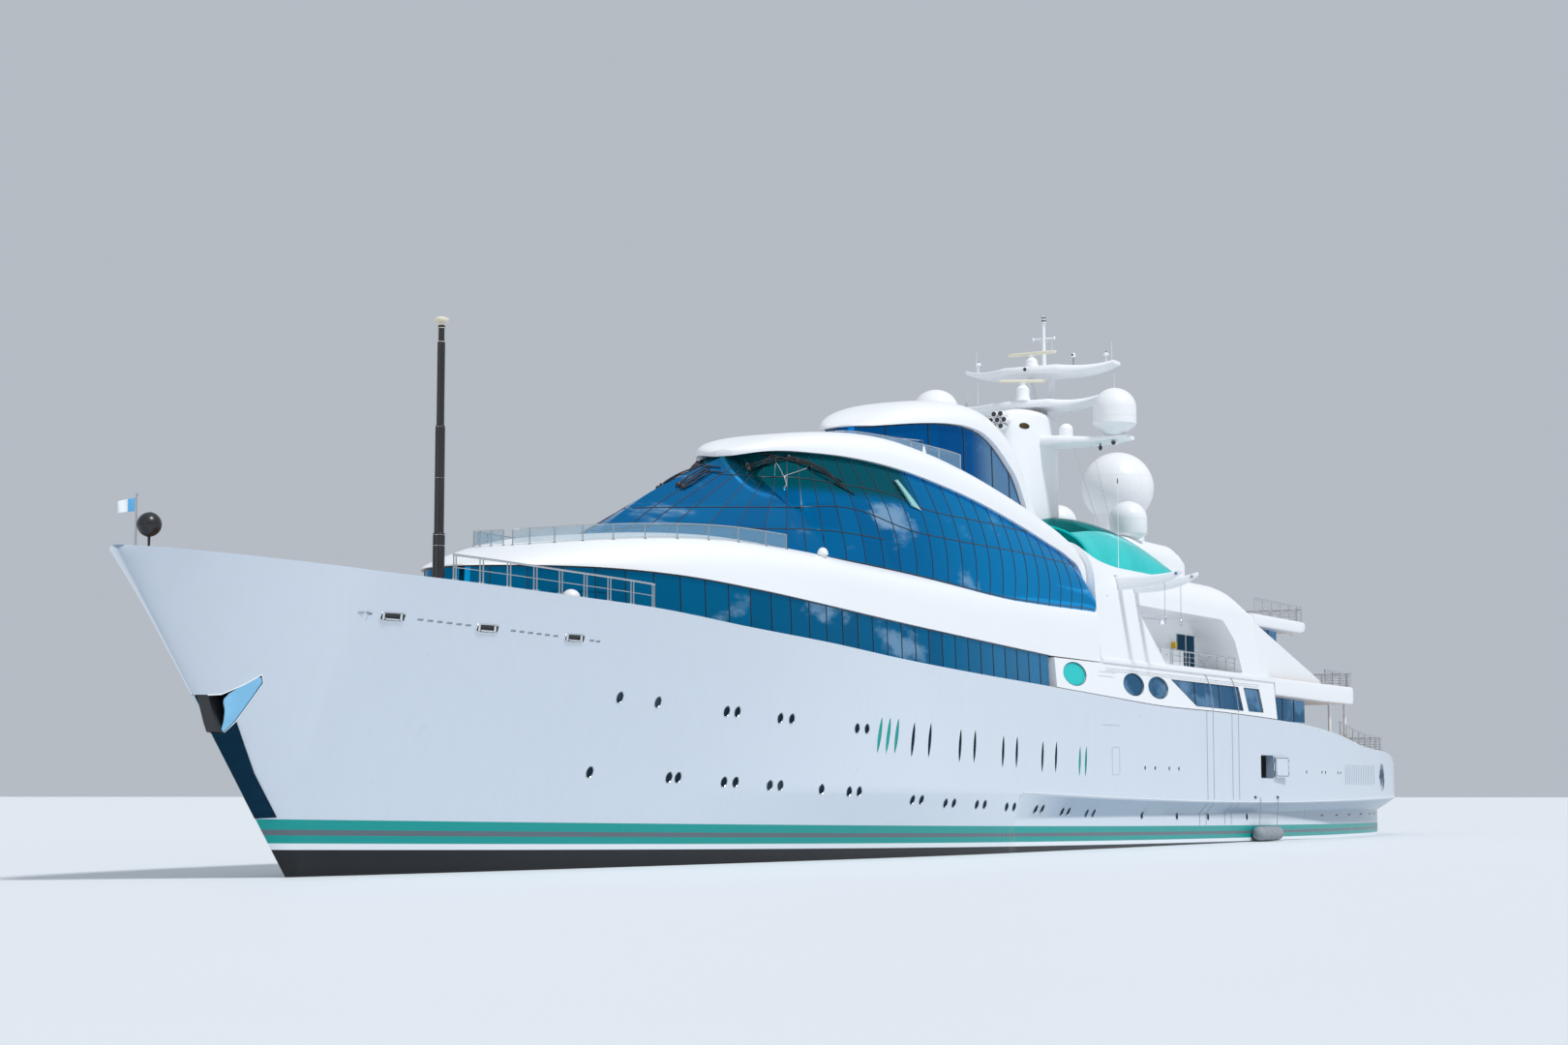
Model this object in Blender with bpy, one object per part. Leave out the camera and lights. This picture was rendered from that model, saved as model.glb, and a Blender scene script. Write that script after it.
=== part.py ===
"""Motor yacht, built as a 1:10 scale model: 14.1 m long and 1.5 m wide. Metres, X forward, Y to port, Z up.

The origin is on the waterline amidships, on the centreline. Upper works are lofted from cross sections
that are superellipses: (y / half_breadth)^n + ((z - base) / (crown - base))^n = 1.
"""
import bpy
import bmesh
import math
import numpy as np

GAP = 0.0004                      # clearance between pieces that touch
STEM_WL = 6.096                   # stem at the waterline
STEM_RISE = 1.214                 # height gained for each metre that the stem runs forward
HALF_BEAM = 0.75
WELL_DEPTH = (0.10, 0.042)        # deck below the hull's top edge, at the bow and beside the house
BULWARK = 0.011                   # thickness of the bulwark round the foredeck
LEDGE_FRONT = 0.93                # forward end of the ledge along the side
FLARE_POWER = 1.12                # how hollow the flare is: 1 is straight
GLASS = 0.016                     # thickness of the glass shells
WALL = 0.045                      # thickness of the house sides
HOUSE_FRONT = 0.40                # where the lower glass ends and the white house side begins
BAND_AFT = -0.309                 # where the white bands meet the upper house
TUMBLEHOME = 0.09                 # the house sides lean in by this much for each metre up

# hull stations: x, top edge half breadth, top edge height, waterline half breadth, keel height
HULL_TABLE = [
    (-7.05, 0.500, 0.440, 0.380, -0.060), (-7.00, 0.545, 0.500, 0.410, -0.070),
    (-6.85, 0.590, 0.575, 0.450, -0.090), (-6.60, 0.630, 0.618, 0.500, -0.120),
    (-6.20, 0.675, 0.638, 0.560, -0.180), (-5.60, 0.715, 0.662, 0.610, -0.270),
    (-5.00, 0.738, 0.726, 0.645, -0.360), (-4.30, 0.750, 0.775, 0.670, -0.450),
    (-3.40, 0.750, 0.805, 0.685, -0.500), (-2.40, 0.750, 0.823, 0.690, -0.500),
    (-1.20, 0.750, 0.832, 0.695, -0.500), (-0.20, 0.750, 0.865, 0.695, -0.500),
    (0.60, 0.750, 0.892, 0.690, -0.500), (1.50, 0.750, 0.921, 0.665, -0.500),
    (2.40, 0.748, 0.958, 0.590, -0.500), (3.10, 0.735, 0.998, 0.510, -0.500),
    (3.80, 0.702, 1.032, 0.415, -0.500), (4.50, 0.650, 1.074, 0.315, -0.500),
    (5.10, 0.585, 1.092, 0.220, -0.500), (5.50, 0.530, 1.104, 0.140, -0.500),
    (5.80, 0.480, 1.112, 0.075, -0.350), (6.05, 0.432, 1.118, 0.018, -0.055),
    (6.30, 0.372, 1.128, 0.0, 0.0), (6.55, 0.300, 1.137, 0.0, 0.0),
    (6.78, 0.212, 1.146, 0.0, 0.0), (6.95, 0.120, 1.153, 0.0, 0.0), (7.04, 0.030, 1.158, 0.0, 0.0),
]
BETWEEN = [-6.4, -5.9, -5.3, -4.65, -3.85, -2.9, -1.8, -0.7, 0.2, 1.1, 1.9, 2.75, 3.45, 4.15, 4.8, 5.3, 5.65,
           5.93, 6.18, 6.42, 6.66, 6.87, LEDGE_FRONT - 0.02, LEDGE_FRONT]
HULL_STATIONS = sorted([row[0] for row in HULL_TABLE] + BETWEEN)
# ledge height along the side: x, z
LEDGE = [(-7.05, 0.290), (-5.0, 0.267), (-3.8, 0.258), (-2.3, 0.263), (-1.1, 0.278), (0.93, 0.317)]

# lines of the upper works, each as x, z
LOWER_GLASS_TOP = [(0.33, 1.058), (1.48, 1.102), (2.33, 1.137), (3.08, 1.173), (3.68, 1.209), (4.20, 1.238),
                   (4.60, 1.245), (5.05, 1.235)]
BAND_1_CROWN = [(-0.15, 1.462), (0.48, 1.446), (1.40, 1.428), (2.15, 1.426), (2.77, 1.434), (3.30, 1.450),
                (3.80, 1.462), (4.13, 1.442), (4.36, 1.412), (4.52, 1.382), (4.67, 1.345), (4.81, 1.303),
                (4.91, 1.272), (5.05, 1.240)]
UPPER_GLASS_TOP = [(-0.34, 1.468), (-0.28, 1.506), (-0.19, 1.586), (-0.04, 1.635), (0.28, 1.695), (0.77, 1.776),
                   (1.18, 1.843), (1.54, 1.894), (1.85, 1.934), (2.12, 1.958), (2.35, 1.968), (2.56, 1.970),
                   (2.75, 1.950), (2.86, 1.912), (3.27, 1.772), (3.53, 1.672), (3.74, 1.572), (4.00, 1.440)]
BAND_2_CROWN = [(-1.55, 1.662), (-1.00, 1.672), (-0.58, 1.700), (0.06, 1.860), (0.32, 1.915), (0.80, 2.000),
                (1.22, 2.070), (1.57, 2.115), (1.88, 2.135), (2.16, 2.120), (2.39, 2.088), (2.59, 2.044),
                (2.71, 2.004), (2.80, 1.966)]

WHITE = (0.82, 0.84, 0.86)
HULL_GREY = (0.72, 0.78, 0.84)
BLUE_GLASS = (0.02, 0.12, 0.28)
GREY_GLASS = (0.10, 0.18, 0.26)
TEAL = (0.0, 0.45, 0.42)
STEEL = (0.60, 0.62, 0.64)
BLACK = (0.02, 0.02, 0.02)
CREAM = (0.80, 0.76, 0.62)
BRONZE = (0.55, 0.38, 0.16)
# anchor pocket at the stem, as x, z
NOTCH = [(6.92, 0.655), (6.40, 0.660), (6.235, 0.735), (6.235, 0.715), (6.40, 0.560), (6.46, 0.515),
         (6.90, 0.505)]
# side door, as x range and z range
DOOR_X = (-3.34, -3.09)
DOOR_Z = (0.415, 0.565)
DOOR_DEPTH = 0.12
FOREMAST_X = 5.15
FOREMAST_BORE = 0.0254
FOREMAST_FOOT = 0.50
SHAFT_Y = 0.30
SHAFT_R = 0.012
PROPELLER_X = -5.98
PROPELLER_Z = -0.35
SHAFT_START = -4.70
BRACKET_X = -5.82
RUDDER_X = -6.34
STOCK_TOP = -0.07
UPPER_FLOOR = 1.086               # upper deck's surface
UPPER_UNDER = 1.052               # underside of the upper deck inside the house
ROOF = 1.665                      # flat roof of the upper house
HOUSE_AFT = -3.45                 # after wall of the main deck house
UPPER_AFT = -3.16                 # after wall of the upper house
# crown of the upper house's roof: x, z
HOUSE_CROWN = [(-3.16, 1.508), (-3.05, 1.565), (-2.83, 1.645), (-2.65, ROOF), (-1.00, ROOF), (-0.80, 1.676),
               (-0.58, 1.700), (-0.31, 1.760)]
# boat bay in the house side: x, z
BAY = [(-0.94, 1.425), (-1.37, UPPER_FLOOR + 0.004), (-2.82, UPPER_FLOOR + 0.004), (-2.72, 1.30),
       (-2.52, 1.425)]
BAY_BACK = 0.45                   # inner wall of the bay
DAVIT_X = (-0.70, -0.97)          # forward and after boat davits
DAVIT_Z = 1.535
DAVIT_ROOT = 0.50                 # inboard end of a davit when it is run out
DAVIT_TIP = 1.08
# windows of the main house: shape, centre x, centre z, and half sizes or corners
OVAL_WINDOWS = [(0.12, 0.972, 0.17, 0.066), (-0.79, 0.945, 0.17, 0.066), (-1.20, 0.940, 0.17, 0.066)]
FLAT_WINDOWS = [
    [(-1.43, 1.000), (-1.85, 0.850), (-2.76, 0.845), (-2.70, 0.998)],
    [(-2.80, 0.998), (-2.86, 0.845), (-3.17, 0.845), (-3.12, 0.998)],
]
# head of the top house glass and crown of its roof: x, z
TOP_GLASS_HEAD = [(0.00, 1.870), (0.07, 1.952), (0.16, 2.055), (0.31, 2.150), (0.48, 2.231), (0.62, 2.275),
                  (0.80, 2.296), (0.98, 2.293), (1.18, 2.275), (1.43, 2.240)]
TOP_CROWN = [(-0.26, 1.860), (-0.15, 2.060), (0.00, 2.270), (0.18, 2.400), (0.40, 2.462), (0.62, 2.470),
             (0.97, 2.432), (1.15, 2.390), (1.31, 2.330), (1.43, 2.268), (1.48, 2.246)]
SUN_X = (-2.79, -1.88)
SUN_TOP = 1.935
CANOPY_CROWN = [(-2.40, 1.690), (-2.30, 1.790), (-2.10, 1.880), (-1.80, 1.960), (-1.45, 2.000), (-1.05, 1.985),
                (-0.72, 1.925)]
TOWER_X = -1.00
TOWER_HALF = (0.35, 0.13)         # half length and half width
TOWER_TOP = 2.575
# wing platforms of the mast: name, centre x, half span to port, half span to starboard, underside height,
# thickness, half chord at the centre and at the tips, rise of the tips
WINGS = [
    ("mast_platform_top", -1.17, 0.49, 0.49, 2.862, 0.055, 0.150, 0.060, 0.055),
    ("mast_platform_middle", -1.13, 0.40, 0.58, 2.650, 0.050, 0.160, 0.060, 0.055),
    ("mast_platform_lower", -1.03, 0.62, 0.45, 2.405, 0.055, 0.150, 0.080, 0.030),
]
SCANNER_UPPER = (-1.07, 0.0, 2.980)     # centre of the upper scanner's bearing
SCANNER_LOWER = (-0.99, -0.03, 2.800)   # the same for the lower one
SCANNER_HALF = (0.168, 0.150)           # half lengths of the bars
POLE_X = -1.26
# a davit's sections: y, half width along x, half height, rise above its slot
DAVIT_RINGS = [(DAVIT_ROOT, 0.031, 0.041, 0.0), (0.74, 0.031, 0.041, 0.0), (0.84, 0.029, 0.038, 0.003),
               (0.94, 0.024, 0.030, 0.014), (1.02, 0.017, 0.021, 0.033), (DAVIT_TIP, 0.010, 0.012, 0.058)]
HOOK_Y = 0.97
HOOK_DROP = 0.205
HINGE_R = 0.0036
HINGE_X = DOOR_X[0] - 0.004
DOOR_OPEN = 177.0                 # the side door is swung right back, nearly flat on the side, in degrees
FENDER_X = -3.25
FENDER_HALF = 0.184
FENDER_R = 0.046
# rudder sections: height, nose, tail
RUDDER_SECTIONS = ((-0.455, 0.060, -0.080), (-0.210, 0.075, -0.110))


def curve(table, x):
    """Smooth value at x through the rows (x, value): a cubic with slopes taken from the neighbours."""
    xs = np.array([row[0] for row in table])
    vs = np.array([row[1] for row in table])
    slopes = np.gradient(vs, xs)
    x = min(max(x, xs[0]), xs[-1])
    i = min(int(np.searchsorted(xs, x, side="right")) - 1, len(xs) - 2)
    i = max(i, 0)
    h = xs[i + 1] - xs[i]
    t = (x - xs[i]) / h
    value = (2 * t**3 - 3 * t**2 + 1) * vs[i] + (t**3 - 2 * t**2 + t) * h * slopes[i]
    return float(value + (3 * t**2 - 2 * t**3) * vs[i + 1] + (t**3 - t**2) * h * slopes[i + 1])


def column(index):
    """One column of the hull table against x."""
    return [(row[0], row[index]) for row in HULL_TABLE]


def oval(x, nose, centre, half):
    """Half breadth of a plan that is straight aft of centre and a half ellipse forward of it."""
    t = min(max((x - centre) / (nose - centre), 0.0), 1.0)
    return half * math.sqrt(max(1.0 - t * t, 0.0))


def paint(obj, colour, roughness=0.4, metallic=0.0):
    """Give an object its own Principled material."""
    material = bpy.data.materials.new(obj.name + "_finish")
    material.use_nodes = True
    shader = material.node_tree.nodes["Principled BSDF"]
    shader.inputs["Base Color"].default_value = (*colour, 1.0)
    shader.inputs["Roughness"].default_value = roughness
    shader.inputs["Metallic"].default_value = metallic
    material.diffuse_color = (*colour, 1.0)
    obj.data.materials.clear()
    obj.data.materials.append(material)


def add(name, bm, colour=WHITE, roughness=0.35, metallic=0.0):
    """Turn a bmesh into a named object with its material and outward faces."""
    bmesh.ops.recalc_face_normals(bm, faces=bm.faces)
    mesh = bpy.data.meshes.new(name)
    bm.to_mesh(mesh)
    bm.free()
    obj = bpy.data.objects.new(name, mesh)
    bpy.context.collection.objects.link(obj)
    mesh.shade_smooth()
    mesh.set_sharp_from_angle(angle=math.radians(35))
    paint(obj, colour, roughness, metallic)
    return obj


def loft_into(bm, rings, smooth=False):
    """Add a closed body through rings of equally many points, with both ends capped.

    A smooth, warped side is split into triangles, so that a slightly larger copy of it has the same facets.
    """
    rows = [[bm.verts.new(p) for p in ring] for ring in rings]
    count = len(rows[0])
    for a, b in zip(rows, rows[1:]):
        for i in range(count):
            j = (i + 1) % count
            if smooth:
                bm.faces.new((a[i], a[j], b[j]))
                bm.faces.new((a[i], b[j], b[i]))
            else:
                bm.faces.new((a[i], a[j], b[j], b[i]))
    bm.faces.new(rows[0])
    bm.faces.new(rows[-1])


def loft(name, rings, colour=WHITE, roughness=0.35, metallic=0.0, smooth=True):
    """One closed lofted object."""
    bm = bmesh.new()
    loft_into(bm, rings, smooth)
    return add(name, bm, colour, roughness, metallic)


def both_sides(x, half):
    """Full ring at x from a half section of (y, z) points that starts and ends on the centreline."""
    port = [(x, y, z) for y, z in half]
    starboard = [(x, -y, z) for y, z in reversed(half[1:-1])]
    return port + starboard


def prism_into(bm, outline, y0, y1):
    """Extrude an outline of (x, z) points across from y0 to y1."""
    rings = [[(x, y, z) for x, z in outline] for y in (y0, y1)]
    loft_into(bm, rings)


def box_into(bm, low, high):
    """Add a box between two corners."""
    outline = [(low[0], low[2]), (high[0], low[2]), (high[0], high[2]), (low[0], high[2])]
    prism_into(bm, outline, low[1], high[1])


def tube_into(bm, start, end, r0, r1=None, sides=10):
    """Add a round bar or cone between two points."""
    r1 = r0 if r1 is None else r1
    a, b = np.array(start, float), np.array(end, float)
    axis = (b - a) / np.linalg.norm(b - a)
    side = np.cross(axis, (0.0, 0.0, 1.0) if abs(axis[2]) < 0.9 else (1.0, 0.0, 0.0))
    side /= np.linalg.norm(side)
    up = np.cross(axis, side)
    rings = []
    for centre, r in ((a, r0), (b, r1)):
        angles = [2 * math.pi * k / sides for k in range(sides)]
        rings.append([tuple(centre + r * (math.cos(t) * side + math.sin(t) * up)) for t in angles])
    loft_into(bm, rings)


def turned_into(bm, centre, profile, sides=20, axis="Z"):
    """Add a body turned about an axis through centre: profile rows are (radius, distance along the axis)."""
    rings = []
    for r, h in profile:
        ring = []
        for k in range(sides):
            t = 2 * math.pi * k / sides
            u, v = r * math.cos(t), r * math.sin(t)
            offset = {"X": (h, u, v), "Y": (u, h, v), "Z": (u, v, h)}[axis]
            ring.append(tuple(np.add(centre, offset)))
        rings.append(ring)
    loft_into(bm, rings)


def pipe_into(bm, centre, outline, sides=12, axis="Z"):
    """Add a ring-shaped body: a closed outline of (radius, distance along the axis) points, turned."""
    columns = []
    for k in range(sides):
        t = 2 * math.pi * k / sides
        column_of_points = []
        for r, h in outline:
            u, v = r * math.cos(t), r * math.sin(t)
            offset = {"X": (h, u, v), "Z": (u, v, h)}[axis]
            column_of_points.append(bm.verts.new(np.add(centre, offset)))
        columns.append(column_of_points)
    for a, b in zip(columns, columns[1:] + columns[:1]):
        for i in range(len(outline)):
            j = (i + 1) % len(outline)
            bm.faces.new((a[i], a[j], b[j], b[i]))


def sweep_into(bm, path, r, sides=6):
    """Add a round bar that follows a path of points."""
    points = [np.array(p, float) for p in path]
    rings = []
    for k, p in enumerate(points):
        ahead = points[min(k + 1, len(points) - 1)] - points[max(k - 1, 0)]
        axis = ahead / np.linalg.norm(ahead)
        side = np.cross(axis, (0.0, 0.0, 1.0) if abs(axis[2]) < 0.95 else (1.0, 0.0, 0.0))
        side /= np.linalg.norm(side)
        up = np.cross(axis, side)
        angles = [2 * math.pi * (i + 0.5) / sides for i in range(sides)]
        rings.append([tuple(p + r * (math.cos(t) * side + math.sin(t) * up)) for t in angles])
    loft_into(bm, rings)


def inset_outline(outline, distance):
    """Move each edge of a closed outline of (x, z) points towards its inside."""
    points = [np.array(p, float) for p in outline]
    area = sum(a[0] * b[1] - a[1] * b[0] for a, b in zip(points, points[1:] + points[:1]))
    turn = 1.0 if area > 0 else -1.0
    result = []
    for k, p in enumerate(points):
        before, after = p - points[k - 1], points[(k + 1) % len(points)] - p
        n0 = turn * np.array([-before[1], before[0]]) / np.linalg.norm(before)
        n1 = turn * np.array([-after[1], after[0]]) / np.linalg.norm(after)
        middle = n0 + n1
        result.append(tuple(p + middle * (2 * distance / float(middle @ middle))))
    return result


def combine(target, tool, operation="DIFFERENCE"):
    """Add a Boolean with a helper, which stays in the file as a hidden guide."""
    tool.hide_render = True
    tool.display_type = "WIRE"
    modifier = target.modifiers.new(tool.name, "BOOLEAN")
    modifier.operation = operation
    modifier.solver = "EXACT"
    modifier.object = tool


def cut(target, cutter):
    """Subtract a cutter."""
    combine(target, cutter)


def fuse(target, bm, label):
    """Join the bodies in a bmesh to an object; they don't touch each other."""
    combine(target, add(target.name + "_" + label, bm), "UNION")


def dome_profile(radius, height, rows=6, start=0.0):
    """Profile of a half ball: (radius, height) rows from its rim to near its top."""
    angles = [math.radians(86) * k / rows for k in range(rows + 1)]
    return [(radius * math.cos(t), start + height * math.sin(t)) for t in angles]


# Hull

def hull_section(x):
    """Half section of the hull at x: keel, bilge, waterline, step under the ledge, flare, top edge, deck."""
    top_y, top_z = curve(column(1), x), curve(column(2), x)
    if x > STEM_WL:
        base = (x - STEM_WL) * STEM_RISE
        fractions = [0, .02, .05, .09, .13, .17, .22, .28, .36, .52, .76, 1]
        side = [(top_y * f**0.82, base + (top_z - base) * f) for f in fractions]
        return side + [(0.0, top_z + 0.002)]
    water_y, keel = max(curve(column(3), x), 0.006), curve(column(4), x)
    fullness = 1.15 + 0.75 * min(max((4.8 - x) / 3.0, 0.0), 1.0)
    points = [(0.0, keel)]
    for t in (0.16, 0.36, 0.56, 0.78):
        a = t * math.pi / 2
        points.append((water_y * math.sin(a)**(1.3 / fullness), keel * math.cos(a)**(1.3 / fullness)))
    points.append((water_y, 0.0))
    ledge = curve(LEDGE, x)
    for z in (0.15, 0.19, ledge - 0.012, ledge, 0.5 * (ledge + top_z)):
        y = flare(x, z, water_y, top_y, top_z, ledge)
        stepped = x < LEDGE_FRONT - 0.01 and z < 0.2
        points.append((water_y + 0.002 if stepped else y, z))
    points.append((top_y, top_z))
    points.append((0.0, top_z + 0.004))
    return points


def flare(x, z, water_y, top_y, top_z, ledge):
    """Half breadth between waterline and top edge: a straight flare forward, full above the ledge amidships."""
    full = min(max((4.2 - x) / (4.2 - LEDGE_FRONT), 0.0), 1.0)
    full = full * full * (3 - 2 * full)
    straight = (z / top_z)**FLARE_POWER
    bulged = min(z / ledge, 1.0)**FLARE_POWER
    return water_y + (top_y - water_y) * (straight + (bulged - straight) * full)


def hull_half_breadth(x, z):
    """Half breadth of the hull's side at x and z, read from the section."""
    side = hull_section(x)[:-1]
    return float(np.interp(z, [p[1] for p in side], [p[0] for p in side]))


def hull_deck(x, y=0.0, reach=0.0):
    """Height of the hull's faceted top at x and y, the highest within reach fore and aft."""
    heights = []
    for at in (x - reach, x + reach):
        top_z = float(np.interp(at, HULL_STATIONS, [curve(column(2), s) for s in HULL_STATIONS]))
        top_y = float(np.interp(at, HULL_STATIONS, [curve(column(1), s) for s in HULL_STATIONS]))
        rise = 0.002 if at > STEM_WL else 0.004
        heights.append(top_z + rise * (1 - min(abs(y) / top_y, 1.0)))
    return max(heights)


def build_hull():
    """Decked hull with its foredeck well, stem notch, side door recess and mooring ports."""
    rings = [both_sides(x, hull_section(x)) for x in HULL_STATIONS]
    hull = loft("hull", rings, HULL_GREY, 0.3)
    for cutter in (well_cutter(), notch_cutter(), side_recess_cutter(), bottom_cutter()):
        cut(hull, cutter)


def well_cutter():
    """Foredeck well: the hull's plan less the bulwark, from the stem to the house."""
    rings = []
    for x in (HOUSE_FRONT + 0.02, 0.75, 1.1, 1.5, 1.9, 2.35, 2.75, 3.1, 3.45, 3.8, 4.15, 4.3, 4.5, 4.7, 4.9,
              5.1, 5.3, 5.8, 6.18, 6.42, 6.66, 6.84):
        y, z = curve(column(1), x) - BULWARK, curve(column(2), x)
        floor = foot_height(x)
        y = min(y, hull_half_breadth(x, floor) - BULWARK * 0.6)
        rings.append([(x, y, floor), (x, y, z + 0.1), (x, -y, z + 0.1), (x, -y, floor)])
    return loft("cutter_well", rings)


def notch_cutter():
    """The pocket is cut right through the stem, both sides alike."""
    bm = bmesh.new()
    prism_into(bm, NOTCH, -0.4, 0.4)
    return add("cutter_notch", bm)


def side_recess_cutter():
    """The boarding door's recess on the port side and the mooring ports at the stern quarters."""
    bm = bmesh.new()
    box_into(bm, (DOOR_X[0], HALF_BEAM - DOOR_DEPTH, DOOR_Z[0]), (DOOR_X[1], HALF_BEAM + 0.1, DOOR_Z[1]))
    for side in (-1, 1):
        rings = []
        for y in (0.50, 0.75):
            angles = [2 * math.pi * k / 16 for k in range(16)]
            rings.append([(-6.72 + 0.10 * math.cos(a), side * y, 0.44 + 0.10 * math.sin(a)) for a in angles])
        loft_into(bm, rings)
    return add("cutter_side", bm)


def bottom_cutter():
    """Bores for the foremast, the shafts, their brackets and the rudder stocks."""
    bm = bmesh.new()
    tube_into(bm, (FOREMAST_X, 0, FOREMAST_FOOT), (FOREMAST_X, 0, 1.30), FOREMAST_BORE, sides=12)
    for side in (-1, 1):
        y = side * SHAFT_Y
        tube_into(bm, (SHAFT_START + GAP, y, PROPELLER_Z), (-5.60, y, PROPELLER_Z), SHAFT_R + 2 * GAP, sides=12)
        box_into(bm, (BRACKET_X - 0.0254, y - 0.0064, -0.26), (BRACKET_X + 0.0254, y + 0.0064, -0.16))
        tube_into(bm, (RUDDER_X, y, -0.19), (RUDDER_X, y, STOCK_TOP + GAP), SHAFT_R + 2 * GAP, sides=12)
    return add("cutter_bottom", bm)


# Upper works

def arch(x, half, base, crown, power, rows, start=0.0, end=1.0):
    """Points of a superellipse from the side (start 0) to the centreline (end 1): (y, z) pairs."""
    points = []
    for k in range(rows + 1):
        t = (start + (end - start) * k / rows) * math.pi / 2
        points.append((half * math.cos(t)**(2 / power), base + (crown - base) * math.sin(t)**(2 / power)))
    return points


def stations(x0, x1, count, nose=True):
    """Stations from aft to forward, closer together towards a rounded nose."""
    if nose:
        return [x0 + (x1 - x0) * math.sin(0.5 * math.pi * k / count) for k in range(count + 1)]
    return [x0 + (x1 - x0) * k / count for k in range(count + 1)]


def plan_a(x, inset=0.0):
    """Lower glass plan."""
    return oval(x, 5.05 - inset, 2.85, 0.714 - inset)


def plan_b(x, inset=0.0):
    """Foot of the upper glass."""
    return oval(x, 4.00 - inset, 0.80, 0.70 - inset)


def plan_c(x, inset=0.0):
    """Head of the upper glass."""
    return oval(x, 2.73 - inset, 0.50, 0.62 - inset)


def plan_d(x):
    """Outer edge of the brow over the upper glass."""
    return oval(x, 2.80, 0.50, 0.645)


def build_lower_glass():
    """Band of glass round the main deck house, open at its after end."""
    def ring(x, inset, low, high):
        y = max(plan_a(x, inset), 0.004)
        head = y - min(0.008, 0.3 * y)
        z0, z1 = foot_height(x) + low, curve(LOWER_GLASS_TOP, x) + high
        return [(x, y, z0), (x, head, z1), (x, -head, z1), (x, -y, z0)]
    outer = [ring(x, 0.0, 0.003, -0.0009) for x in stations(0.43, 5.048, 22)]
    inner = [ring(x, GLASS, -0.3, 0.3) for x in stations(0.30, 5.046 - GLASS, 22)]
    glass = loft("lower_glass", outer, BLUE_GLASS, 0.08)
    cut(glass, loft("cutter_lower_glass", inner))
    cut(glass, loft("cutter_over_lower_glass", band_1_rings(GAP)))


def foot_height(x):
    """Height of the deck inside the bulwark at x."""
    forward = min(max((x - 4.3) / 0.8, 0.0), 1.0)
    return curve(column(2), x) - (WELL_DEPTH[1] + (WELL_DEPTH[0] - WELL_DEPTH[1]) * forward)


def band_1_rings(grow=0.0):
    """Cross sections of the first white deck. Grown a little, it trims what stands on it."""
    rings = []
    for x in [BAND_AFT] + stations(HOUSE_FRONT, 5.045, 24):
        half = max(plan_a(x) + 0.006, 0.006) + grow
        base, crown = curve(LOWER_GLASS_TOP, x), curve(BAND_1_CROWN, x)
        crown = max(crown, base + 0.004) + grow
        power = 2.2 + 3.6 * min(max((4.6 - x) / 1.6, 0.0), 1.0)
        side = arch(x, half, base, crown, power, 7)
        rings.append(both_sides(x, [(0.0, base - grow), (half, base - grow)] + side[1:]))
    return stretched(rings, grow)


def stretched(rings, grow):
    """Add end rings to a grown body, so that it clears the ends of the body it is grown from."""
    if not grow:
        return rings
    aft = [(x - 60 * grow, y, z) for x, y, z in rings[0]]
    fore = [(x + grow, y, z) for x, y, z in rings[-1]]
    return [aft] + rings + [fore]


def build_band_1():
    """White deck between the two tiers of glass, with a rounded edge and a brow over the bow end."""
    loft("band_1", band_1_rings())


def build_upper_glass():
    """Dome of glass between the two white bands, hollow and open below."""
    def rings(inset, drop, tail, tip):
        return [both_sides(x, glass_section(x, inset, drop)) for x in stations(tail, tip, 24)]
    glass = loft("upper_glass", rings(0.0, 0.0, -0.28, 3.975), BLUE_GLASS, 0.08, smooth=False)
    cut(glass, loft("cutter_upper_glass", rings(GLASS, 0.05, -0.36, 3.93), smooth=False))
    cut(glass, loft("cutter_under_glass", band_1_rings(GAP)))
    cut(glass, loft("cutter_over_glass", band_2_rings(GAP)))


def band_2_rings(grow=0.0):
    """Cross sections of the second white deck, which ends in a brow over the upper glass."""
    rings = []
    for x in stations(-0.30, 2.795, 24):
        half = max(plan_d(x), 0.006) + grow
        base = min(curve(UPPER_GLASS_TOP, x), 1.968) - grow
        crown = max(curve(BAND_2_CROWN, x), base + 0.012) + grow
        rings.append(both_sides(x, [(0.0, base)] + arch(x, half, base, crown, 3.4, 7)))
    return stretched(rings, grow)


def build_band_2():
    """White deck and brow above the upper glass."""
    loft("band_2", band_2_rings())


def glass_section(x, inset, drop):
    """Half section of the upper glass: foot, bulged side, head. The inner face is inset and goes deeper."""
    foot = max(plan_b(x, inset), 0.006)
    head = max(plan_c(x, inset), 0.0) + 0.002
    base = deck_top(x, max(plan_b(x), 0.006)) - 0.02
    under_brow = 0.03 if x < 2.68 else 0.0
    top = max(curve(UPPER_GLASS_TOP, x) + under_brow - inset * 1.2, base + 0.008 - inset * 0.3)
    half = [(0.0, base - drop), (foot, base - drop)]
    for f in (0.25, 0.5, 0.75):
        bulge = 0.055 * math.sin(math.pi * f) * min(foot, 0.6)
        half.append((foot + (head - foot) * f**1.25 + bulge, base + (top - base) * f))
    return half + [(head, top), (0.0, top + 0.001)]


def deck_top(x, y):
    """Height of the first white deck at x and y."""
    half = plan_a(x) + 0.006
    base, crown = curve(LOWER_GLASS_TOP, x), curve(BAND_1_CROWN, x)
    power = 2.2 + 3.6 * min(max((4.6 - x) / 1.6, 0.0), 1.0)
    return base + (crown - base) * max(1 - min(y / half, 1.0)**power, 0.0)**(1 / power)


# After house


def side_y(z):
    """Half breadth of the house side at height z."""
    return 0.748 - TUMBLEHOME * (z - 0.85)


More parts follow.
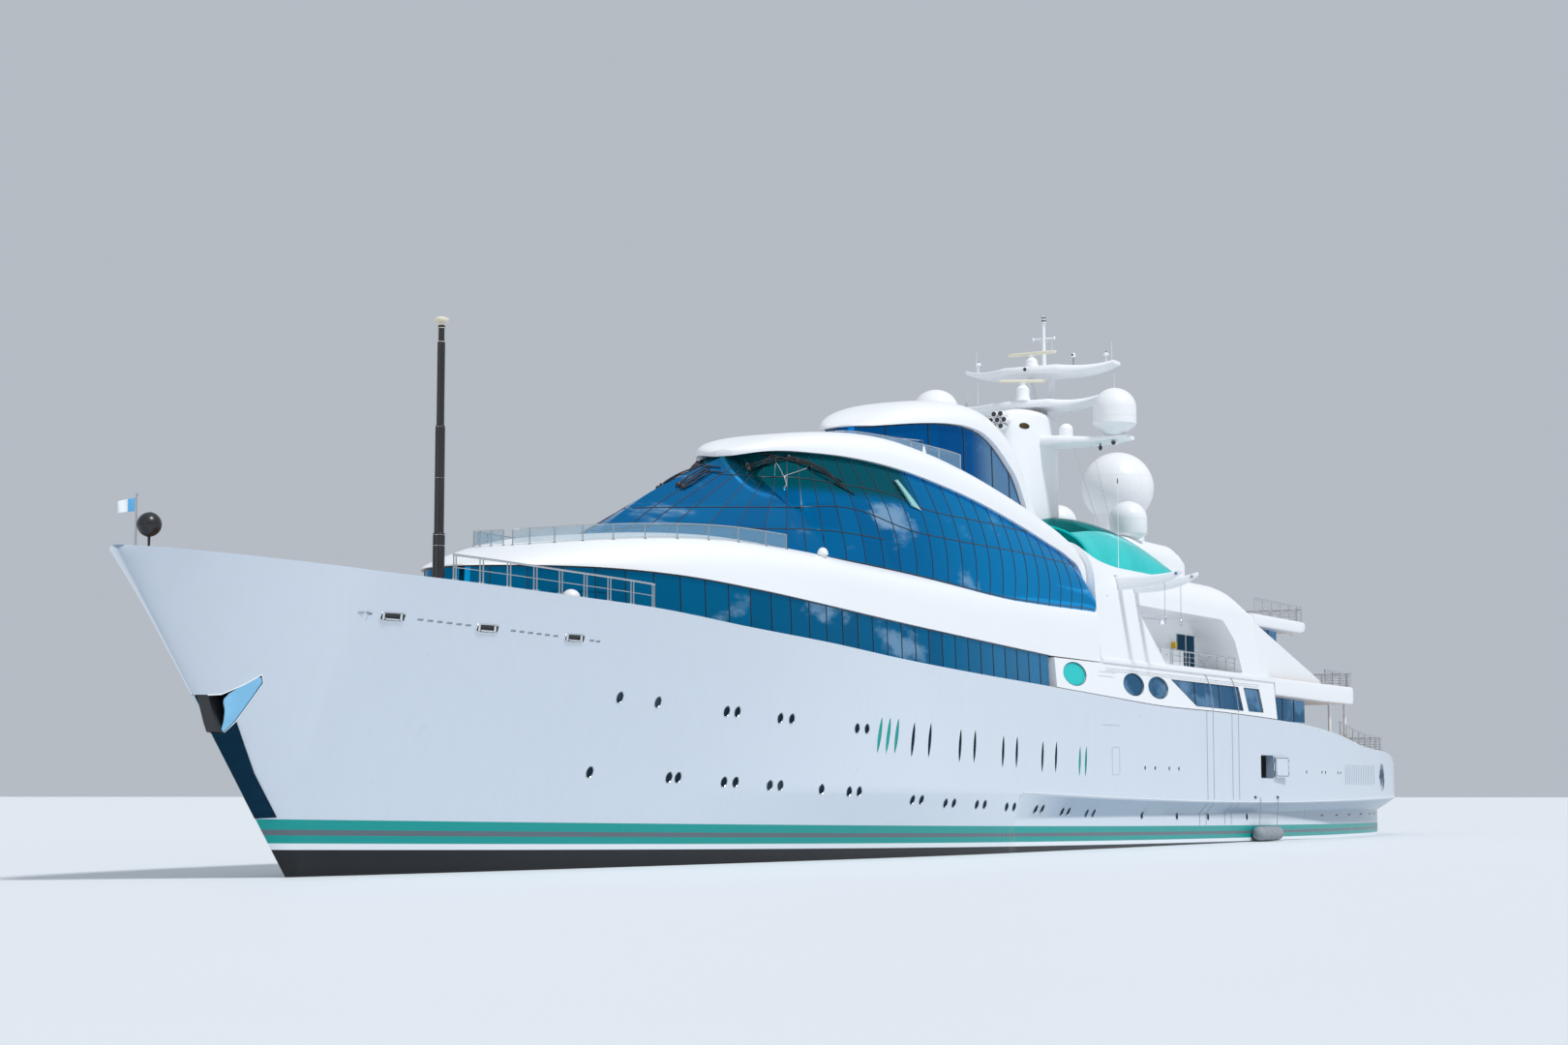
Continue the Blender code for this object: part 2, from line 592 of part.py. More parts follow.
def ring_prism(name, x0, x1, low, high, colour=WHITE):
    """House wall ring: outer sides lean in, walls are WALL thick, open above and below."""
    def rings(inset, drop, rise):
        out = []
        for x in np.linspace(x0 + inset, x1 - inset, 9):
            z0, z1 = low(x) - drop, high + rise
            y0, y1 = side_y(z0) - inset, side_y(z1) - inset
            out.append([(x, y0, z0), (x, y1, z1), (x, -y1, z1), (x, -y0, z0)])
        return out
    body = loft(name, rings(0.0, 0.0, 0.0), colour)
    cut(body, loft("cutter_" + name, rings(WALL, 0.1, 0.1)))
    return body


def window_outlines(shrink=0.0):
    """Outlines of the main house windows as (x, z) points, made smaller by shrink."""
    outlines = []
    for cx, cz, rx, rz in OVAL_WINDOWS:
        angles = [2 * math.pi * k / 24 for k in range(24)]
        outlines.append([(cx + (rx - shrink) * math.cos(a), cz + (rz - shrink) * math.sin(a)) for a in angles])
    for corners in FLAT_WINDOWS:
        cx, cz = np.mean(corners, axis=0)
        ratio = 1.0 - 25 * shrink
        outlines.append([(cx + (x - cx) * ratio, cz + (z - cz) * ratio) for x, z in corners])
    return outlines


def build_main_house():
    """Full-width white house on the main deck, with its windows and their glass."""
    house = ring_prism("main_house", HOUSE_AFT, HOUSE_FRONT - GAP, lambda x: curve(column(2), x) + 0.0046,
                       UPPER_UNDER - GAP)
    bm = bmesh.new()
    for outline in window_outlines():
        prism_into(bm, outline, -1.0, 1.0)
    cut(house, add("cutter_windows", bm))
    for side, side_name in ((1, "port"), (-1, "starboard")):
        bm = bmesh.new()
        inner = side_y(0.95) - WALL - 0.012
        box_into(bm, (-3.19, min(side * inner, side * (inner - 0.008)), 0.90),
                 (0.30, max(side * inner, side * (inner - 0.008)), 0.99))
        strip = add("side_glass_" + side_name, bm, GREY_GLASS, 0.08)
        bm = bmesh.new()
        for outline in window_outlines(GAP):
            prism_into(bm, outline, side * (inner - 0.004), side * 0.718)
        fuse(strip, bm, "panes")


def build_upper_deck():
    """Upper deck slab: thin over the house, with a deep rim where it overhangs the after deck."""
    rings = []
    for x, under in ((-5.46, 1.00), (-5.44, 0.970), (-5.30, 0.962), (-4.50, 0.962), (-3.47, 0.972),
                     (-3.46, UPPER_UNDER), (-2.0, UPPER_UNDER), (BAND_AFT - GAP, UPPER_UNDER)):
        y = min(curve(column(1), x) + 0.004, side_y(UPPER_FLOOR) + 0.012)
        y -= 0.10 * max((-5.30 - x) / 0.16, 0.0)**2
        top = UPPER_FLOOR - 0.02 * (x < -5.45)
        rings.append([(x, y, under), (x, y, top), (x, -y, top), (x, -y, under)])
    loft("upper_deck", rings)


def house_rings(grow=0.0):
    """Cross sections of the upper house: leaning sides, rounded shoulders and a flat roof."""
    rings = []
    for x in (UPPER_AFT, -3.05, -2.83, -2.65, -2.2, -1.7, -1.0, -0.80, -0.58, -0.45, -0.31):
        crown = curve(HOUSE_CROWN, x) + grow
        if -2.66 < x < -0.99:
            crown = ROOF + grow
        shoulder = min(1.46, crown - 0.06)
        half, flat = side_y(shoulder) + grow, 0.46
        side = arch(x, half - flat, shoulder, crown, 2.4, 5)
        low = UPPER_FLOOR + GAP
        section = [(0.0, low), (side_y(low) + grow, low)] + [(y + flat, z) for y, z in side]
        rings.append(both_sides(x, section + [(0.0, crown)]))
    return rings


def build_upper_house():
    """White upper house with an inner cavity, boat bays on both sides and slots for the davits."""
    house = loft("upper_house", house_rings())
    bm = bmesh.new()
    box_into(bm, (UPPER_AFT + 0.05, -0.40, 0.9), (-0.36, 0.40, ROOF - 0.05))
    cut(house, add("cutter_house_cavity", bm))
    bm = bmesh.new()
    for side in (-1, 1):
        prism_into(bm, [(x, z) for x, z in BAY], side * BAY_BACK, side * 0.95)
    cut(house, add("cutter_bays", bm))
    bm = bmesh.new()
    for x in DAVIT_X:
        for side in (-1, 1):
            box_into(bm, (x - 0.036, min(side * 0.10, side * 0.9), DAVIT_Z - 0.0414),
                     (x + 0.036, max(side * 0.10, side * 0.9), DAVIT_Z + 0.046))
    cut(house, add("cutter_davit_slots", bm))


# Top house, canopy and after block


def top_plan(x, inset=0.0):
    """Plan of the top house glass."""
    return oval(x, 1.46 - inset, 0.45, 0.405 - inset)


def top_roof_rings(grow=0.0):
    """Cross sections of the top house roof, which comes down to the deck at its after end."""
    rings = []
    for x in stations(-0.25, 1.485, 18):
        half = max(oval(x, 1.49, 0.45, 0.425), 0.006) + grow
        base = curve(TOP_GLASS_HEAD, x) - grow
        base = min(base, curve(BAND_2_CROWN, x) - 0.06) if x < 0.04 else base
        crown = max(curve(TOP_CROWN, x), base + 0.008) + grow
        side = arch(x, half, base, crown, 2.7, 6)
        rings.append(both_sides(x, [(0.0, base)] + side))
    return stretched(rings, grow)


def build_top_house():
    """Glazed top house under a rounded white roof."""
    roof = loft("top_house_roof", top_roof_rings())
    cut(roof, loft("cutter_under_roof", band_2_rings(2 * GAP)))

    def rings(inset, drop, rise, tail, tip):
        out = []
        for x in stations(tail, tip, 18):
            y = max(top_plan(x, inset), 0.004)
            z0, z1 = curve(BAND_2_CROWN, x) - 0.05 - drop, curve(TOP_GLASS_HEAD, x) + rise
            out.append([(x, y, z0), (x, y * 0.97, z1), (x, -y * 0.97, z1), (x, -y, z0)])
        return out
    glass = loft("top_house_glass", rings(0.0, 0.0, 0.01, 0.055, 1.455), BLUE_GLASS, 0.08)
    cut(glass, loft("cutter_top_glass", rings(0.012, 0.3, 0.3, -0.1, 1.43)))
    cut(glass, loft("cutter_under_top_glass", band_2_rings(GAP)))
    cut(glass, loft("cutter_over_top_glass", top_roof_rings(GAP)))


def sun_rings(grow=0.0):
    """Cross sections of the block aft of the canopy, which carries the large domes."""
    rings = []
    for x, crown in ((SUN_X[0] - grow, 1.86), (-2.75, 1.905), (-2.66, SUN_TOP), (-2.3, SUN_TOP),
                     (-1.9, SUN_TOP), (SUN_X[1] + grow, 1.92)):
        side = arch(x, 0.13 + grow, 1.80, crown + grow, 2.2, 4)
        section = [(0.0, ROOF + GAP - 40 * grow), (0.35 + grow, ROOF + GAP - 40 * grow)]
        section += [(y + 0.22, z) for y, z in side] + [(0.0, crown + grow)]
        rings.append(both_sides(x, section))
    return rings


def canopy_rings(inset=0.0, drop=0.0, stretch=0.0):
    """Cross sections of the glass vault behind the tower."""
    rings = []
    for x in stations(-0.72, -2.40 + inset, 12):
        base, crown = curve(HOUSE_CROWN, x) - 0.02 - drop, curve(CANOPY_CROWN, x) - inset
        crown = max(crown, base + 0.03 + drop)
        side = arch(x, 0.50 - inset, base, crown, 2.2, 6)
        rings.append(both_sides(x + stretch * (x > -0.73), [(0.0, base)] + side))
    return rings


def grown_house():
    """Cutter that trims what stands on the upper house roof."""
    rings = house_rings(GAP)
    rings[-1] = [(x + 0.02, y, z) for x, y, z in rings[-1]]
    return rings


def build_canopy_and_sun_house():
    """Teal glass vault and the white block that closes it aft."""
    loft("sun_house", sun_rings())
    glass = loft("canopy_glass", canopy_rings(), TEAL, 0.1)
    cut(glass, loft("cutter_canopy_base", grown_house()))
    cut(glass, loft("cutter_canopy", canopy_rings(0.014, 0.2, 0.05)))
    cut(glass, loft("cutter_canopy_block", sun_rings(GAP)))
    bm = bmesh.new()
    turned_tower(bm, GAP, -0.3)
    cut(glass, add("cutter_canopy_tower", bm))


# Tower and mast


def turned_tower(bm, grow=0.0, drop=0.0):
    """Elliptical tower with a domed head. Grown, it is a cutter."""
    rings = []
    rows = [(1.0, ROOF - 0.03 + drop), (1.0, 2.30), (0.985, TOWER_TOP)]
    rows += [(0.985 * math.cos(math.radians(t)), TOWER_TOP + 0.055 * math.sin(math.radians(t)))
             for t in (25, 50, 72, 86)]
    for share, z in rows:
        ring = []
        for k in range(28):
            t = 2 * math.pi * k / 28
            ring.append((TOWER_X + (TOWER_HALF[0] * share + grow) * math.cos(t),
                         (TOWER_HALF[1] * share + grow) * math.sin(t), z))
        rings.append(ring)
    loft_into(bm, rings)


def wing_rings(wing):
    """Sections of a platform across the ship: a flat centre, tapering to upswept tips."""
    name, cx, port, starboard, z, thick, chord, tip_chord, rise = wing
    rings = []
    for f in (-1.0, -0.86, -0.68, -0.35, 0.35, 0.68, 0.86, 1.0):
        y = f * (port if f > 0 else starboard)
        out = max(abs(f) - 0.35, 0.0) / 0.65
        half = chord + (tip_chord - chord) * out
        lift = rise * out**2.4
        depth = thick * (1 - 0.6 * out)
        back = cx - 0.06 * out
        low = [(back - half, y, z + lift + 0.3 * depth), (back - 0.7 * half, y, z + lift),
               (back + 0.7 * half, y, z + lift), (back + half, y, z + lift + 0.3 * depth)]
        high = [(back + half, y, z + lift + depth), (back - half, y, z + lift + depth)]
        rings.append(low + high)
    return rings


def build_mast():
    """Tower, its three wing platforms, the struts between them, the pole and the radar scanners."""
    bm = bmesh.new()
    turned_tower(bm)
    tower = add("tower", bm)
    cut(tower, loft("cutter_tower_base", grown_house()))
    for wing in WINGS:
        loft(wing[0], wing_rings(wing))
    bm = bmesh.new()
    low = WINGS[2]
    box_into(bm, (low[1] - 0.19, -0.50, low[4] - GAP), (low[1] + 0.19, 0.70, low[4] + low[5] + GAP))
    cut(tower, add("cutter_tower_wing", bm))


def strut_into(bm, foot, head, half_x, half_y):
    """Raked flat strut between two heights: foot and head are (x, y, z)."""
    rings = []
    for x, y, z in (foot, head):
        rings.append([(x - half_x, y - half_y, z), (x + half_x, y - half_y, z),
                      (x + half_x, y + half_y, z), (x - half_x, y + half_y, z)])
    loft_into(bm, rings)


def build_mast_fittings():
    """Struts between the platforms, the pole with its crosstree, and the two radar scanners."""
    top, middle = WINGS[0], WINGS[1]
    middle_top, top_deck = middle[4] + middle[5], top[4] + top[5]
    bm = bmesh.new()
    for side in (-1, 1):
        foot, head = (-1.245, side * 0.045, middle_top - 0.01), (-1.205, side * 0.075, top[4] - GAP)
        strut_into(bm, foot, head, 0.028, 0.010)
    fuse(bpy.data.objects[middle[0]], bm, "struts")
    bm = bmesh.new()
    strut_into(bm, (-1.22, 0.0, TOWER_TOP - 0.02), (-1.23, 0.0, middle[4] - GAP), 0.040, 0.050)
    fuse(bpy.data.objects["tower"], bm, "strut")
    bm = bmesh.new()
    profile = [(0.0135, top_deck + GAP), (0.009, 3.20), (0.014, 3.203), (0.014, 3.220), (0.008, 3.224),
               (0.010, 3.250), (0.004, 3.260)]
    turned_into(bm, (POLE_X, 0, 0), profile, 12)
    pole = add("mast_pole", bm)
    bm = bmesh.new()
    tube_into(bm, (POLE_X, -0.075, 3.118), (POLE_X, 0.075, 3.118), 0.0045, sides=8)
    fuse(pole, bm, "crosstree")
    scanners = (
        ("scanner_upper", SCANNER_UPPER, SCANNER_HALF[0], top_deck, top),
        ("scanner_lower", SCANNER_LOWER, SCANNER_HALF[1], middle_top, middle),
    )
    for name, centre, half, deck, wing in scanners:
        bm = bmesh.new()
        neck = centre[2] - 0.012
        turned_into(bm, (centre[0], centre[1], 0),
                    [(0.044, deck - 0.006), (0.042, neck - 0.014), (0.024, neck)], 16)
        fuse(bpy.data.objects[wing[0]], bm, name)
        bm = bmesh.new()
        box_into(bm, (-0.016, -half, 0.006), (0.016, half, 0.026))
        bar = add(name, bm, CREAM)
        bm = bmesh.new()
        turned_into(bm, (0, 0, 0), [(0.018, -0.012 + GAP), (0.018, 0.011)], 14)
        fuse(bar, bm, "bearing")
        for obj in (bar, bpy.data.objects[name + "_bearing"]):
            obj.location = centre
            obj.rotation_euler = (0, 0, math.radians(-4 if half > 0.16 else 24))


def build_domes():
    """Radomes: the big ball aft, its two neighbours, one on the mast wing, one on the top house."""
    bm = bmesh.new()
    ball_z, ball_r, foot_z = 2.31, 0.235, 2.135
    start = math.asin((foot_z - ball_z) / ball_r)
    profile = [(0.17, SUN_TOP + GAP), (0.17, SUN_TOP + 0.06), (0.155, foot_z - 0.004)]
    for k in range(13):
        t = start + (math.radians(86) - start) * k / 12
        profile.append((ball_r * math.cos(t), ball_z + ball_r * math.sin(t)))
    turned_into(bm, (-2.50, 0.0, 0.0), profile, 26)
    add("radome_big", bm)
    for side, side_name in ((1, "port"), (-1, "starboard")):
        bm = bmesh.new()
        foot = (-2.05, side * 0.24, SUN_TOP - 0.045)
        turned_into(bm, foot, [(0.06, 0.0), (0.06, 0.03), (0.118, 0.065), (0.120, 0.16)]
                    + dome_profile(0.120, 0.115, 5, 0.162), 20)
        dome = add("radome_" + side_name, bm)
        cut(dome, loft("cutter_base_" + side_name, sun_rings(GAP)))
    wing = WINGS[2]
    bm = bmesh.new()
    foot = (wing[1] - 0.01, 0.545, wing[4] + wing[5] + 0.004)
    turned_into(bm, foot, [(0.050, -0.0125), (0.085, 0.022), (0.128, 0.056), (0.130, 0.150)]
                + dome_profile(0.130, 0.125, 6, 0.152), 22)
    mast_dome = add("radome_mast", bm)
    cut(mast_dome, loft("cutter_mast_dome", grown_wing(wing)))
    bm = bmesh.new()
    turned_into(bm, (wing[1], 0.235, wing[4] + wing[5] - 0.006), [(0.042, 0), (0.042, 0.051)]
                + dome_profile(0.042, 0.038, 4, 0.052), 14)
    fuse(bpy.data.objects[wing[0]], bm, "small_dome")
    bm = bmesh.new()
    profile = [(0.125, 0.0), (0.125, 0.075)] + dome_profile(0.122, 0.105, 6, 0.080)
    turned_into(bm, (0.34, 0.0, 2.40), profile, 24)
    roof_dome = add("radome_roof", bm)
    cut(roof_dome, loft("cutter_roof_dome", top_roof_rings(2 * GAP)))


def grown_wing(wing):
    """Sections of a platform grown by the gap, to trim what stands on it."""
    rings = []
    for ring in wing_rings(wing):
        cx = sum(p[0] for p in ring) / len(ring)
        top = max(p[2] for p in ring)
        rings.append([(x + math.copysign(GAP, x - cx), y, z + (GAP if z > top - 1e-6 else -GAP))
                      for x, y, z in ring])
    return rings


def build_searchlights():
    """Cluster of lamps on an arm at the front of the tower."""
    x, z, pitch = -0.560, 2.520, 0.042
    bm = bmesh.new()
    arm = [(0.030, TOWER_X + 0.9905 * TOWER_HALF[0]), (0.052, x - 0.034), (0.052, x - 0.028)]
    turned_into(bm, (0, 0, z), arm, 18, "X")
    lamps = add("searchlights", bm)
    bm = bmesh.new()
    tube_into(bm, (x - 0.031, 0, z), (x + 0.035, 0, z), 0.0195, sides=12)
    for k in range(6):
        a = math.pi * k / 3 + 0.02
        y, h = pitch * math.cos(a), z + pitch * math.sin(a)
        tube_into(bm, (x - 0.031, y, h), (x + 0.035, y, h), 0.0195, sides=12)
    fuse(lamps, bm, "tubes")


# After decks

def build_third_deck():
    """Third deck aft of the upper house, the slanted house sides below it and the glass between them."""
    rings = []
    for x in (-4.53, -4.50, -4.30, -3.70, UPPER_AFT - GAP):
        y = third_half(x)
        top = 1.505 - 0.03 * (x < -4.51)
        under = 1.425 + 0.05 * max((-4.20 - x) / 0.33, 0.0)
        rings.append([(x, y, under), (x, y, top), (x, -y, top), (x, -y, under)])
    deck = loft("third_deck", rings)
    bm = bmesh.new()
    fin = [(UPPER_AFT - 0.002, UPPER_FLOOR + GAP), (-4.66, UPPER_FLOOR + GAP), (-4.60, UPPER_FLOOR + 0.03),
           (-3.24, 1.428), (-3.24, 1.44), (UPPER_AFT - 0.002, 1.44)]
    for side in (-1, 1):
        prism_into(bm, fin, side * 0.664, side * 0.694)
    fuse(deck, bm, "fins")
    saloons = (
        ("upper_saloon_glass", -3.95, UPPER_AFT - GAP, 0.60, UPPER_FLOOR, 1.425),
        ("main_saloon_glass", -4.50, HOUSE_AFT - GAP, 0.62, None, 0.962),
    )
    for name, x0, x1, half, low, high in saloons:
        bm = bmesh.new()
        low = curve(column(2), x0) + 0.0045 if low is None else low
        base = max(low, curve(column(2), x1) + 0.0046)
        outline = [(x0, -half), (x1, -half), (x1, half), (x0, half)]
        inner = [(x0 + 0.02, -half + 0.02), (x1 + 0.05, -half + 0.02), (x1 + 0.05, half - 0.02),
                 (x0 + 0.02, half - 0.02)]
        loft_into(bm, [[(x, y, z) for x, y in outline] for z in (base + GAP, high - GAP)])
        glass = add(name, bm, GREY_GLASS, 0.08)
        bm = bmesh.new()
        loft_into(bm, [[(x, y, z) for x, y in inner] for z in (base - 0.1, high + 0.1)])
        cut(glass, add("cutter_" + name, bm))
    bm = bmesh.new()
    for x in (-4.95, -5.33):
        for side in (-1, 1):
            foot = hull_deck(x, 0.66, 0.011) + GAP
            tube_into(bm, (x, side * 0.66, foot), (x, side * 0.66, 0.970), 0.011, sides=10)
    fuse(bpy.data.objects["upper_deck"], bm, "columns")


def build_rail(name, path, height, count, r=0.0042):
    """Rail along a path of deck points: a top bar with posts from the deck, joined as one body."""
    steps = [float(np.linalg.norm(np.subtract(b, a))) for a, b in zip(path, path[1:])]
    lengths = np.cumsum([0.0] + steps)
    places = [lengths[-1] * (k + 0.04 if k == 0 else k - 0.04 if k == count else k) / count
              for k in range(count + 1)]
    bm = bmesh.new()
    sweep_into(bm, [(x, y, z + height) for x, y, z in path], r)
    bar = add(name, bm, STEEL, 0.2, 1.0)
    bm = bmesh.new()
    for d in places:
        x, y, z = (float(np.interp(d, lengths, [p[i] for p in path])) for i in range(3))
        tube_into(bm, (x, y, z + GAP), (x, y, z + height + 0.3 * r), 0.8 * r, sides=4)
    fuse(bar, bm, "posts")


def third_half(x):
    """Half breadth of the third deck, drawn in at its after end."""
    return side_y(1.46) + 0.005 - 0.10 * max((-4.20 - x) / 0.33, 0.0)**2


def rail_path(x0, x1, floor, half, count=7):
    """Path of a rail on the port side from x0 to x1."""
    return [(x, half(x), floor(x)) for x in np.linspace(x0, x1, count)]


def build_rails():
    """Rails on the open decks: round the after ends, and along the sides at the foredeck and the bays."""
    def hull_floor(x):
        return hull_deck(x, 0.68, 0.006) + 0.0004

    round_the_end = [
        ("rail_third_deck", rail_path(-3.20, -4.46, lambda x: 1.505, lambda x: third_half(x) - 0.016), 20),
        ("rail_upper_deck", rail_path(-4.72, -5.40, lambda x: UPPER_FLOOR, lambda x: 0.70), 15),
        ("rail_main_deck", rail_path(-5.02, -6.44, hull_floor, lambda x: curve(column(1), x) - 0.025), 22),
    ]
    for name, port, count in round_the_end:
        x, y, z = port[-1]
        end = x - 0.03
        middle = z + (0.005 if name == "rail_main_deck" else 0.0)
        corner = [(end, y - 0.05, middle), (end, 0.05 - y, middle)]
        build_rail(name, port + corner + [(x, -y, z) for x, y, z in reversed(port)], 0.105, count)
    foredeck = rail_path(4.52, 5.74, hull_floor, lambda x: curve(column(1), x) - 0.0055, 9)
    bay = rail_path(-2.74, -1.52, lambda x: UPPER_FLOOR + 0.004, lambda x: side_y(1.16) - 0.02, 3)
    for side, side_name in ((1, "port"), (-1, "starboard")):
        build_rail("rail_foredeck_" + side_name, [(x, side * y, z) for x, y, z in foredeck], 0.095, 8)
        build_rail("rail_bay_" + side_name, [(x, side * y, z) for x, y, z in bay], 0.095, 7)


# Deck gear and things at the side


def build_davits():
    """Four boat davits that slide athwart in their slots, each with its wire and hook."""
    for side, side_name in ((1, "port"), (-1, "starboard")):
        for x, end_name in zip(DAVIT_X, ("fore", "aft")):
            bm = bmesh.new()
            rings = []
            for y, a, b, rise in DAVIT_RINGS:
                section = [(-a, -0.6 * b), (-0.6 * a, -b), (0.6 * a, -b), (a, -0.6 * b), (a, 0.6 * b),
                           (0.6 * a, b), (-0.6 * a, b), (-a, 0.6 * b)]
                rings.append([(u, side * (y - DAVIT_ROOT), v + rise) for u, v in section])
            loft_into(bm, rings)
            at = side * (HOOK_Y - DAVIT_ROOT)
            undersides = [row[3] - row[2] for row in DAVIT_RINGS]
            top = float(np.interp(HOOK_Y, [row[0] for row in DAVIT_RINGS], undersides)) - 0.0009
            davit = add("davit_%s_%s" % (side_name, end_name), bm)
            bm = bmesh.new()
            hook = [(0.005, -HOOK_DROP - 0.035), (0.009, -HOOK_DROP), (0.0025, -HOOK_DROP + 0.004),
                    (0.0025, 0.012)]
            turned_into(bm, (0, at, top), hook, 8)
            fuse(davit, bm, "hook")
            for obj in (davit, bpy.data.objects[davit.name + "_hook"]):
                obj.location = (x, side * DAVIT_ROOT, DAVIT_Z)


def build_side_door():
    """Boarding door on the port side, standing open on its after edge."""
    z0, z1 = DOOR_Z
    middle = 0.5 * (z0 + z1)
    axis_y = hull_half_breadth(DOOR_X[0], middle) + HINGE_R + 0.0008
    length = DOOR_X[1] - HINGE_X - 0.005
    bm = bmesh.new()
    box_into(bm, (0.0095, -0.0131, z0 - middle + 0.005), (length, -0.0012, z1 - middle - 0.005))
    leaf = add("side_door", bm)
    bm = bmesh.new()
    box_into(bm, (0.0, -0.003, -0.022), (0.022, 0.002, 0.022))
    fuse(leaf, bm, "strap")
    bm = bmesh.new()
    tube_into(bm, (0, 0, -0.03), (0, 0, 0.03), HINGE_R, sides=10)
    fuse(leaf, bm, "knuckle")
    for obj in (leaf, bpy.data.objects["side_door_strap"], bpy.data.objects["side_door_knuckle"]):
        obj.location = (HINGE_X, axis_y, middle)
        obj.rotation_euler = (0, 0, math.radians(DOOR_OPEN))


def build_fender():
    """Grey fender held against the side by two taut lines."""
    y = hull_half_breadth(FENDER_X, 0.09) + FENDER_R + 0.004
    z = 0.052
    bm = bmesh.new()
    ends = [(FENDER_R * math.sin(a), FENDER_R * (1 - math.cos(a))) for a in np.radians((12, 35, 62, 90))]
    profile = [(r, -FENDER_HALF - FENDER_R + h) for r, h in ends]
    profile += [(r, FENDER_HALF + FENDER_R - h) for r, h in reversed(ends)]
    turned_into(bm, (FENDER_X, y, z), profile, 16, "X")
    fender = add("fender", bm, (0.35, 0.37, 0.40), 0.6)
    bm = bmesh.new()
    for x in (FENDER_X - FENDER_HALF, FENDER_X + FENDER_HALF):
        top = hull_half_breadth(x, 0.283)
        rim = max(hull_half_breadth(x, 0.255), top) + 0.0035
        sweep_into(bm, [(x, top + 0.0025, 0.284), (x, rim, 0.276), (x, rim, 0.25), (x, y, z + 0.7 * FENDER_R)],
                   0.0022, 6)
    fuse(fender, bm, "lines")


def build_foremast():
    """Telescopic black mast on the foredeck: a base tube, a sliding middle tube and a sliding top rod."""
    # name, foot, head, outer radius, inner radius
    tubes = (("foremast_base", FOREMAST_FOOT + GAP, 1.36, 0.0246, 0.0207),
             ("foremast_middle", 0.95, 1.80, 0.0200, 0.0168))
    for name, low, high, outer, inner in tubes:
        bm = bmesh.new()
        outline = [(outer, 0), (outer, high - low), (inner, high - low), (inner, 0)]
        pipe_into(bm, (0, 0, 0), outline)
        obj = add(name, bm, BLACK, 0.35)
        obj.location = (FOREMAST_X, 0, low)
    bm = bmesh.new()
    profile = [(0.0158, 0), (0.0158, 0.80), (0.030, 0.812), (0.030, 0.838), (0.022, 0.850)]
    turned_into(bm, (0, 0, 0), profile, 12)
    top = add("foremast_top", bm, BLACK, 0.35)
    top.location = (FOREMAST_X, 0, 1.40)


def build_bow_gear():
    """Jackstaff, anchor ball, stem shoe and the polished web in the anchor pocket."""
    bm = bmesh.new()
    tube_into(bm, (6.955, 0, hull_deck(6.955, 0, 0.005) + GAP), (6.955, 0, 1.345), 0.0045, 0.003, 8)
    add("jackstaff", bm, STEEL, 0.2, 1.0)
    bm = bmesh.new()
    x, z, r = 6.885, 1.242, 0.043
    ball = [(r * math.sin(a), -r * math.cos(a)) for a in np.radians((8, 26, 48, 70, 90, 110, 132, 154, 172))]
    turned_into(bm, (x, 0, z), [(0.004, hull_deck(x, 0, 0.005) + GAP - z)] + ball, 16)
    add("anchor_ball", bm, BLACK, 0.5)
    pocket = [(6.600, 0.6581), (6.40, 0.660), (6.235, 0.735), (6.235, 0.715), (6.40, 0.560), (6.46, 0.515),
              (6.505, 0.514)]
    bm = bmesh.new()
    prism_into(bm, inset_outline(pocket, GAP), -0.012, 0.012)
    add("anchor_pocket", bm, (0.12, 0.35, 0.60), 0.1, 1.0)
    shoe = loft("stem_shoe", stem_rings(0.0045), (0.04, 0.10, 0.22), 0.1, 1.0)
    cut(shoe, loft("cutter_shoe_inside", stem_rings(0.0008)))
    bm = bmesh.new()
    high, low, reach = 0.497, 0.215, 0.12
    foot = STEM_WL + low / STEM_RISE
    head = STEM_WL + high / STEM_RISE
    outline = [(5.9, low - 0.2), (foot + 0.13, low - 0.2), (foot + 0.04, low), (foot - reach, low + 0.03),
               (head - reach, high), (7.3, high), (7.3, 1.3), (5.9, 1.3)]
    prism_into(bm, outline, -0.6, 0.6)
    cut(shoe, add("cutter_shoe_ends", bm))


def stem_rings(grow):
    """Hull sections round the stem, made larger by grow and closed at both ends outside the shoe."""
    rings = []
    for x in [s for s in HULL_STATIONS if 6.1 < s < 6.9]:
        section = [(y + grow if y > 0.0 else 0.0, z - (1.8 * grow if k == 0 else 0.0))
                   for k, (y, z) in enumerate(hull_section(x))]
        section[-1] = (0.0, section[-1][1] + grow)
        rings.append(both_sides(x, section))
    return rings


def build_foredeck_gear():
    """Two windlasses on one bed plate."""
    x, floor = 5.78, foot_height(5.78) + 0.0024
    drum = [(0.055, 0.004), (0.055, 0.022), (0.030, 0.030), (0.026, 0.055), (0.040, 0.066), (0.040, 0.078)]
    bm = bmesh.new()
    box_into(bm, (x - 0.07, -0.22, floor), (x + 0.07, 0.22, floor + 0.008))
    bed = add("windlasses", bm, STEEL, 0.25, 1.0)
    bm = bmesh.new()
    for side in (-1, 1):
        turned_into(bm, (x, side * 0.15, floor), drum, 14)
    fuse(bed, bm, "drums")


# Running gear


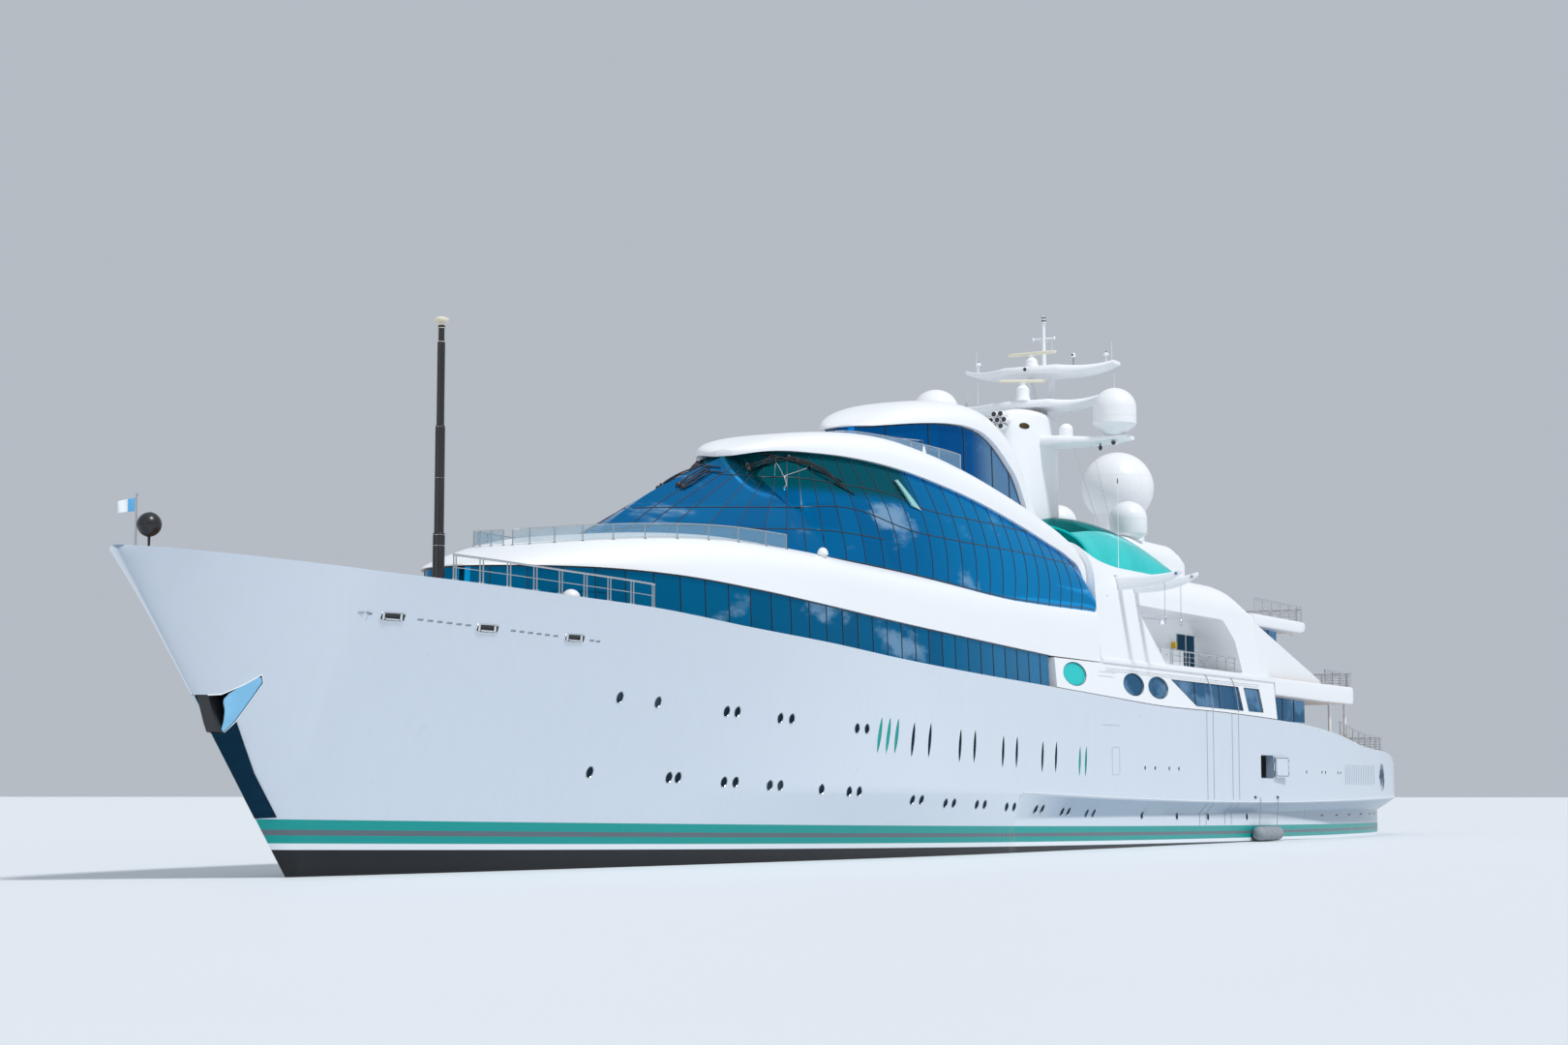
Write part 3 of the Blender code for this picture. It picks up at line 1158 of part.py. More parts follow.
def build_running_gear():
    """Twin shafts with propellers, their brackets, and twin rudders."""
    for side, side_name in ((1, "port"), (-1, "starboard")):
        bm = bmesh.new()
        boss = [(0.022, -0.035), (0.022, 0.035), (SHAFT_R + 2 * GAP, 0.035), (SHAFT_R + 2 * GAP, -0.035)]
        pipe_into(bm, (BRACKET_X, side * SHAFT_Y, PROPELLER_Z), boss, 12, "X")
        bracket = add("shaft_bracket_" + side_name, bm, BRONZE, 0.35, 1.0)
        bm = bmesh.new()
        box_into(bm, (BRACKET_X - 0.025, side * SHAFT_Y - 0.006, PROPELLER_Z + 0.018),
                 (BRACKET_X + 0.025, side * SHAFT_Y + 0.006, -0.1604))
        fuse(bracket, bm, "arm")
        bm = bmesh.new()
        profile = [(SHAFT_R, SHAFT_START - PROPELLER_X - GAP), (SHAFT_R, 0.045), (0.028, 0.045), (0.030, 0.0),
                   (0.022, -0.045), (0.006, -0.065)]
        turned_into(bm, (0, 0, 0), profile, 12, "X")
        propeller = add("propeller_" + side_name, bm, BRONZE, 0.3, 1.0)
        bm = bmesh.new()
        for k in range(5):
            blade_into(bm, 2 * math.pi * (k + 0.07) / 5, side)
        fuse(propeller, bm, "blades")
        for obj in (propeller, bpy.data.objects[propeller.name + "_blades"]):
            obj.location = (PROPELLER_X, side * SHAFT_Y, PROPELLER_Z)
        bm = bmesh.new()
        rings = []
        for z, nose, tail in RUDDER_SECTIONS:
            section = [(nose, 0.0), (0.7 * nose, 0.010), (0.0, 0.013), (0.6 * tail, 0.008), (tail, 0.002)]
            ring = [(x, y, z + 0.35) for x, y in section]
            ring += [(x, -y, z + 0.35) for x, y in reversed(section[1:])]
            rings.append(ring)
        loft_into(bm, rings)
        rudder = add("rudder_" + side_name, bm, HULL_GREY, 0.4)
        bm = bmesh.new()
        tube_into(bm, (0, 0, 0.10), (0, 0, STOCK_TOP + 0.35), SHAFT_R, sides=12)
        fuse(rudder, bm, "stock")
        for obj in (rudder, bpy.data.objects[rudder.name + "_stock"]):
            obj.location = (RUDDER_X, side * SHAFT_Y, -0.35)


def blade_into(bm, turn, hand):
    """One propeller blade: a flat rounded plate set at a fixed pitch."""
    pitch, thick = math.radians(32), 0.005
    radial = np.array((0.0, math.cos(turn), math.sin(turn)))
    around = np.array((0.0, -math.sin(turn), math.cos(turn))) * hand
    chord_way = around * math.cos(pitch) + np.array((1.0, 0.0, 0.0)) * math.sin(pitch)
    across = np.cross(radial, chord_way)
    rings = []
    for r, chord in ((0.018, 0.026), (0.050, 0.060), (0.090, 0.076), (0.122, 0.058), (0.138, 0.024)):
        ring = []
        for u, v in ((-0.5, -0.5), (0.5, -0.5), (0.5, 0.5), (-0.5, 0.5)):
            ring.append(tuple(radial * r + chord_way * (u * chord) + across * (v * thick)))
        rings.append(ring)
    loft_into(bm, rings)


def main():
    """Build everything."""
    for obj in list(bpy.data.objects):
        bpy.data.objects.remove(obj, do_unlink=True)
    build_hull()
    build_lower_glass()
    build_band_1()
    build_upper_glass()
    build_band_2()
    build_main_house()
    build_upper_deck()
    build_upper_house()
    build_top_house()
    build_canopy_and_sun_house()
    build_mast()
    build_mast_fittings()
    build_domes()
    build_searchlights()
    build_third_deck()
    build_rails()
    build_davits()
    build_side_door()
    build_fender()
    build_foremast()
    build_bow_gear()
    build_foredeck_gear()
    build_running_gear()


main()
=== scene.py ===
# %% [markdown]
# # A motor yacht from numpy surfaces
# The yacht in the photograph is 141 m long. It is built here as a 1:10 scale model, so one metre in this file
# is ten metres on the real ship. X runs to the bow, Y to port and Z up, and the origin is on the waterline
# amidships. The engineering model is loaded first as a fixed frame, and everything below is fitted to it.

# %% Load the frame
import math
import bpy
import bmesh
import numpy as np
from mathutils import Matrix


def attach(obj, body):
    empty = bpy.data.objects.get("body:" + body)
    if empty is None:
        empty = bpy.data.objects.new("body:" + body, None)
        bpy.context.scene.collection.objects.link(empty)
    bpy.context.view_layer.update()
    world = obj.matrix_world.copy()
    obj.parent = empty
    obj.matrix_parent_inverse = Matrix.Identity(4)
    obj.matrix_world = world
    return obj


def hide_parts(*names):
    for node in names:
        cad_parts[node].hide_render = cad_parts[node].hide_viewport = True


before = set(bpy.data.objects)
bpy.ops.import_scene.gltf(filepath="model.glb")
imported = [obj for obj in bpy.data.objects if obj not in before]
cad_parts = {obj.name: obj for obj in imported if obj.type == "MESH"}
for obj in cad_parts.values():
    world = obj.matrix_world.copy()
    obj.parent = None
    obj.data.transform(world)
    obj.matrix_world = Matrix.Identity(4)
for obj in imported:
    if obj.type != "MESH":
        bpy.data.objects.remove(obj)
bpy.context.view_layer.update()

# %% [markdown]
# A shipyard draws a hull as sections: one outline at each place along the length. A surface through them is
# a grid of points p[i, j], where i runs along the ship and j runs round the section. It could be modelled by
# hand with loops and extrusions, but a grid that is worked out from a formula stays fair, and the same
# formula gives the frames and trim that lie on it. The class below gathers such grids for one piece, and
# never visits one point at a time.

# %% A piece made of grids
def curve(table, x):
    """Smooth line through rows (x, value): between two rows a cubic whose end slopes come from the neighbours."""
    xs, values = np.array(table, float).T
    slopes = np.gradient(values, xs)
    x = np.clip(x, xs[0], xs[-1])
    i = np.clip(np.searchsorted(xs, x, side="right") - 1, 0, len(xs) - 2)
    h = xs[i + 1] - xs[i]
    t = (x - xs[i]) / h
    start = (2 * t**3 - 3 * t**2 + 1) * values[i] + (t**3 - 2 * t**2 + t) * h * slopes[i]
    return start + (3 * t**2 - 2 * t**3) * values[i + 1] + (t**3 - t**2) * h * slopes[i + 1]


class Shape:
    """Points and faces of one piece, gathered surface by surface."""

    def __init__(self):
        self.points, self.faces, self.uvs, self.count = [], [], [], 0

    def grid(self, p, round_i=False, round_j=False, ends=False, uv=None):
        """Four-sided faces between neighbours of p[i, j]. A round direction meets itself; ends closes i."""
        p = np.asarray(p, float)
        rows, columns = p.shape[:2]
        index = np.arange(rows * columns).reshape(rows, columns) + self.count
        here = index if round_i else index[:-1]
        there = np.roll(index, -1, 0) if round_i else index[1:]
        last = columns if round_j else columns - 1
        a, d = here[:, :last], there[:, :last]
        b, c = np.roll(here, -1, 1)[:, :last], np.roll(there, -1, 1)[:, :last]
        self.faces += np.stack([a, b, c, d], -1).reshape(-1, 4).tolist()
        if ends:
            self.faces += [index[0, ::-1].tolist(), index[-1].tolist()]
        self.points.append(p.reshape(-1, 3))
        self.uvs.append(np.zeros((rows * columns, 2)) if uv is None else np.asarray(uv, float).reshape(-1, 2))
        self.count += rows * columns
        return self

    def tube(self, start, end, r0, r1=None, sides=16):
        """Round bar or cone: circles of radius r0 and r1 at the two ends, joined."""
        return self.sweep([start, end], [r0, r0 if r1 is None else r1], sides)

    def sweep(self, path, r, sides=8, closed=False):
        """Bar along a path: at each point a circle of radius r, square to the path's direction there."""
        path = np.asarray(path, float)
        r = np.broadcast_to(np.asarray(r, float), len(path))
        step = np.roll(path, -1, 0) - np.roll(path, 1, 0)
        if not closed:
            step[0], step[-1] = path[1] - path[0], path[-1] - path[-2]
        step /= np.linalg.norm(step, axis=1, keepdims=True)
        upright = np.abs(step[:, 2]).mean() > 0.8
        side = np.cross(step, (1.0, 0.0, 0.0) if upright else (0.0, 0.0, 1.0))
        side /= np.linalg.norm(side, axis=1, keepdims=True)
        up = np.cross(side, step)
        t = 2 * np.pi * (np.arange(sides) + 0.5) / sides
        ring = side[:, None] * np.cos(t)[None, :, None] + up[:, None] * np.sin(t)[None, :, None]
        return self.grid(path[:, None] + ring * r[:, None, None], closed, True, not closed)

    def turned(self, centre, profile, sides=32, axis="Z"):
        """Turned body: each (radius, distance) row of the profile is a circle round the axis."""
        r, h = np.array(profile, float).T
        t = 2 * np.pi * np.arange(sides) / sides
        u, v = r[:, None] * np.cos(t), r[:, None] * np.sin(t)
        h = np.broadcast_to(h[:, None], u.shape)
        parts = {"X": (h, u, v), "Y": (u, h, v), "Z": (u, v, h)}[axis]
        return self.grid(np.stack(parts, -1) + np.asarray(centre, float), False, True, True)

    def prism(self, outline, y0, y1):
        """An (x, z) outline carried straight across from y0 to y1."""
        x, z = np.array(outline, float).T
        return self.grid([np.stack([x, np.full_like(x, y), z], -1) for y in (y0, y1)], False, True, True)

    def box(self, low, high):
        """Block between two corners."""
        (x0, y0, z0), (x1, y1, z1) = low, high
        return self.prism([(x0, z0), (x1, z0), (x1, z1), (x0, z1)], y0, y1)

    def strip(self, path, out, width, height):
        """Flat bar along a path: width across it, height along the directions out, with its foot on the path."""
        path, out = np.asarray(path, float), np.asarray(out, float)
        step = np.gradient(path, axis=0)
        step /= np.linalg.norm(step, axis=1, keepdims=True)
        out = np.broadcast_to(out, path.shape)
        out = out / np.linalg.norm(out, axis=1, keepdims=True)
        side = np.cross(step, out)
        side /= np.linalg.norm(side, axis=1, keepdims=True)
        corners = [(-0.5, -0.3), (0.5, -0.3), (0.4, 1.0), (-0.4, 1.0)]
        ring = np.stack([path + side * (a * width) + out * (b * height) for a, b in corners], 1)
        return self.grid(ring, False, True, True)

    def mirrored(self):
        """Add the starboard twin of everything gathered so far, by changing the sign of y."""
        twin = [p * (1.0, -1.0, 1.0) for p in self.points]
        self.faces += [[v + self.count for v in face] for face in self.faces]
        self.points += twin
        self.uvs += list(self.uvs)
        self.count *= 2
        return self

    def moved(self, offset=(0, 0, 0), turn=0.0, about=(0, 0)):
        """Turn everything about an upright line through (x, y), then shift it."""
        c, s = math.cos(turn), math.sin(turn)
        matrix = np.array([[c, s, 0.0], [-s, c, 0.0], [0.0, 0.0, 1.0]])
        pivot = np.array([about[0], about[1], 0.0])
        self.points = [(p - pivot) @ matrix + pivot + np.asarray(offset, float) for p in self.points]
        return self

    def mesh(self, name, material=None, sharp=35.0):
        """Write the gathered arrays into a mesh object, with faces outwards and only the hard corners sharp."""
        data = bpy.data.meshes.new(name)
        data.from_pydata(np.concatenate(self.points).tolist(), [], self.faces)
        uv = np.concatenate(self.uvs)
        if np.ptp(uv) > 0:
            corner = np.zeros(len(data.loops), np.int32)
            data.loops.foreach_get("vertex_index", corner)
            data.uv_layers.new(name="UVMap").data.foreach_set("uv", uv[corner].ravel())
        bm = bmesh.new()
        bm.from_mesh(data)
        bmesh.ops.recalc_face_normals(bm, faces=bm.faces)
        bm.to_mesh(data)
        bm.free()
        data.shade_smooth()
        data.set_sharp_from_angle(angle=math.radians(sharp))
        obj = bpy.data.objects.new(name, data)
        bpy.context.collection.objects.link(obj)
        if material:
            data.materials.append(material)
        return obj

    def piece(self, name, material, slot, body="ship", stands_for=(), sharp=35.0):
        """Make the mesh and fit it to the ship: its body, its finish and the frame nodes that it stands for."""
        return fit(self.mesh(name, material, sharp), body, stands_for)


pieces = {}


def fit(obj, body="ship", stands_for=()):
    """Tie an object to a body, hide the frame nodes that it stands for, and note its size."""
    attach(obj, body)
    if stands_for:
        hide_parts(*stands_for)
    pieces[obj.name] = len(obj.data.polygons)
    return obj


def carve(obj, *tools, sharp=35.0):
    """Cut shapes out of an object with exact Booleans, then keep only the result."""
    cutters = [tool.mesh("tool_%d" % k) for k, tool in enumerate(tools)]
    for cutter in cutters:
        modifier = obj.modifiers.new(cutter.name, "BOOLEAN")
        modifier.operation = "DIFFERENCE"
        modifier.solver = "EXACT"
        modifier.object = cutter
    graph = bpy.context.evaluated_depsgraph_get()
    data = bpy.data.meshes.new_from_object(obj.evaluated_get(graph))
    obj.modifiers.clear()
    obj.data = data
    data.shade_smooth()
    data.set_sharp_from_angle(angle=math.radians(sharp))
    for cutter in cutters:
        bpy.data.objects.remove(cutter, do_unlink=True)
    pieces[obj.name] = len(data.polygons)
    return obj


def both_sides(x, y, z):
    """Full rings from half sections: y and z are [station, point], from the centreline below to the one above."""
    x = np.broadcast_to(np.asarray(x, float)[:, None], y.shape)
    port = np.stack([x, y, z], -1)
    return np.concatenate([port, port[:, -2:0:-1] * (1.0, -1.0, 1.0)], 1)


def closer(x0, x1, count):
    """Stations from x0 to x1 that crowd together towards x1: x0 + (x1 - x0) sin of a quarter turn."""
    return x0 + (x1 - x0) * np.sin(0.5 * np.pi * np.linspace(0, 1, count))


def side_points(base, *rows):
    """Stack columns that are numbers or arrays into [station, point]."""
    return np.stack([np.broadcast_to(np.asarray(row, float), base.shape) for row in rows], 1)


# %% [markdown]
# The photographer stood on another boat, close to the water and off the port bow, so the bow looms and
# the stern is small. The lens is long: about 62 mm on a full frame. The camera is at the same place here, three
# metres above the waterline of the real ship. The floor is the plane of the waterline, so the underwater hull
# lies below it. One large soft light stands in for the bright sky over the photographer's shoulder.

# %% Camera and light
EYE = (14.15, 6.37, 0.302)
HEADING, PITCH = math.radians(180 + 28.0), math.radians(5.75)
LENS, FILM = 62.22, 36.0


def stage_scene():
    """Camera, pale sky and the lights."""
    scene = bpy.context.scene
    data = bpy.data.cameras.new("camera")
    data.lens, data.sensor_width = LENS, FILM
    data.clip_end = 2000.0
    camera = bpy.data.objects.new("camera", data)
    camera.location = EYE
    camera.rotation_euler = (math.pi / 2 + PITCH, 0.0, HEADING - math.pi / 2)
    scene.collection.objects.link(camera)
    scene.camera = camera
    scene.view_settings.view_transform = "Standard"
    world = bpy.data.worlds.new("sky")
    world.use_nodes = True
    scene.world = world
    background = world.node_tree.nodes["Background"]
    background.inputs["Color"].default_value = (0.84, 0.91, 1.0, 1.0)
    background.inputs["Strength"].default_value = 0.55
    for name, energy, size, place, aim in (
            ("key", 2.3, 8.0, (3.0, 10.0, 17.0), (0.0, 0.0, 0.6)),
            ("bow_fill", 0.25, 30.0, (20.0, -4.0, 6.0), (3.0, 0.0, 0.8))):
        light = bpy.data.lights.new(name, "SUN")
        light.energy, light.angle = energy, math.radians(size)
        lamp = bpy.data.objects.new(name, light)
        lamp.location = place
        way = np.subtract(aim, place)
        across = math.hypot(way[0], way[1])
        lamp.rotation_euler = (math.pi / 2 - math.atan2(-way[2], across), 0.0, math.atan2(way[1], way[0]) - math.pi / 2)
        scene.collection.objects.link(lamp)


stage_scene()
print("camera", EYE, "lens", LENS)

# %% [markdown]
# A finish is never one flat colour: paint has a slight orange peel and dries unevenly, steel is brushed and
# glass mirrors the sky. Painting such things by hand would take an image for every piece. Procedural nodes
# work the pattern out at each point instead, so it is sharp at any distance. What several finishes share
# is a node group, built once. It gives out only colours, masks and heights, and each finish keeps its own
# Principled shader, with its fixed values set on the shader itself.

# %% Node helpers
SOCKETS = {"value": "NodeSocketFloat", "colour": "NodeSocketColor", "vector": "NodeSocketVector"}


def node(tree, kind, inputs=None, **settings):
    """Place a node. Settings are its options; inputs are fixed values, or sockets to link."""
    made = tree.nodes.new("ShaderNode" + kind)
    for key, value in settings.items():
        setattr(made, key, value)
    for key, value in (inputs or {}).items():
        if isinstance(value, bpy.types.NodeSocket):
            tree.links.new(value, made.inputs[key])
        else:
            made.inputs[key].default_value = value
    return made


def maths(tree, operation, *values):
    """One arithmetic step on numbers or sockets."""
    return node(tree, "Math", dict(enumerate(values)), operation=operation).outputs[0]


def mix(tree, share, a, b):
    """Colour a where share is 0 and colour b where it is 1."""
    return node(tree, "Mix", {0: share, 6: a, 7: b}, data_type="RGBA").outputs[2]


def polynomial(tree, x, table, degree):
    """Height of a line at x: np.polyfit finds the polynomial through the table, and nested steps work it out."""
    factors = np.polyfit(*np.array(table).T, degree)
    total = float(factors[0])
    for factor in factors[1:]:
        total = maths(tree, "MULTIPLY_ADD", x, total, float(factor))
    return total


def steps(tree, share, rows):
    """Bands with hard edges: rows are (start, colour)."""
    made = node(tree, "ValToRGB", {0: share})
    made.color_ramp.interpolation = "CONSTANT"
    marks = made.color_ramp.elements
    while len(marks) < len(rows):
        marks.new(0.5)
    for mark, (start, colour) in zip(marks, rows):
        mark.position, mark.color = start, colour
    return made.outputs[0]


def group(name, inputs, outputs):
    """Empty node group with named sockets."""
    tree = bpy.data.node_groups.new(name, "ShaderNodeTree")
    for way, sockets in (("INPUT", inputs), ("OUTPUT", outputs)):
        for label, kind in sockets.items():
            tree.interface.new_socket(label, in_out=way, socket_type=SOCKETS[kind])
    return tree, tree.nodes.new("NodeGroupInput").outputs, tree.nodes.new("NodeGroupOutput").inputs


def placed(tree, shared, inputs):
    """A shared group inside a material, with this material's own values."""
    made = tree.nodes.new("ShaderNodeGroup")
    made.node_tree = shared
    for key, value in inputs.items():
        if isinstance(value, bpy.types.NodeSocket):
            tree.links.new(value, made.inputs[key])
        else:
            made.inputs[key].default_value = value
    return made.outputs


def finish(name, **fixed):
    """A material whose fixed values sit on its own shader. Gives back the material, its tree and its shader."""
    material = bpy.data.materials.new(name)
    material.use_nodes = True
    tree = material.node_tree
    shader = tree.nodes["Principled BSDF"].inputs
    for label, value in fixed.items():
        shader[label.replace("_", " ")].default_value = value
    return material, tree, shader


def place_of(tree, output="Object"):
    """Where on the piece a point lies."""
    return node(tree, "TexCoord").outputs[output]


# %% [markdown]
# Three effects are shared. Breakup is the slow unevenness of any painted or moulded surface. Runs are the faint
# upright streaks that rain leaves on a ship's side. Panes give each pane of a glazed wall its own tone, because
# no two panes lie at quite the same angle to the sky, and put soft cloud shapes on it, a painted reflection of the
# sky's clouds.

# %% Shared effects
def make_breakup():
    """Colour = mix of two colours by slow noise; roughness and height from finer noise."""
    tree, given, out = group(
        "Breakup",
        {"Vector": "vector", "Colour": "colour", "Other Colour": "colour", "Amount": "value", "Scale": "value",
         "Roughness": "value", "Spread": "value"},
        {"Colour": "colour", "Roughness": "value", "Height": "value"})
    slow = node(tree, "TexNoise", {"Vector": given["Vector"], "Scale": given["Scale"], "Detail": 5.0}).outputs[0]
    fine_scale = maths(tree, "MULTIPLY", given["Scale"], 14.0)
    fine = node(tree, "TexNoise", {"Vector": given["Vector"], "Scale": fine_scale, "Detail": 3.0}).outputs[0]
    share = maths(tree, "MULTIPLY", slow, given["Amount"])
    tree.links.new(mix(tree, share, given["Colour"], given["Other Colour"]), out["Colour"])
    centred = maths(tree, "SUBTRACT", maths(tree, "ADD", slow, fine), 1.0)
    tree.links.new(maths(tree, "MULTIPLY_ADD", centred, given["Spread"], given["Roughness"]), out["Roughness"])
    tree.links.new(maths(tree, "MULTIPLY_ADD", fine, 0.25, slow), out["Height"])
    return tree


def make_runs():
    """Mask of upright streaks: noise squeezed along the ship and drawn out downwards."""
    tree, given, out = group("Runs", {"Vector": "vector", "Amount": "value"}, {"Mask": "value"})
    squeezed = node(tree, "Mapping", {"Vector": given["Vector"], "Scale": (9.0, 9.0, 0.8)}).outputs[0]
    streak = node(tree, "TexNoise", {"Vector": squeezed, "Scale": 3.0, "Detail": 6.0, "Roughness": 0.6}).outputs[0]
    kept = node(tree, "MapRange", {0: streak, 1: 0.45, 2: 0.85}).outputs[0]
    tree.links.new(maths(tree, "MULTIPLY", kept, given["Amount"]), out["Mask"])
    return tree


def make_panes():
    """Tone per pane from the whole part of UV, and cloud shapes, a painted reflection of the sky, from two octaves of
    noise with a soft edge.
    """
    tree, given, out = group(
        "Panes",
        {"Vector": "vector", "UV": "vector", "Deep": "colour", "Bright": "colour", "Cloud": "colour",
         "Pane Amount": "value", "Cloud Amount": "value", "Cloud Edge": "value"},
        {"Colour": "colour", "Tone": "value"})
    cell = node(tree, "VectorMath", {0: given["UV"]}, operation="FLOOR").outputs[0]
    tone = node(tree, "TexWhiteNoise", {0: cell}, noise_dimensions="3D").outputs[0]
    share = maths(tree, "MULTIPLY", tone, given["Pane Amount"])
    base = mix(tree, share, given["Deep"], given["Bright"])
    shift = node(tree, "TexWhiteNoise", {0: cell}, noise_dimensions="3D").outputs[1]
    nudged = node(tree, "VectorMath", {0: shift, 1: (0.06, 0.06, 0.05), 2: given["Vector"]},
                  operation="MULTIPLY_ADD").outputs[0]
    flat = node(tree, "Mapping", {"Vector": nudged, "Scale": (1.0, 1.0, 2.6)}).outputs[0]
    # Painted reflection: soft cloud shapes mixed into the glass colour stand for clouds mirrored in the panes.
    cloud = node(tree, "TexNoise", {"Vector": flat, "Scale": 1.5, "Detail": 7.0, "Roughness": 0.55}).outputs[0]
    edge = maths(tree, "ADD", given["Cloud Edge"], 0.10)
    mask = node(tree, "MapRange", {0: cloud, 1: given["Cloud Edge"], 2: edge}, interpolation_type="SMOOTHSTEP")
    covered = maths(tree, "MULTIPLY", mask.outputs[0], given["Cloud Amount"])
    tree.links.new(mix(tree, covered, base, given["Cloud"]), out["Colour"])
    tree.links.new(tone, out["Tone"])
    return tree


breakup, runs, panes = make_breakup(), make_runs(), make_panes()
print("shared effects", [g.name for g in (breakup, runs, panes)])

# %% [markdown]
# The hull's stripes are straight bands of paint whose edges climb towards the bow. Cutting them into the mesh
# would tie them to its grid. Here a band is a share of the height between two lines, the top of the black
# boot-top and the top of the upper green band. Each line is a polynomial in x through heights that were measured
# along the hull, so the edges stay crisp.

# %% Paints
# heights of the two lines: x, z
STRIPE_TOP = [(6.40, 0.218), (5.12, 0.196), (2.535, 0.162), (-1.40, 0.116), (-3.25, 0.107), (-4.90, 0.100),
              (-7.0, 0.092)]
BLACK_TOP = [(6.40, 0.102), (5.12, 0.085), (3.86, 0.074), (2.535, 0.058), (0.00, 0.020), (-3.00, 0.004), (-7.0, 0.0)]
HULL_WHITE = (0.66, 0.725, 0.80, 1)
UPPER_WHITE = (0.87, 0.885, 0.90, 1)
LEDGE_LINE = [(-7.05, 0.290), (-5.0, 0.267), (-3.8, 0.258), (-2.3, 0.263), (-1.1, 0.278), (0.93, 0.317)]
# painted shade: slate blue for the side under the ledge aft, standing in for the shade and the sea mirrored under the
# overhang
UNDER_LEDGE_SHADE = (0.27, 0.365, 0.47, 1)
STRIPE_GREEN = (0.0, 0.31, 0.285, 1)
STRIPE_GREY = (0.115, 0.145, 0.175, 1)
BOOT_BLACK = (0.008, 0.009, 0.012, 1)
# share of the height between the two lines at which each band starts
BANDS = [(0.0, (0.80, 0.84, 0.88, 1)), (0.21, STRIPE_GREEN), (0.474, STRIPE_GREY), (0.658, STRIPE_GREEN)]


def painted(tree, shader, colour, other, scale, amount, roughness, spread, bump):
    """Give a shader the breakup of a painted surface, with a little relief."""
    got = placed(tree, breakup, {"Vector": place_of(tree), "Colour": colour, "Other Colour": other, "Amount": amount,
                                 "Scale": scale, "Roughness": roughness, "Spread": spread})
    tree.links.new(got["Roughness"], shader["Roughness"])
    relief = node(tree, "Bump", {"Strength": bump, "Distance": 0.0015, "Height": got["Height"]})
    tree.links.new(relief.outputs[0], shader["Normal"])
    return got["Colour"]


def make_hull_paint():
    """Hull paint: soft white with streaks, painted shade under the ledge aft and a painted reflection of the dark sea
    on the stem, then the bands between the two lines, then black below.
    """
    material, tree, shader = finish("hull_paint", IOR=1.36, Coat_Weight=0.35, Coat_Roughness=0.12)
    x, _, z = node(tree, "SeparateXYZ", {0: place_of(tree)}).outputs
    body = painted(tree, shader, HULL_WHITE, (0.60, 0.665, 0.75, 1), 0.7, 0.55, 0.30, 0.10, 0.01)
    mask = placed(tree, runs, {"Vector": place_of(tree), "Amount": 0.22})["Mask"]
    body = mix(tree, mask, body, (0.56, 0.61, 0.68, 1))
    # Painted shade: aft, between a low foot line and just under the ledge, the side is mixed to slate blue for the
    # shade and the sea mirrored under the overhang.
    foot = node(tree, "MapRange", {0: x, 1: -3.4, 2: -5.0, 3: 0.175, 4: 0.095}).outputs[0]
    over = node(tree, "MapRange", {0: maths(tree, "SUBTRACT", z, foot), 1: -0.004, 2: 0.012}).outputs[0]
    under = node(tree, "MapRange", {0: maths(tree, "SUBTRACT", z, polynomial(tree, x, LEDGE_LINE, 3)), 1: -0.004, 2: -0.010})
    aft = node(tree, "MapRange", {0: x, 1: 0.93, 2: 0.2}).outputs[0]
    painted_ledge_shade = maths(tree, "MULTIPLY", maths(tree, "MULTIPLY", over, under.outputs[0]), aft)
    body = mix(tree, painted_ledge_shade, body, UNDER_LEDGE_SHADE)
    # Painted reflection: where the side faces forward, on the rounded stem, it is mixed towards dark slate for the dark
    # sea mirrored there.
    facing = node(tree, "SeparateXYZ", {0: node(tree, "NewGeometry").outputs["Normal"]}).outputs[0]
    stem = node(tree, "MapRange", {0: facing, 1: 0.55, 2: 0.95, 4: 0.75}, interpolation_type="SMOOTHSTEP").outputs[0]
    body = mix(tree, stem, body, (0.11, 0.19, 0.28, 1))
    black = maths(tree, "MAXIMUM", polynomial(tree, x, BLACK_TOP, 2), 0.0)
    top = polynomial(tree, x, STRIPE_TOP, 2)
    share = maths(tree, "DIVIDE", maths(tree, "SUBTRACT", z, black), maths(tree, "SUBTRACT", top, black))
    bands = steps(tree, share, BANDS)
    colour = mix(tree, maths(tree, "GREATER_THAN", share, 1.0), bands, body)
    colour = mix(tree, maths(tree, "LESS_THAN", share, 0.0), colour, BOOT_BLACK)
    tree.links.new(colour, shader["Base Color"])
    tree.links.new(maths(tree, "MULTIPLY", maths(tree, "GREATER_THAN", share, 1.0), 0.35), shader["Coat Weight"])
    return material


def make_paint(name, colour, other, roughness=0.3, scale=2.0, amount=0.5, spread=0.1, bump=0.04, streaks=0.0,
               **fixed):
    """Plain painted or moulded finish with breakup, and streaks where the weather reaches it."""
    material, tree, shader = finish(name, **fixed)
    body = painted(tree, shader, colour, other, scale, amount, roughness, spread, bump)
    if streaks:
        mask = placed(tree, runs, {"Vector": place_of(tree), "Amount": streaks})["Mask"]
        body = mix(tree, mask, body, (0.5, 0.52, 0.55, 1))
    tree.links.new(body, shader["Base Color"])
    return material


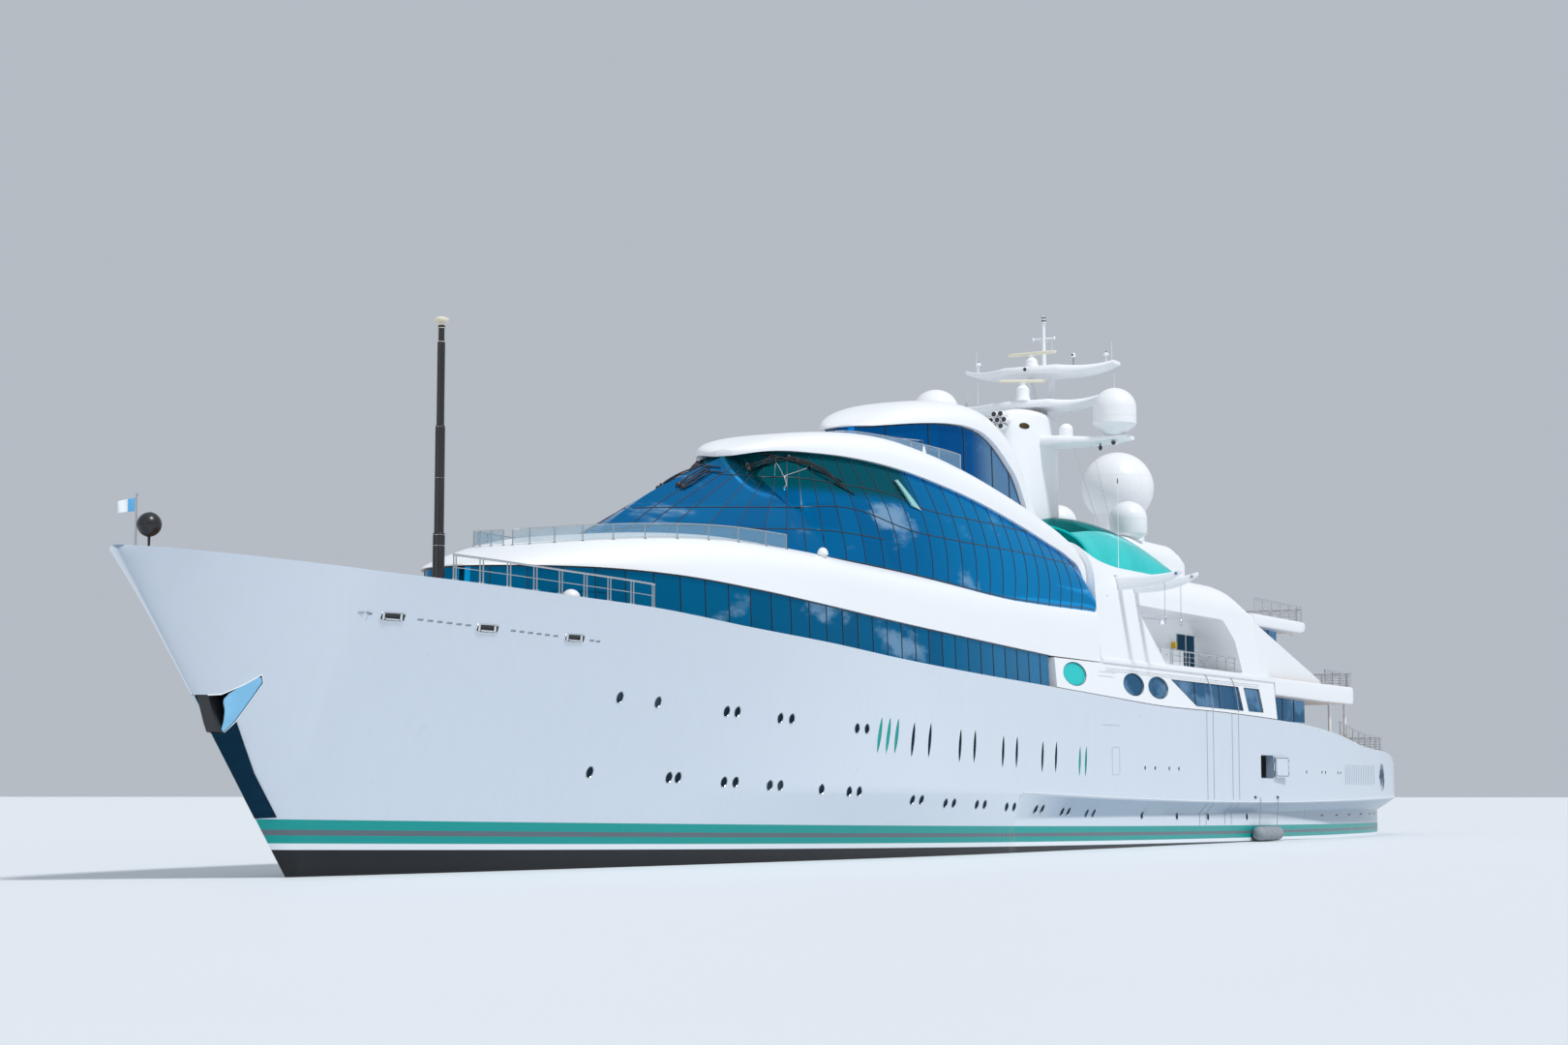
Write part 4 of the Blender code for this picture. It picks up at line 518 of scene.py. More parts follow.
hull_paint = make_hull_paint()
white_paint = make_paint("white_paint", UPPER_WHITE, (0.82, 0.845, 0.875, 1), 0.34, 1.2, 0.5, 0.0, 0.0, 0.03,
                         Coat_Weight=0.0)
dome_white = make_paint("dome_plastic", (0.84, 0.85, 0.86, 1), (0.77, 0.79, 0.81, 1), 0.36, 4.0, 0.5, 0.08, 0.008, 0.05)
cream = make_paint("cream_plastic", (0.80, 0.75, 0.60, 1), (0.70, 0.66, 0.54, 1), 0.38, 12.0)
black_paint = make_paint("black_paint", (0.012, 0.012, 0.014, 1), (0.03, 0.032, 0.036, 1), 0.33, 6.0, 0.6, 0.15, 0.06)
dark_trim = make_paint("dark_trim", (0.010, 0.022, 0.035, 1), (0.02, 0.035, 0.05, 1), 0.30, 20.0)
grey_rubber = make_paint("grey_rubber", (0.30, 0.33, 0.36, 1), (0.22, 0.24, 0.27, 1), 0.62, 18.0, 0.8, 0.2, 0.2, 0.2)
deck_grey = make_paint("deck_coating", (0.42, 0.45, 0.48, 1), (0.34, 0.37, 0.40, 1), 0.75, 30.0, 0.8, 0.1, 0.4)
floor_pale = make_paint("floor_pale", (0.74, 0.77, 0.80, 1), (0.70, 0.735, 0.77, 1), 0.55, 0.05, 0.5, 0.05, 0.0)
safety_yellow = make_paint("safety_yellow", (0.80, 0.50, 0.02, 1), (0.62, 0.36, 0.02, 1), 0.4, 30.0)
print("paints", len(bpy.data.materials))

# %% [markdown]
# Polished stainless steel is almost a mirror with fine scratches along the polish. The web plate and the shoe
# at the stem are given black and blue-black colours, a painted reflection of the dark sea that polished metal mirrors
# there. Cast bronze is warmer and duller in the hollows.
# Rust has crept over the plates of the anchor pocket where the chain rubs.

# %% Metals
def make_metal(name, colour, other, roughness, grain=(4.0, 4.0, 60.0), rust=0.0):
    """Metal with drawn-out noise for its polish, and rust where slow noise passes a limit."""
    material, tree, shader = finish(name, Metallic=1.0)
    drawn = node(tree, "Mapping", {"Vector": place_of(tree), "Scale": grain}).outputs[0]
    got = placed(tree, breakup, {"Vector": drawn, "Colour": colour, "Other Colour": other, "Amount": 0.7,
                                 "Scale": 3.0, "Roughness": roughness, "Spread": 0.5 * roughness})
    colour_out, rough_out = got["Colour"], got["Roughness"]
    if rust:
        patch = node(tree, "TexNoise", {"Vector": place_of(tree), "Scale": 16.0, "Detail": 8.0}).outputs[0]
        mask = node(tree, "MapRange", {0: patch, 1: 1.0 - rust, 2: 1.06 - rust}).outputs[0]
        colour_out = mix(tree, mask, colour_out, (0.26, 0.085, 0.025, 1))
        rough_out = maths(tree, "MULTIPLY_ADD", mask, 0.6, rough_out)
        tree.links.new(maths(tree, "SUBTRACT", 1.0, mask), shader["Metallic"])
    tree.links.new(colour_out, shader["Base Color"])
    tree.links.new(rough_out, shader["Roughness"])
    return material


steel = make_metal("steel", (0.62, 0.64, 0.66, 1), (0.50, 0.53, 0.56, 1), 0.16)
bright_steel = make_metal("bright_steel", (0.80, 0.82, 0.84, 1), (0.68, 0.70, 0.73, 1), 0.10)
# Painted reflection: the blue-black colour stands for the dark sea mirrored in the polished shoe at the stem.
dark_steel = make_metal("dark_steel", (0.008, 0.035, 0.065, 1), (0.003, 0.012, 0.026, 1), 0.14, (2.0, 2.0, 9.0))
blue_web = make_metal("blue_web", (0.10, 0.30, 0.55, 1), (0.03, 0.12, 0.30, 1), 0.14, (3.0, 3.0, 6.0), 0.42)
pocket_plate = make_metal("pocket_plate", (0.30, 0.62, 0.86, 1), (0.16, 0.40, 0.62, 1), 0.20, (3.0, 3.0, 6.0), 0.36)
bronze = make_metal("bronze", (0.50, 0.34, 0.15, 1), (0.33, 0.21, 0.10, 1), 0.30, (9.0, 9.0, 9.0))
brass = make_metal("brass", (0.66, 0.50, 0.20, 1), (0.48, 0.34, 0.13, 1), 0.24, (9.0, 9.0, 9.0))

# %% [markdown]
# The glazing of this ship is reflective: it mirrors the sky in deep blue and hides the rooms. Clear glass with
# nothing behind it would look empty here, so each pane is a dark glossy sheet whose tone, clouds and tint are
# worked out in its colour; the clouds and the paler glass aft are painted reflections of the sky. The panes differ
# by the whole number of their UV, which counts window frames.

# %% Glazing
EDGE_TINT = (0.40, 0.68, 0.95, 1)


def make_glazing(name, deep, bright, cloud, pane_amount, cloud_amount, edge, roughness=0.05, metallic=0.8,
                 lift=None, tint=None):
    """Reflective glass with painted cloud reflections. lift brightens it aft by x, a painted reflection of brighter
    sky; tint colours a zone between limits of x and z.
    """
    material, tree, shader = finish(name, Metallic=metallic, Coat_Weight=0.0, Specular_IOR_Level=0.35, IOR=1.45, Specular_Tint=EDGE_TINT,
                                    Transmission_Weight=0.0)
    x, _, z = node(tree, "SeparateXYZ", {0: place_of(tree)}).outputs
    got = placed(tree, panes, {"Vector": place_of(tree), "UV": place_of(tree, "UV"), "Deep": deep, "Bright": bright,
                               "Cloud": cloud, "Pane Amount": pane_amount, "Cloud Amount": cloud_amount,
                               "Cloud Edge": edge})
    colour = got["Colour"]
    # Painted reflection: lift mixes the colour aft towards a paler blue, for the brighter sky mirrored in the glass
    # there.
    if lift:
        (x0, x1), lifted = lift
        aft = node(tree, "MapRange", {0: x, 1: x0, 2: x1}, interpolation_type="SMOOTHSTEP").outputs[0]
        colour = mix(tree, aft, colour, mix(tree, 0.60, colour, lifted))
    if tint:
        (x0, x1, x2, x3), (z0, z1), tinted = tint
        fore = node(tree, "MapRange", {0: x, 1: x3, 2: x2}, interpolation_type="SMOOTHSTEP").outputs[0]
        aft = node(tree, "MapRange", {0: x, 1: x0, 2: x1}, interpolation_type="SMOOTHSTEP").outputs[0]
        high = node(tree, "MapRange", {0: z, 1: z0, 2: z1}, interpolation_type="SMOOTHSTEP").outputs[0]
        colour = mix(tree, maths(tree, "MULTIPLY", maths(tree, "MULTIPLY", fore, aft), high), colour, tinted)
    tree.links.new(colour, shader["Base Color"])
    tree.links.new(maths(tree, "MULTIPLY_ADD", got["Tone"], 0.03, roughness), shader["Roughness"])
    return material


SKY_BLUE, DEEP_BLUE, CLOUD_REFLECTION = (0.0, 0.27, 0.60, 1), (0.0, 0.165, 0.42, 1), (0.40, 0.62, 0.84, 1)
upper_glazing = make_glazing("upper_glazing", DEEP_BLUE, SKY_BLUE, CLOUD_REFLECTION, 0.45, 0.85, 0.57,
                             lift=((2.4, 0.6), (0.0, 0.42, 0.86, 1)),
                             tint=((1.80, 1.90, 2.75, 2.95), (1.735, 1.80), (0.0, 0.12, 0.15, 1)))
lower_glazing = make_glazing("lower_glazing", (0.0, 0.14, 0.30, 1), (0.0, 0.25, 0.50, 1), CLOUD_REFLECTION, 0.5, 0.7, 0.57,
                             lift=((2.2, 0.2), (0.16, 0.42, 0.68, 1)))
top_glazing = make_glazing("top_glazing", (0.0, 0.10, 0.34, 1), (0.0, 0.19, 0.55, 1), CLOUD_REFLECTION, 0.4, 0.4, 0.58,
                           lift=((0.75, 0.45), (0.34, 0.52, 0.66, 1)))
grey_glazing = make_glazing("grey_glazing", (0.05, 0.13, 0.24, 1), (0.16, 0.28, 0.42, 1), CLOUD_REFLECTION, 0.6, 0.5, 0.5)
turquoise_glazing = make_glazing("turquoise_glazing", (0.0, 0.58, 0.55, 1), (0.02, 0.70, 0.66, 1),
                                 (0.1, 0.8, 0.76, 1), 0.5, 0.3, 0.60, metallic=0.15)
dark_glazing = make_glazing("dark_glazing", (0.008, 0.014, 0.022, 1), (0.02, 0.035, 0.05, 1), (0.1, 0.14, 0.18, 1),
                            0.6, 0.3, 0.55)
deep_teal_glazing = make_glazing("deep_teal_glazing", (0.0, 0.19, 0.19, 1), (0.0, 0.24, 0.235, 1), (0.0, 0.34, 0.33, 1),
                                 0.5, 0.3, 0.55, metallic=0.95)
deep_teal_glazing.node_tree.nodes["Principled BSDF"].inputs["Specular Tint"].default_value = (0.0, 0.5, 0.5, 1)
green_slit_glazing = make_glazing("green_slit_glazing", (0.0, 0.30, 0.27, 1), (0.0, 0.44, 0.40, 1), (0.1, 0.6, 0.56, 1),
                                  0.5, 0.3, 0.55, metallic=0.1)
bronze_glazing = make_glazing("bronze_glazing", (0.05, 0.035, 0.02, 1), (0.16, 0.11, 0.05, 1), (0.4, 0.3, 0.16, 1), 0.6,
                              0.5, 0.5)
painted_lit_glazing = make_glazing("painted_lit_glazing", (0.0, 0.26, 0.62, 1), (0.02, 0.38, 0.75, 1), (0.3, 0.62, 0.9, 1), 0.5,
                              0.4, 0.5, metallic=0.1)
slate_glazing = make_glazing("slate_glazing", (0.16, 0.24, 0.34, 1), (0.24, 0.33, 0.44, 1), (0.4, 0.5, 0.6, 1), 0.6,
                             0.4, 0.5, metallic=0.1)
clear_rail = make_glazing("clear_rail", (0.25, 0.42, 0.52, 1), (0.35, 0.52, 0.60, 1), (0.6, 0.72, 0.78, 1), 0.4, 0.4,
                          0.5, metallic=0.0)
clear_rail.node_tree.nodes["Principled BSDF"].inputs["Alpha"].default_value = 0.28


# %% [markdown]
# The open decks are laid with teak: narrow planks along the ship with dark caulking between them. On the real
# deck a plank is about 60 mm wide, so it is 6 mm here. The plank's number is the whole part of y over its
# width, which gives each plank its own tone, and the caulking is where the rest is close to an edge.

# %% Teak
PLANK = 0.0075


def make_teak():
    """Planks along x: tone by plank number and drawn-out grain, dark lines at the plank edges."""
    material, tree, shader = finish("teak", IOR=1.45)
    place = place_of(tree)
    x, y, z = node(tree, "SeparateXYZ", {0: place}).outputs
    across = maths(tree, "DIVIDE", y, PLANK)
    number = maths(tree, "FLOOR", across)
    tone = node(tree, "TexWhiteNoise", {1: number}, noise_dimensions="1D").outputs[0]
    grain = node(tree, "Mapping", {"Vector": place, "Scale": (4.0, 60.0, 60.0)}).outputs[0]
    got = placed(tree, breakup, {"Vector": grain, "Colour": (0.42, 0.27, 0.15, 1), "Other Colour": (0.28, 0.17, 0.09, 1),
                                 "Amount": 0.8, "Scale": 3.0, "Roughness": 0.6, "Spread": 0.15})
    toned = mix(tree, maths(tree, "MULTIPLY", tone, 0.45), got["Colour"], (0.50, 0.36, 0.24, 1))
    edge = maths(tree, "LESS_THAN", maths(tree, "FRACT", across), 0.10)
    tree.links.new(mix(tree, edge, toned, (0.03, 0.025, 0.02, 1)), shader["Base Color"])
    tree.links.new(got["Roughness"], shader["Roughness"])
    return material


teak = make_teak()
print("finishes", sorted(m.name for m in bpy.data.materials)[:40])

# %% [markdown]
# A steel hull is plated over frames, and each frame's outline is a section. Between the keel and the waterline
# the section is a round bilge. Above it the side flares out to the deck edge, and aft it steps out over a long
# ledge that the tenders come alongside. Forward of the waterline's end each section is a narrow
# blade that meets the raked stem. The same tables as the engineering model's give a much finer grid here.

# %% The hull's sections
# x, top edge half breadth, top edge height, waterline half breadth, keel height
HULL_TABLE = np.array([
    (-7.05, 0.500, 0.440, 0.380, -0.060), (-7.00, 0.545, 0.500, 0.410, -0.070),
    (-6.85, 0.590, 0.575, 0.450, -0.090), (-6.60, 0.630, 0.618, 0.500, -0.120),
    (-6.20, 0.675, 0.638, 0.560, -0.180), (-5.60, 0.715, 0.662, 0.610, -0.270),
    (-5.00, 0.738, 0.726, 0.645, -0.360), (-4.30, 0.750, 0.775, 0.670, -0.450),
    (-3.40, 0.750, 0.805, 0.685, -0.500), (-2.40, 0.750, 0.823, 0.690, -0.500),
    (-1.20, 0.750, 0.832, 0.695, -0.500), (-0.20, 0.750, 0.865, 0.695, -0.500),
    (0.60, 0.750, 0.892, 0.690, -0.500), (1.50, 0.750, 0.921, 0.665, -0.500),
    (2.40, 0.748, 0.958, 0.590, -0.500), (3.10, 0.735, 0.998, 0.510, -0.500),
    (3.80, 0.702, 1.032, 0.415, -0.500), (4.50, 0.650, 1.074, 0.315, -0.500),
    (5.10, 0.585, 1.092, 0.220, -0.500), (5.50, 0.530, 1.104, 0.140, -0.500),
    (5.80, 0.480, 1.112, 0.075, -0.350), (6.05, 0.432, 1.118, 0.018, -0.055),
    (6.30, 0.372, 1.128, 0.0, 0.0), (6.55, 0.300, 1.137, 0.0, 0.0),
    (6.78, 0.212, 1.146, 0.0, 0.0), (6.95, 0.120, 1.153, 0.0, 0.0), (7.04, 0.030, 1.158, 0.0, 0.0),
])
LEDGE = [(-7.05, 0.290), (-5.0, 0.267), (-3.8, 0.258), (-2.3, 0.263), (-1.1, 0.278), (0.93, 0.317)]
STEM_FOOT, STEM_RISE = 6.096, 1.214
LEDGE_FRONT = 0.93
FLARE = 1.12
BULWARK = 0.011


def hull_line(x, column):
    """One column of the hull table at x: 1 is the top edge's half breadth, 2 its height, 3 the waterline's."""
    return curve(HULL_TABLE[:, (0, column)], x)


def side_at(x, z):
    """Half breadth of the hull's side: waterline plus flare, (z / top)^1.12 forward, full at the ledge aft."""
    x, z = np.broadcast_arrays(np.asarray(x, float), np.asarray(z, float))
    water = np.maximum(hull_line(x, 3), 0.006)
    top_y, top_z, ledge = hull_line(x, 1), hull_line(x, 2), curve(LEDGE, x)
    full = np.clip((4.2 - x) / (4.2 - LEDGE_FRONT), 0, 1)
    full = full * full * (3 - 2 * full)
    straight = (np.maximum(z, 0) / top_z)**FLARE
    bulged = np.clip(z / ledge, 0, 1)**FLARE
    y = water + (top_y - water) * (straight + (bulged - straight) * full)
    y = np.where((x < LEDGE_FRONT - 0.01) & (z < ledge - 0.013), np.minimum(y, water + 0.002 + (
        np.maximum(z - 0.19, 0) / (ledge - 0.202)) * (top_y - water - 0.006)), y)
    share = np.clip((z - (x - STEM_FOOT) * STEM_RISE) / (top_z - (x - STEM_FOOT) * STEM_RISE), 0, 1)
    return np.where(x > STEM_FOOT, top_y * share**0.82, y)


def side_out(x, z, step=0.01):
    """Direction square to the hull's side, from its slopes along x and z."""
    x, z = np.broadcast_arrays(np.asarray(x, float), np.asarray(z, float))
    along = (side_at(x + step, z) - side_at(x - step, z)) / (2 * step)
    upward = (side_at(x, z + step) - side_at(x, z - step)) / (2 * step)
    out = np.stack([-along, np.ones_like(along), -upward], -1)
    return out / np.linalg.norm(out, axis=-1, keepdims=True)


def hull_rings(x):
    """Bilge points with a power of sine and cosine, then side points from the waterline to the top edge."""
    water, keel, top_z = np.maximum(hull_line(x, 3), 0.006), hull_line(x, 4), hull_line(x, 2)
    fullness = 1.15 + 0.75 * np.clip((4.8 - x) / 3.0, 0, 1)
    a = np.linspace(0, 1, 12)[None, :-1] * np.pi / 2
    power = (1.3 / fullness)[:, None]
    low_y, low_z = water[:, None] * np.sin(a)**power, keel[:, None] * np.cos(a)**power
    ledge = curve(LEDGE, x)
    under = np.linspace(0, 0.19, 5)[None] * np.ones_like(ledge)[:, None]
    lip = np.stack([ledge - 0.012, ledge], 1)
    upper = ledge[:, None] + (top_z - ledge)[:, None] * np.linspace(0, 1, 19)[None, 1:]
    z = np.concatenate([under, lip, upper], 1)
    y = side_at(x[:, None] * np.ones_like(z), z)
    y, z = np.concatenate([low_y, y], 1), np.concatenate([low_z, z], 1)
    bow = x > STEM_FOOT
    base = ((x - STEM_FOOT) * STEM_RISE)[:, None]
    share = np.linspace(0, 1, y.shape[1])[None]**1.6
    blade_z = base + (top_z[:, None] - base) * share
    y = np.where(bow[:, None], hull_line(x, 1)[:, None] * share**0.82, y)
    z = np.where(bow[:, None], blade_z, z)
    crown = top_z + np.where(bow, 0.002, 0.004)
    y, z = np.append(y, 0 * crown[:, None], 1), np.append(z, crown[:, None], 1)
    y[:, 0] = 0
    return both_sides(x, y, z)


HULL_X = np.concatenate([
    closer(-6.6, -7.05, 14)[::-1], np.linspace(-6.6, 0.91, 110)[1:], np.linspace(0.93, 5.93, 90),
    [6.05], np.linspace(6.18, 6.84, 24), closer(6.86, 7.04, 8)])


def foot_height(x):
    """Height of the foredeck inside the bulwark."""
    forward = np.clip((x - 4.3) / 0.8, 0, 1)
    return hull_line(x, 2) - (0.042 + 0.058 * forward)


# %% [markdown]
# Openings are cut out of the plating once the shape is right: the foredeck lies in a shallow well behind a
# bulwark, the anchor is housed in a pocket that runs through the stem, a boarding door leads
# into the side, and the mooring lines leave through round ports at the stern. A Boolean with the exact
# solver is the plain way to do the same here.

# %% Cut the hull
FOREMAST = (5.15, 0.0)
DOOR_X, DOOR_Z, DOOR_DEPTH = (-3.34, -3.09), (0.415, 0.565), 0.12
MOORING = (-6.24, 0.44, 0.10)
# the mouth from the stem up to its tip and back down, as x and z
MOUTH = [(6.563, 0.658), (6.504, 0.694), (6.456, 0.731), (6.440, 0.702), (6.461, 0.633), (6.479, 0.567), (6.498, 0.523)]
POCKET = [(6.92, 0.655)] + MOUTH + [(6.90, 0.523)]
SHAFT_Y, SHAFT_Z, SHAFT_R = 0.30, -0.35, 0.012
BRACKET_X, RUDDER_X = -5.82, -6.34


def well_tool():
    """Foredeck well: the hull's plan less the bulwark, floor to above the rail."""
    x = np.concatenate([np.linspace(0.42, 6.42, 61), np.linspace(6.45, 6.84, 12)])
    floor = foot_height(x)
    y = np.minimum(hull_line(x, 1) - BULWARK, side_at(x, floor) - BULWARK * 0.6)
    top = hull_line(x, 2) + 0.1
    ring = np.stack([np.stack([x, y, floor], 1), np.stack([x, y, top], 1), np.stack([x, -y, top], 1),
                     np.stack([x, -y, floor], 1)], 1)
    return Shape().grid(ring, False, True, True)


def lower_tools():
    """Bores for the shafts, their brackets, the rudder stocks and the foremast."""
    tool = Shape()
    for side in (-1, 1):
        y = side * SHAFT_Y
        tool.tube((-4.6996, y, SHAFT_Z), (-5.60, y, SHAFT_Z), SHAFT_R + 0.0008)
        tool.box((BRACKET_X - 0.0254, y - 0.0064, -0.26), (BRACKET_X + 0.0254, y + 0.0064, -0.16))
        tool.tube((RUDDER_X, y, -0.19), (RUDDER_X, y, -0.0696), SHAFT_R + 0.0008)
    return tool.tube((*FOREMAST, 0.50), (*FOREMAST, 1.30), 0.0254, sides=32)


def side_tools():
    """The boarding door's recess, and mooring ports on both quarters."""
    x, z, r = MOORING
    tool = Shape().box((DOOR_X[0], 0.75 - DOOR_DEPTH, DOOR_Z[0]), (DOOR_X[1], 0.85, DOOR_Z[1]))
    t = np.linspace(0, 2 * np.pi, 48, endpoint=False)
    outline = np.stack([x + r * np.cos(t), z + r * np.sin(t)], 1)
    return tool.prism(outline, 0.50, 0.75).prism(outline, -0.50, -0.75)


def lay_decks(obj, rows):
    """Give upward faces inside a box another finish: rows are (finish, low x, high x, low z, high z, inset)."""
    data = obj.data
    count = len(data.polygons)
    middle, normal = np.zeros(count * 3), np.zeros(count * 3)
    data.polygons.foreach_get("center", middle)
    data.polygons.foreach_get("normal", normal)
    middle, normal = middle.reshape(-1, 3), normal.reshape(-1, 3)
    index = np.zeros(count, np.int32)
    for k, (material, x0, x1, z0, z1, half) in enumerate(rows):
        data.materials.append(material)
        inside = (middle[:, 0] > x0) & (middle[:, 0] < x1) & (middle[:, 2] > z0) & (middle[:, 2] < z1)
        index[inside & (normal[:, 2] > 0.93) & (np.abs(middle[:, 1]) < half)] = k + 1
    data.polygons.foreach_set("material_index", index)
    return obj


def paint_faces(obj, material, chosen):
    """Give the faces another finish where chosen, a rule on their middles and normals, says so."""
    data = obj.data
    count = len(data.polygons)
    middle, normal, index = np.zeros(count * 3), np.zeros(count * 3), np.zeros(count, np.int32)
    data.polygons.foreach_get("center", middle)
    data.polygons.foreach_get("normal", normal)
    data.polygons.foreach_get("material_index", index)
    data.materials.append(material)
    index[chosen(middle.reshape(-1, 3).T, normal.reshape(-1, 3).T)] = len(data.materials) - 1
    data.polygons.foreach_set("material_index", index)


def in_pocket(middle, upward):
    """Faces that line the anchor pocket: inside its box and not part of the plating."""
    x, y, z = middle
    return (x > 6.42) & (x < 6.7) & (z > 0.51) & (z < 0.74) & (np.abs(y) < side_at(x, z) - 0.003) & upward


def build_hull():
    """Loft the rings, cut the openings, lay teak on the open decks, and line the anchor pocket."""
    hull = Shape().grid(hull_rings(HULL_X), False, True, True).mesh("hull_shell", hull_paint)
    carve(hull, well_tool(), Shape().prism(POCKET, -0.4, 0.4), side_tools(), lower_tools())
    lay_decks(hull, [(teak, 0.3, 6.9, 0.80, 1.2, 0.70), (teak, -7.1, -3.3, 0.43, 0.9, 0.76)])
    # Painted shade: every face inside the anchor pocket gets black paint, standing in for the shade in the recess.
    paint_faces(hull, black_paint, lambda p, n: in_pocket(p, n[0] > -2))
    return fit(hull, "ship", ["hull"])


hull = build_hull()
print("hull faces", len(hull.data.polygons))

# %% [markdown]
# Above the hull the bow end is built in tiers like a folded leaf: a band of glass, a white deck with a
# rounded edge, a dome of glass, and a white brow over it. Each white deck is lofted from cross sections that are
# superellipses, (y / half)^n + ((z - base) / (crown - base))^n = 1. With n = 2 that is an ellipse, and a
# larger n gives the flat top and tight shoulder of a deck edge. A hand-shaped surface could match one view, but
# the formula also gives the height of the deck wherever something stands on it.

# %% Lines of the tiers
LOWER_GLASS_TOP = [(0.33, 1.058), (1.48, 1.102), (2.33, 1.137), (3.08, 1.173), (3.68, 1.209), (4.20, 1.238),
                   (4.60, 1.245), (5.05, 1.235)]
BAND_1_CROWN = [(-0.15, 1.462), (0.48, 1.446), (1.40, 1.428), (2.15, 1.426), (2.77, 1.434), (3.30, 1.450),
                (3.80, 1.462), (4.13, 1.442), (4.36, 1.412), (4.52, 1.382), (4.67, 1.345), (4.81, 1.303),
                (4.91, 1.272), (5.05, 1.240)]
UPPER_GLASS_TOP = [(-0.34, 1.468), (-0.28, 1.506), (-0.19, 1.586), (-0.04, 1.635), (0.28, 1.695), (0.77, 1.776),
                   (1.18, 1.843), (1.54, 1.894), (1.85, 1.934), (2.12, 1.958), (2.35, 1.968), (2.56, 1.970),
                   (2.75, 1.950), (2.86, 1.912), (3.27, 1.772), (3.53, 1.672), (3.74, 1.572), (4.00, 1.440)]
BAND_2_CROWN = [(-1.55, 1.662), (-1.00, 1.672), (-0.58, 1.700), (0.06, 1.860), (0.32, 1.915), (0.80, 2.000),
                (1.22, 2.070), (1.57, 2.115), (1.88, 2.135), (2.16, 2.120), (2.39, 2.088), (2.59, 2.044),
                (2.71, 2.004), (2.80, 1.966)]
GLASS = 0.016


def oval(x, nose, centre, half):
    """Half breadth of a plan: straight aft of centre, then half an ellipse, half * sqrt(1 - t^2), to the nose."""
    t = np.clip((np.asarray(x, float) - centre) / (nose - centre), 0, 1)
    return half * np.sqrt(1 - t * t)


def plan_a(x, inset=0.0):
    """Lower glass in plan."""
    return oval(x, 5.05 - inset, 2.85, 0.714 - inset)


def plan_b(x, inset=0.0):
    """Foot of the upper glass in plan."""
    return oval(x, 4.00 - inset, 0.80, 0.70 - inset)


def plan_c(x, inset=0.0):
    """Head of the upper glass in plan."""
    return oval(x, 2.73 - inset, 0.50, 0.62 - inset)


def arch(half, base, crown, power, count=28):
    """Superellipse from the deck edge to the centreline: half cos^(2/n), base + (crown - base) sin^(2/n)."""
    t = np.linspace(0, 1, count)[None] * np.pi / 2
    half, base, crown = (np.asarray(v, float)[:, None] * np.ones_like(t) for v in (half, base, crown))
    share = 2 / (np.asarray(power, float) * np.ones(len(half)))[:, None]
    return half * np.cos(t)**share, base + (crown - base) * np.sin(t)**share


def band_power(x):
    """The first deck is a soft ellipse at the bow and has a tight shoulder aft."""
    return 2.2 + 3.6 * np.clip((4.6 - x) / 1.6, 0, 1)


def deck_height(x, y):
    """Top of the first white deck at x and y, from the same superellipse."""
    x, y = np.broadcast_arrays(np.asarray(x, float), np.asarray(y, float))
    base, crown, power = curve(LOWER_GLASS_TOP, x), curve(BAND_1_CROWN, x), band_power(x)
    share = np.clip(np.abs(y) / (plan_a(x) + 0.006), 0, 1)
    return base + (crown - base) * np.maximum(1 - share**power, 0)**(1 / power)


def banded(name, x, half, base, crown, power, material, stands_for):
    """A white deck: a flat underside and an arched top at every station."""
    y, z = arch(half, base, crown, power)
    y = np.concatenate([np.zeros((len(x), 1)), y[:, :1] * 0.985, y], 1)
    z = np.concatenate([z[:, :1], z[:, :1], z], 1)
    y[:, -1] = 0
    shape = Shape().grid(both_sides(x, y, z), False, True, True)
    return shape.piece(name, material, "white_paint", "ship", stands_for, sharp=50)


band_x = np.concatenate([[-0.309], np.linspace(0.40, 4.4, 80), closer(4.43, 5.045, 34)])
banded("deck_band", band_x, np.maximum(plan_a(band_x) + 0.006, 0.006), curve(LOWER_GLASS_TOP, band_x),
       np.maximum(curve(BAND_1_CROWN, band_x), curve(LOWER_GLASS_TOP, band_x) + 0.004), band_power(band_x),
       white_paint, ["band_1"])
brow_x = np.concatenate([np.linspace(-0.30, 2.2, 60), closer(2.23, 2.795, 34)])
brow_base = np.minimum(curve(UPPER_GLASS_TOP, brow_x), 1.968)
banded("brow_band", brow_x, np.maximum(oval(brow_x, 2.80, 0.50, 0.645), 0.006), brow_base,
       np.maximum(curve(BAND_2_CROWN, brow_x), brow_base + 0.012), 3.4 + 0 * brow_x, white_paint, ["band_2"])
print("decks", pieces["deck_band"], pieces["brow_band"])

# %% [markdown]
# The lower tier of glass is upright and bends round the bow end in plan. Its grid runs along the plan's outline:
# straight sides, then points round the ellipse. Frames stand about 1.6 m apart on the real ship. Each
# one is a slim bar with its foot on the glass, because at this scale a painted line would look flat from the side.

# %% Lower tier of glass
PITCH = 0.158


def lower_outline(count_straight=60, count_round=120):
    """Plan points from the port side aft, round the bow end, to the starboard side aft, and distances along."""
    straight = np.linspace(0.43, 2.85, count_straight)
    t = np.linspace(0, np.pi, count_round)[1:-1]
    x = np.concatenate([straight, 2.85 + 2.198 * np.sin(t), straight[::-1]])
    y = np.concatenate([0.714 + 0 * straight, 0.714 * np.cos(t), -0.714 + 0 * straight])
    return x, y


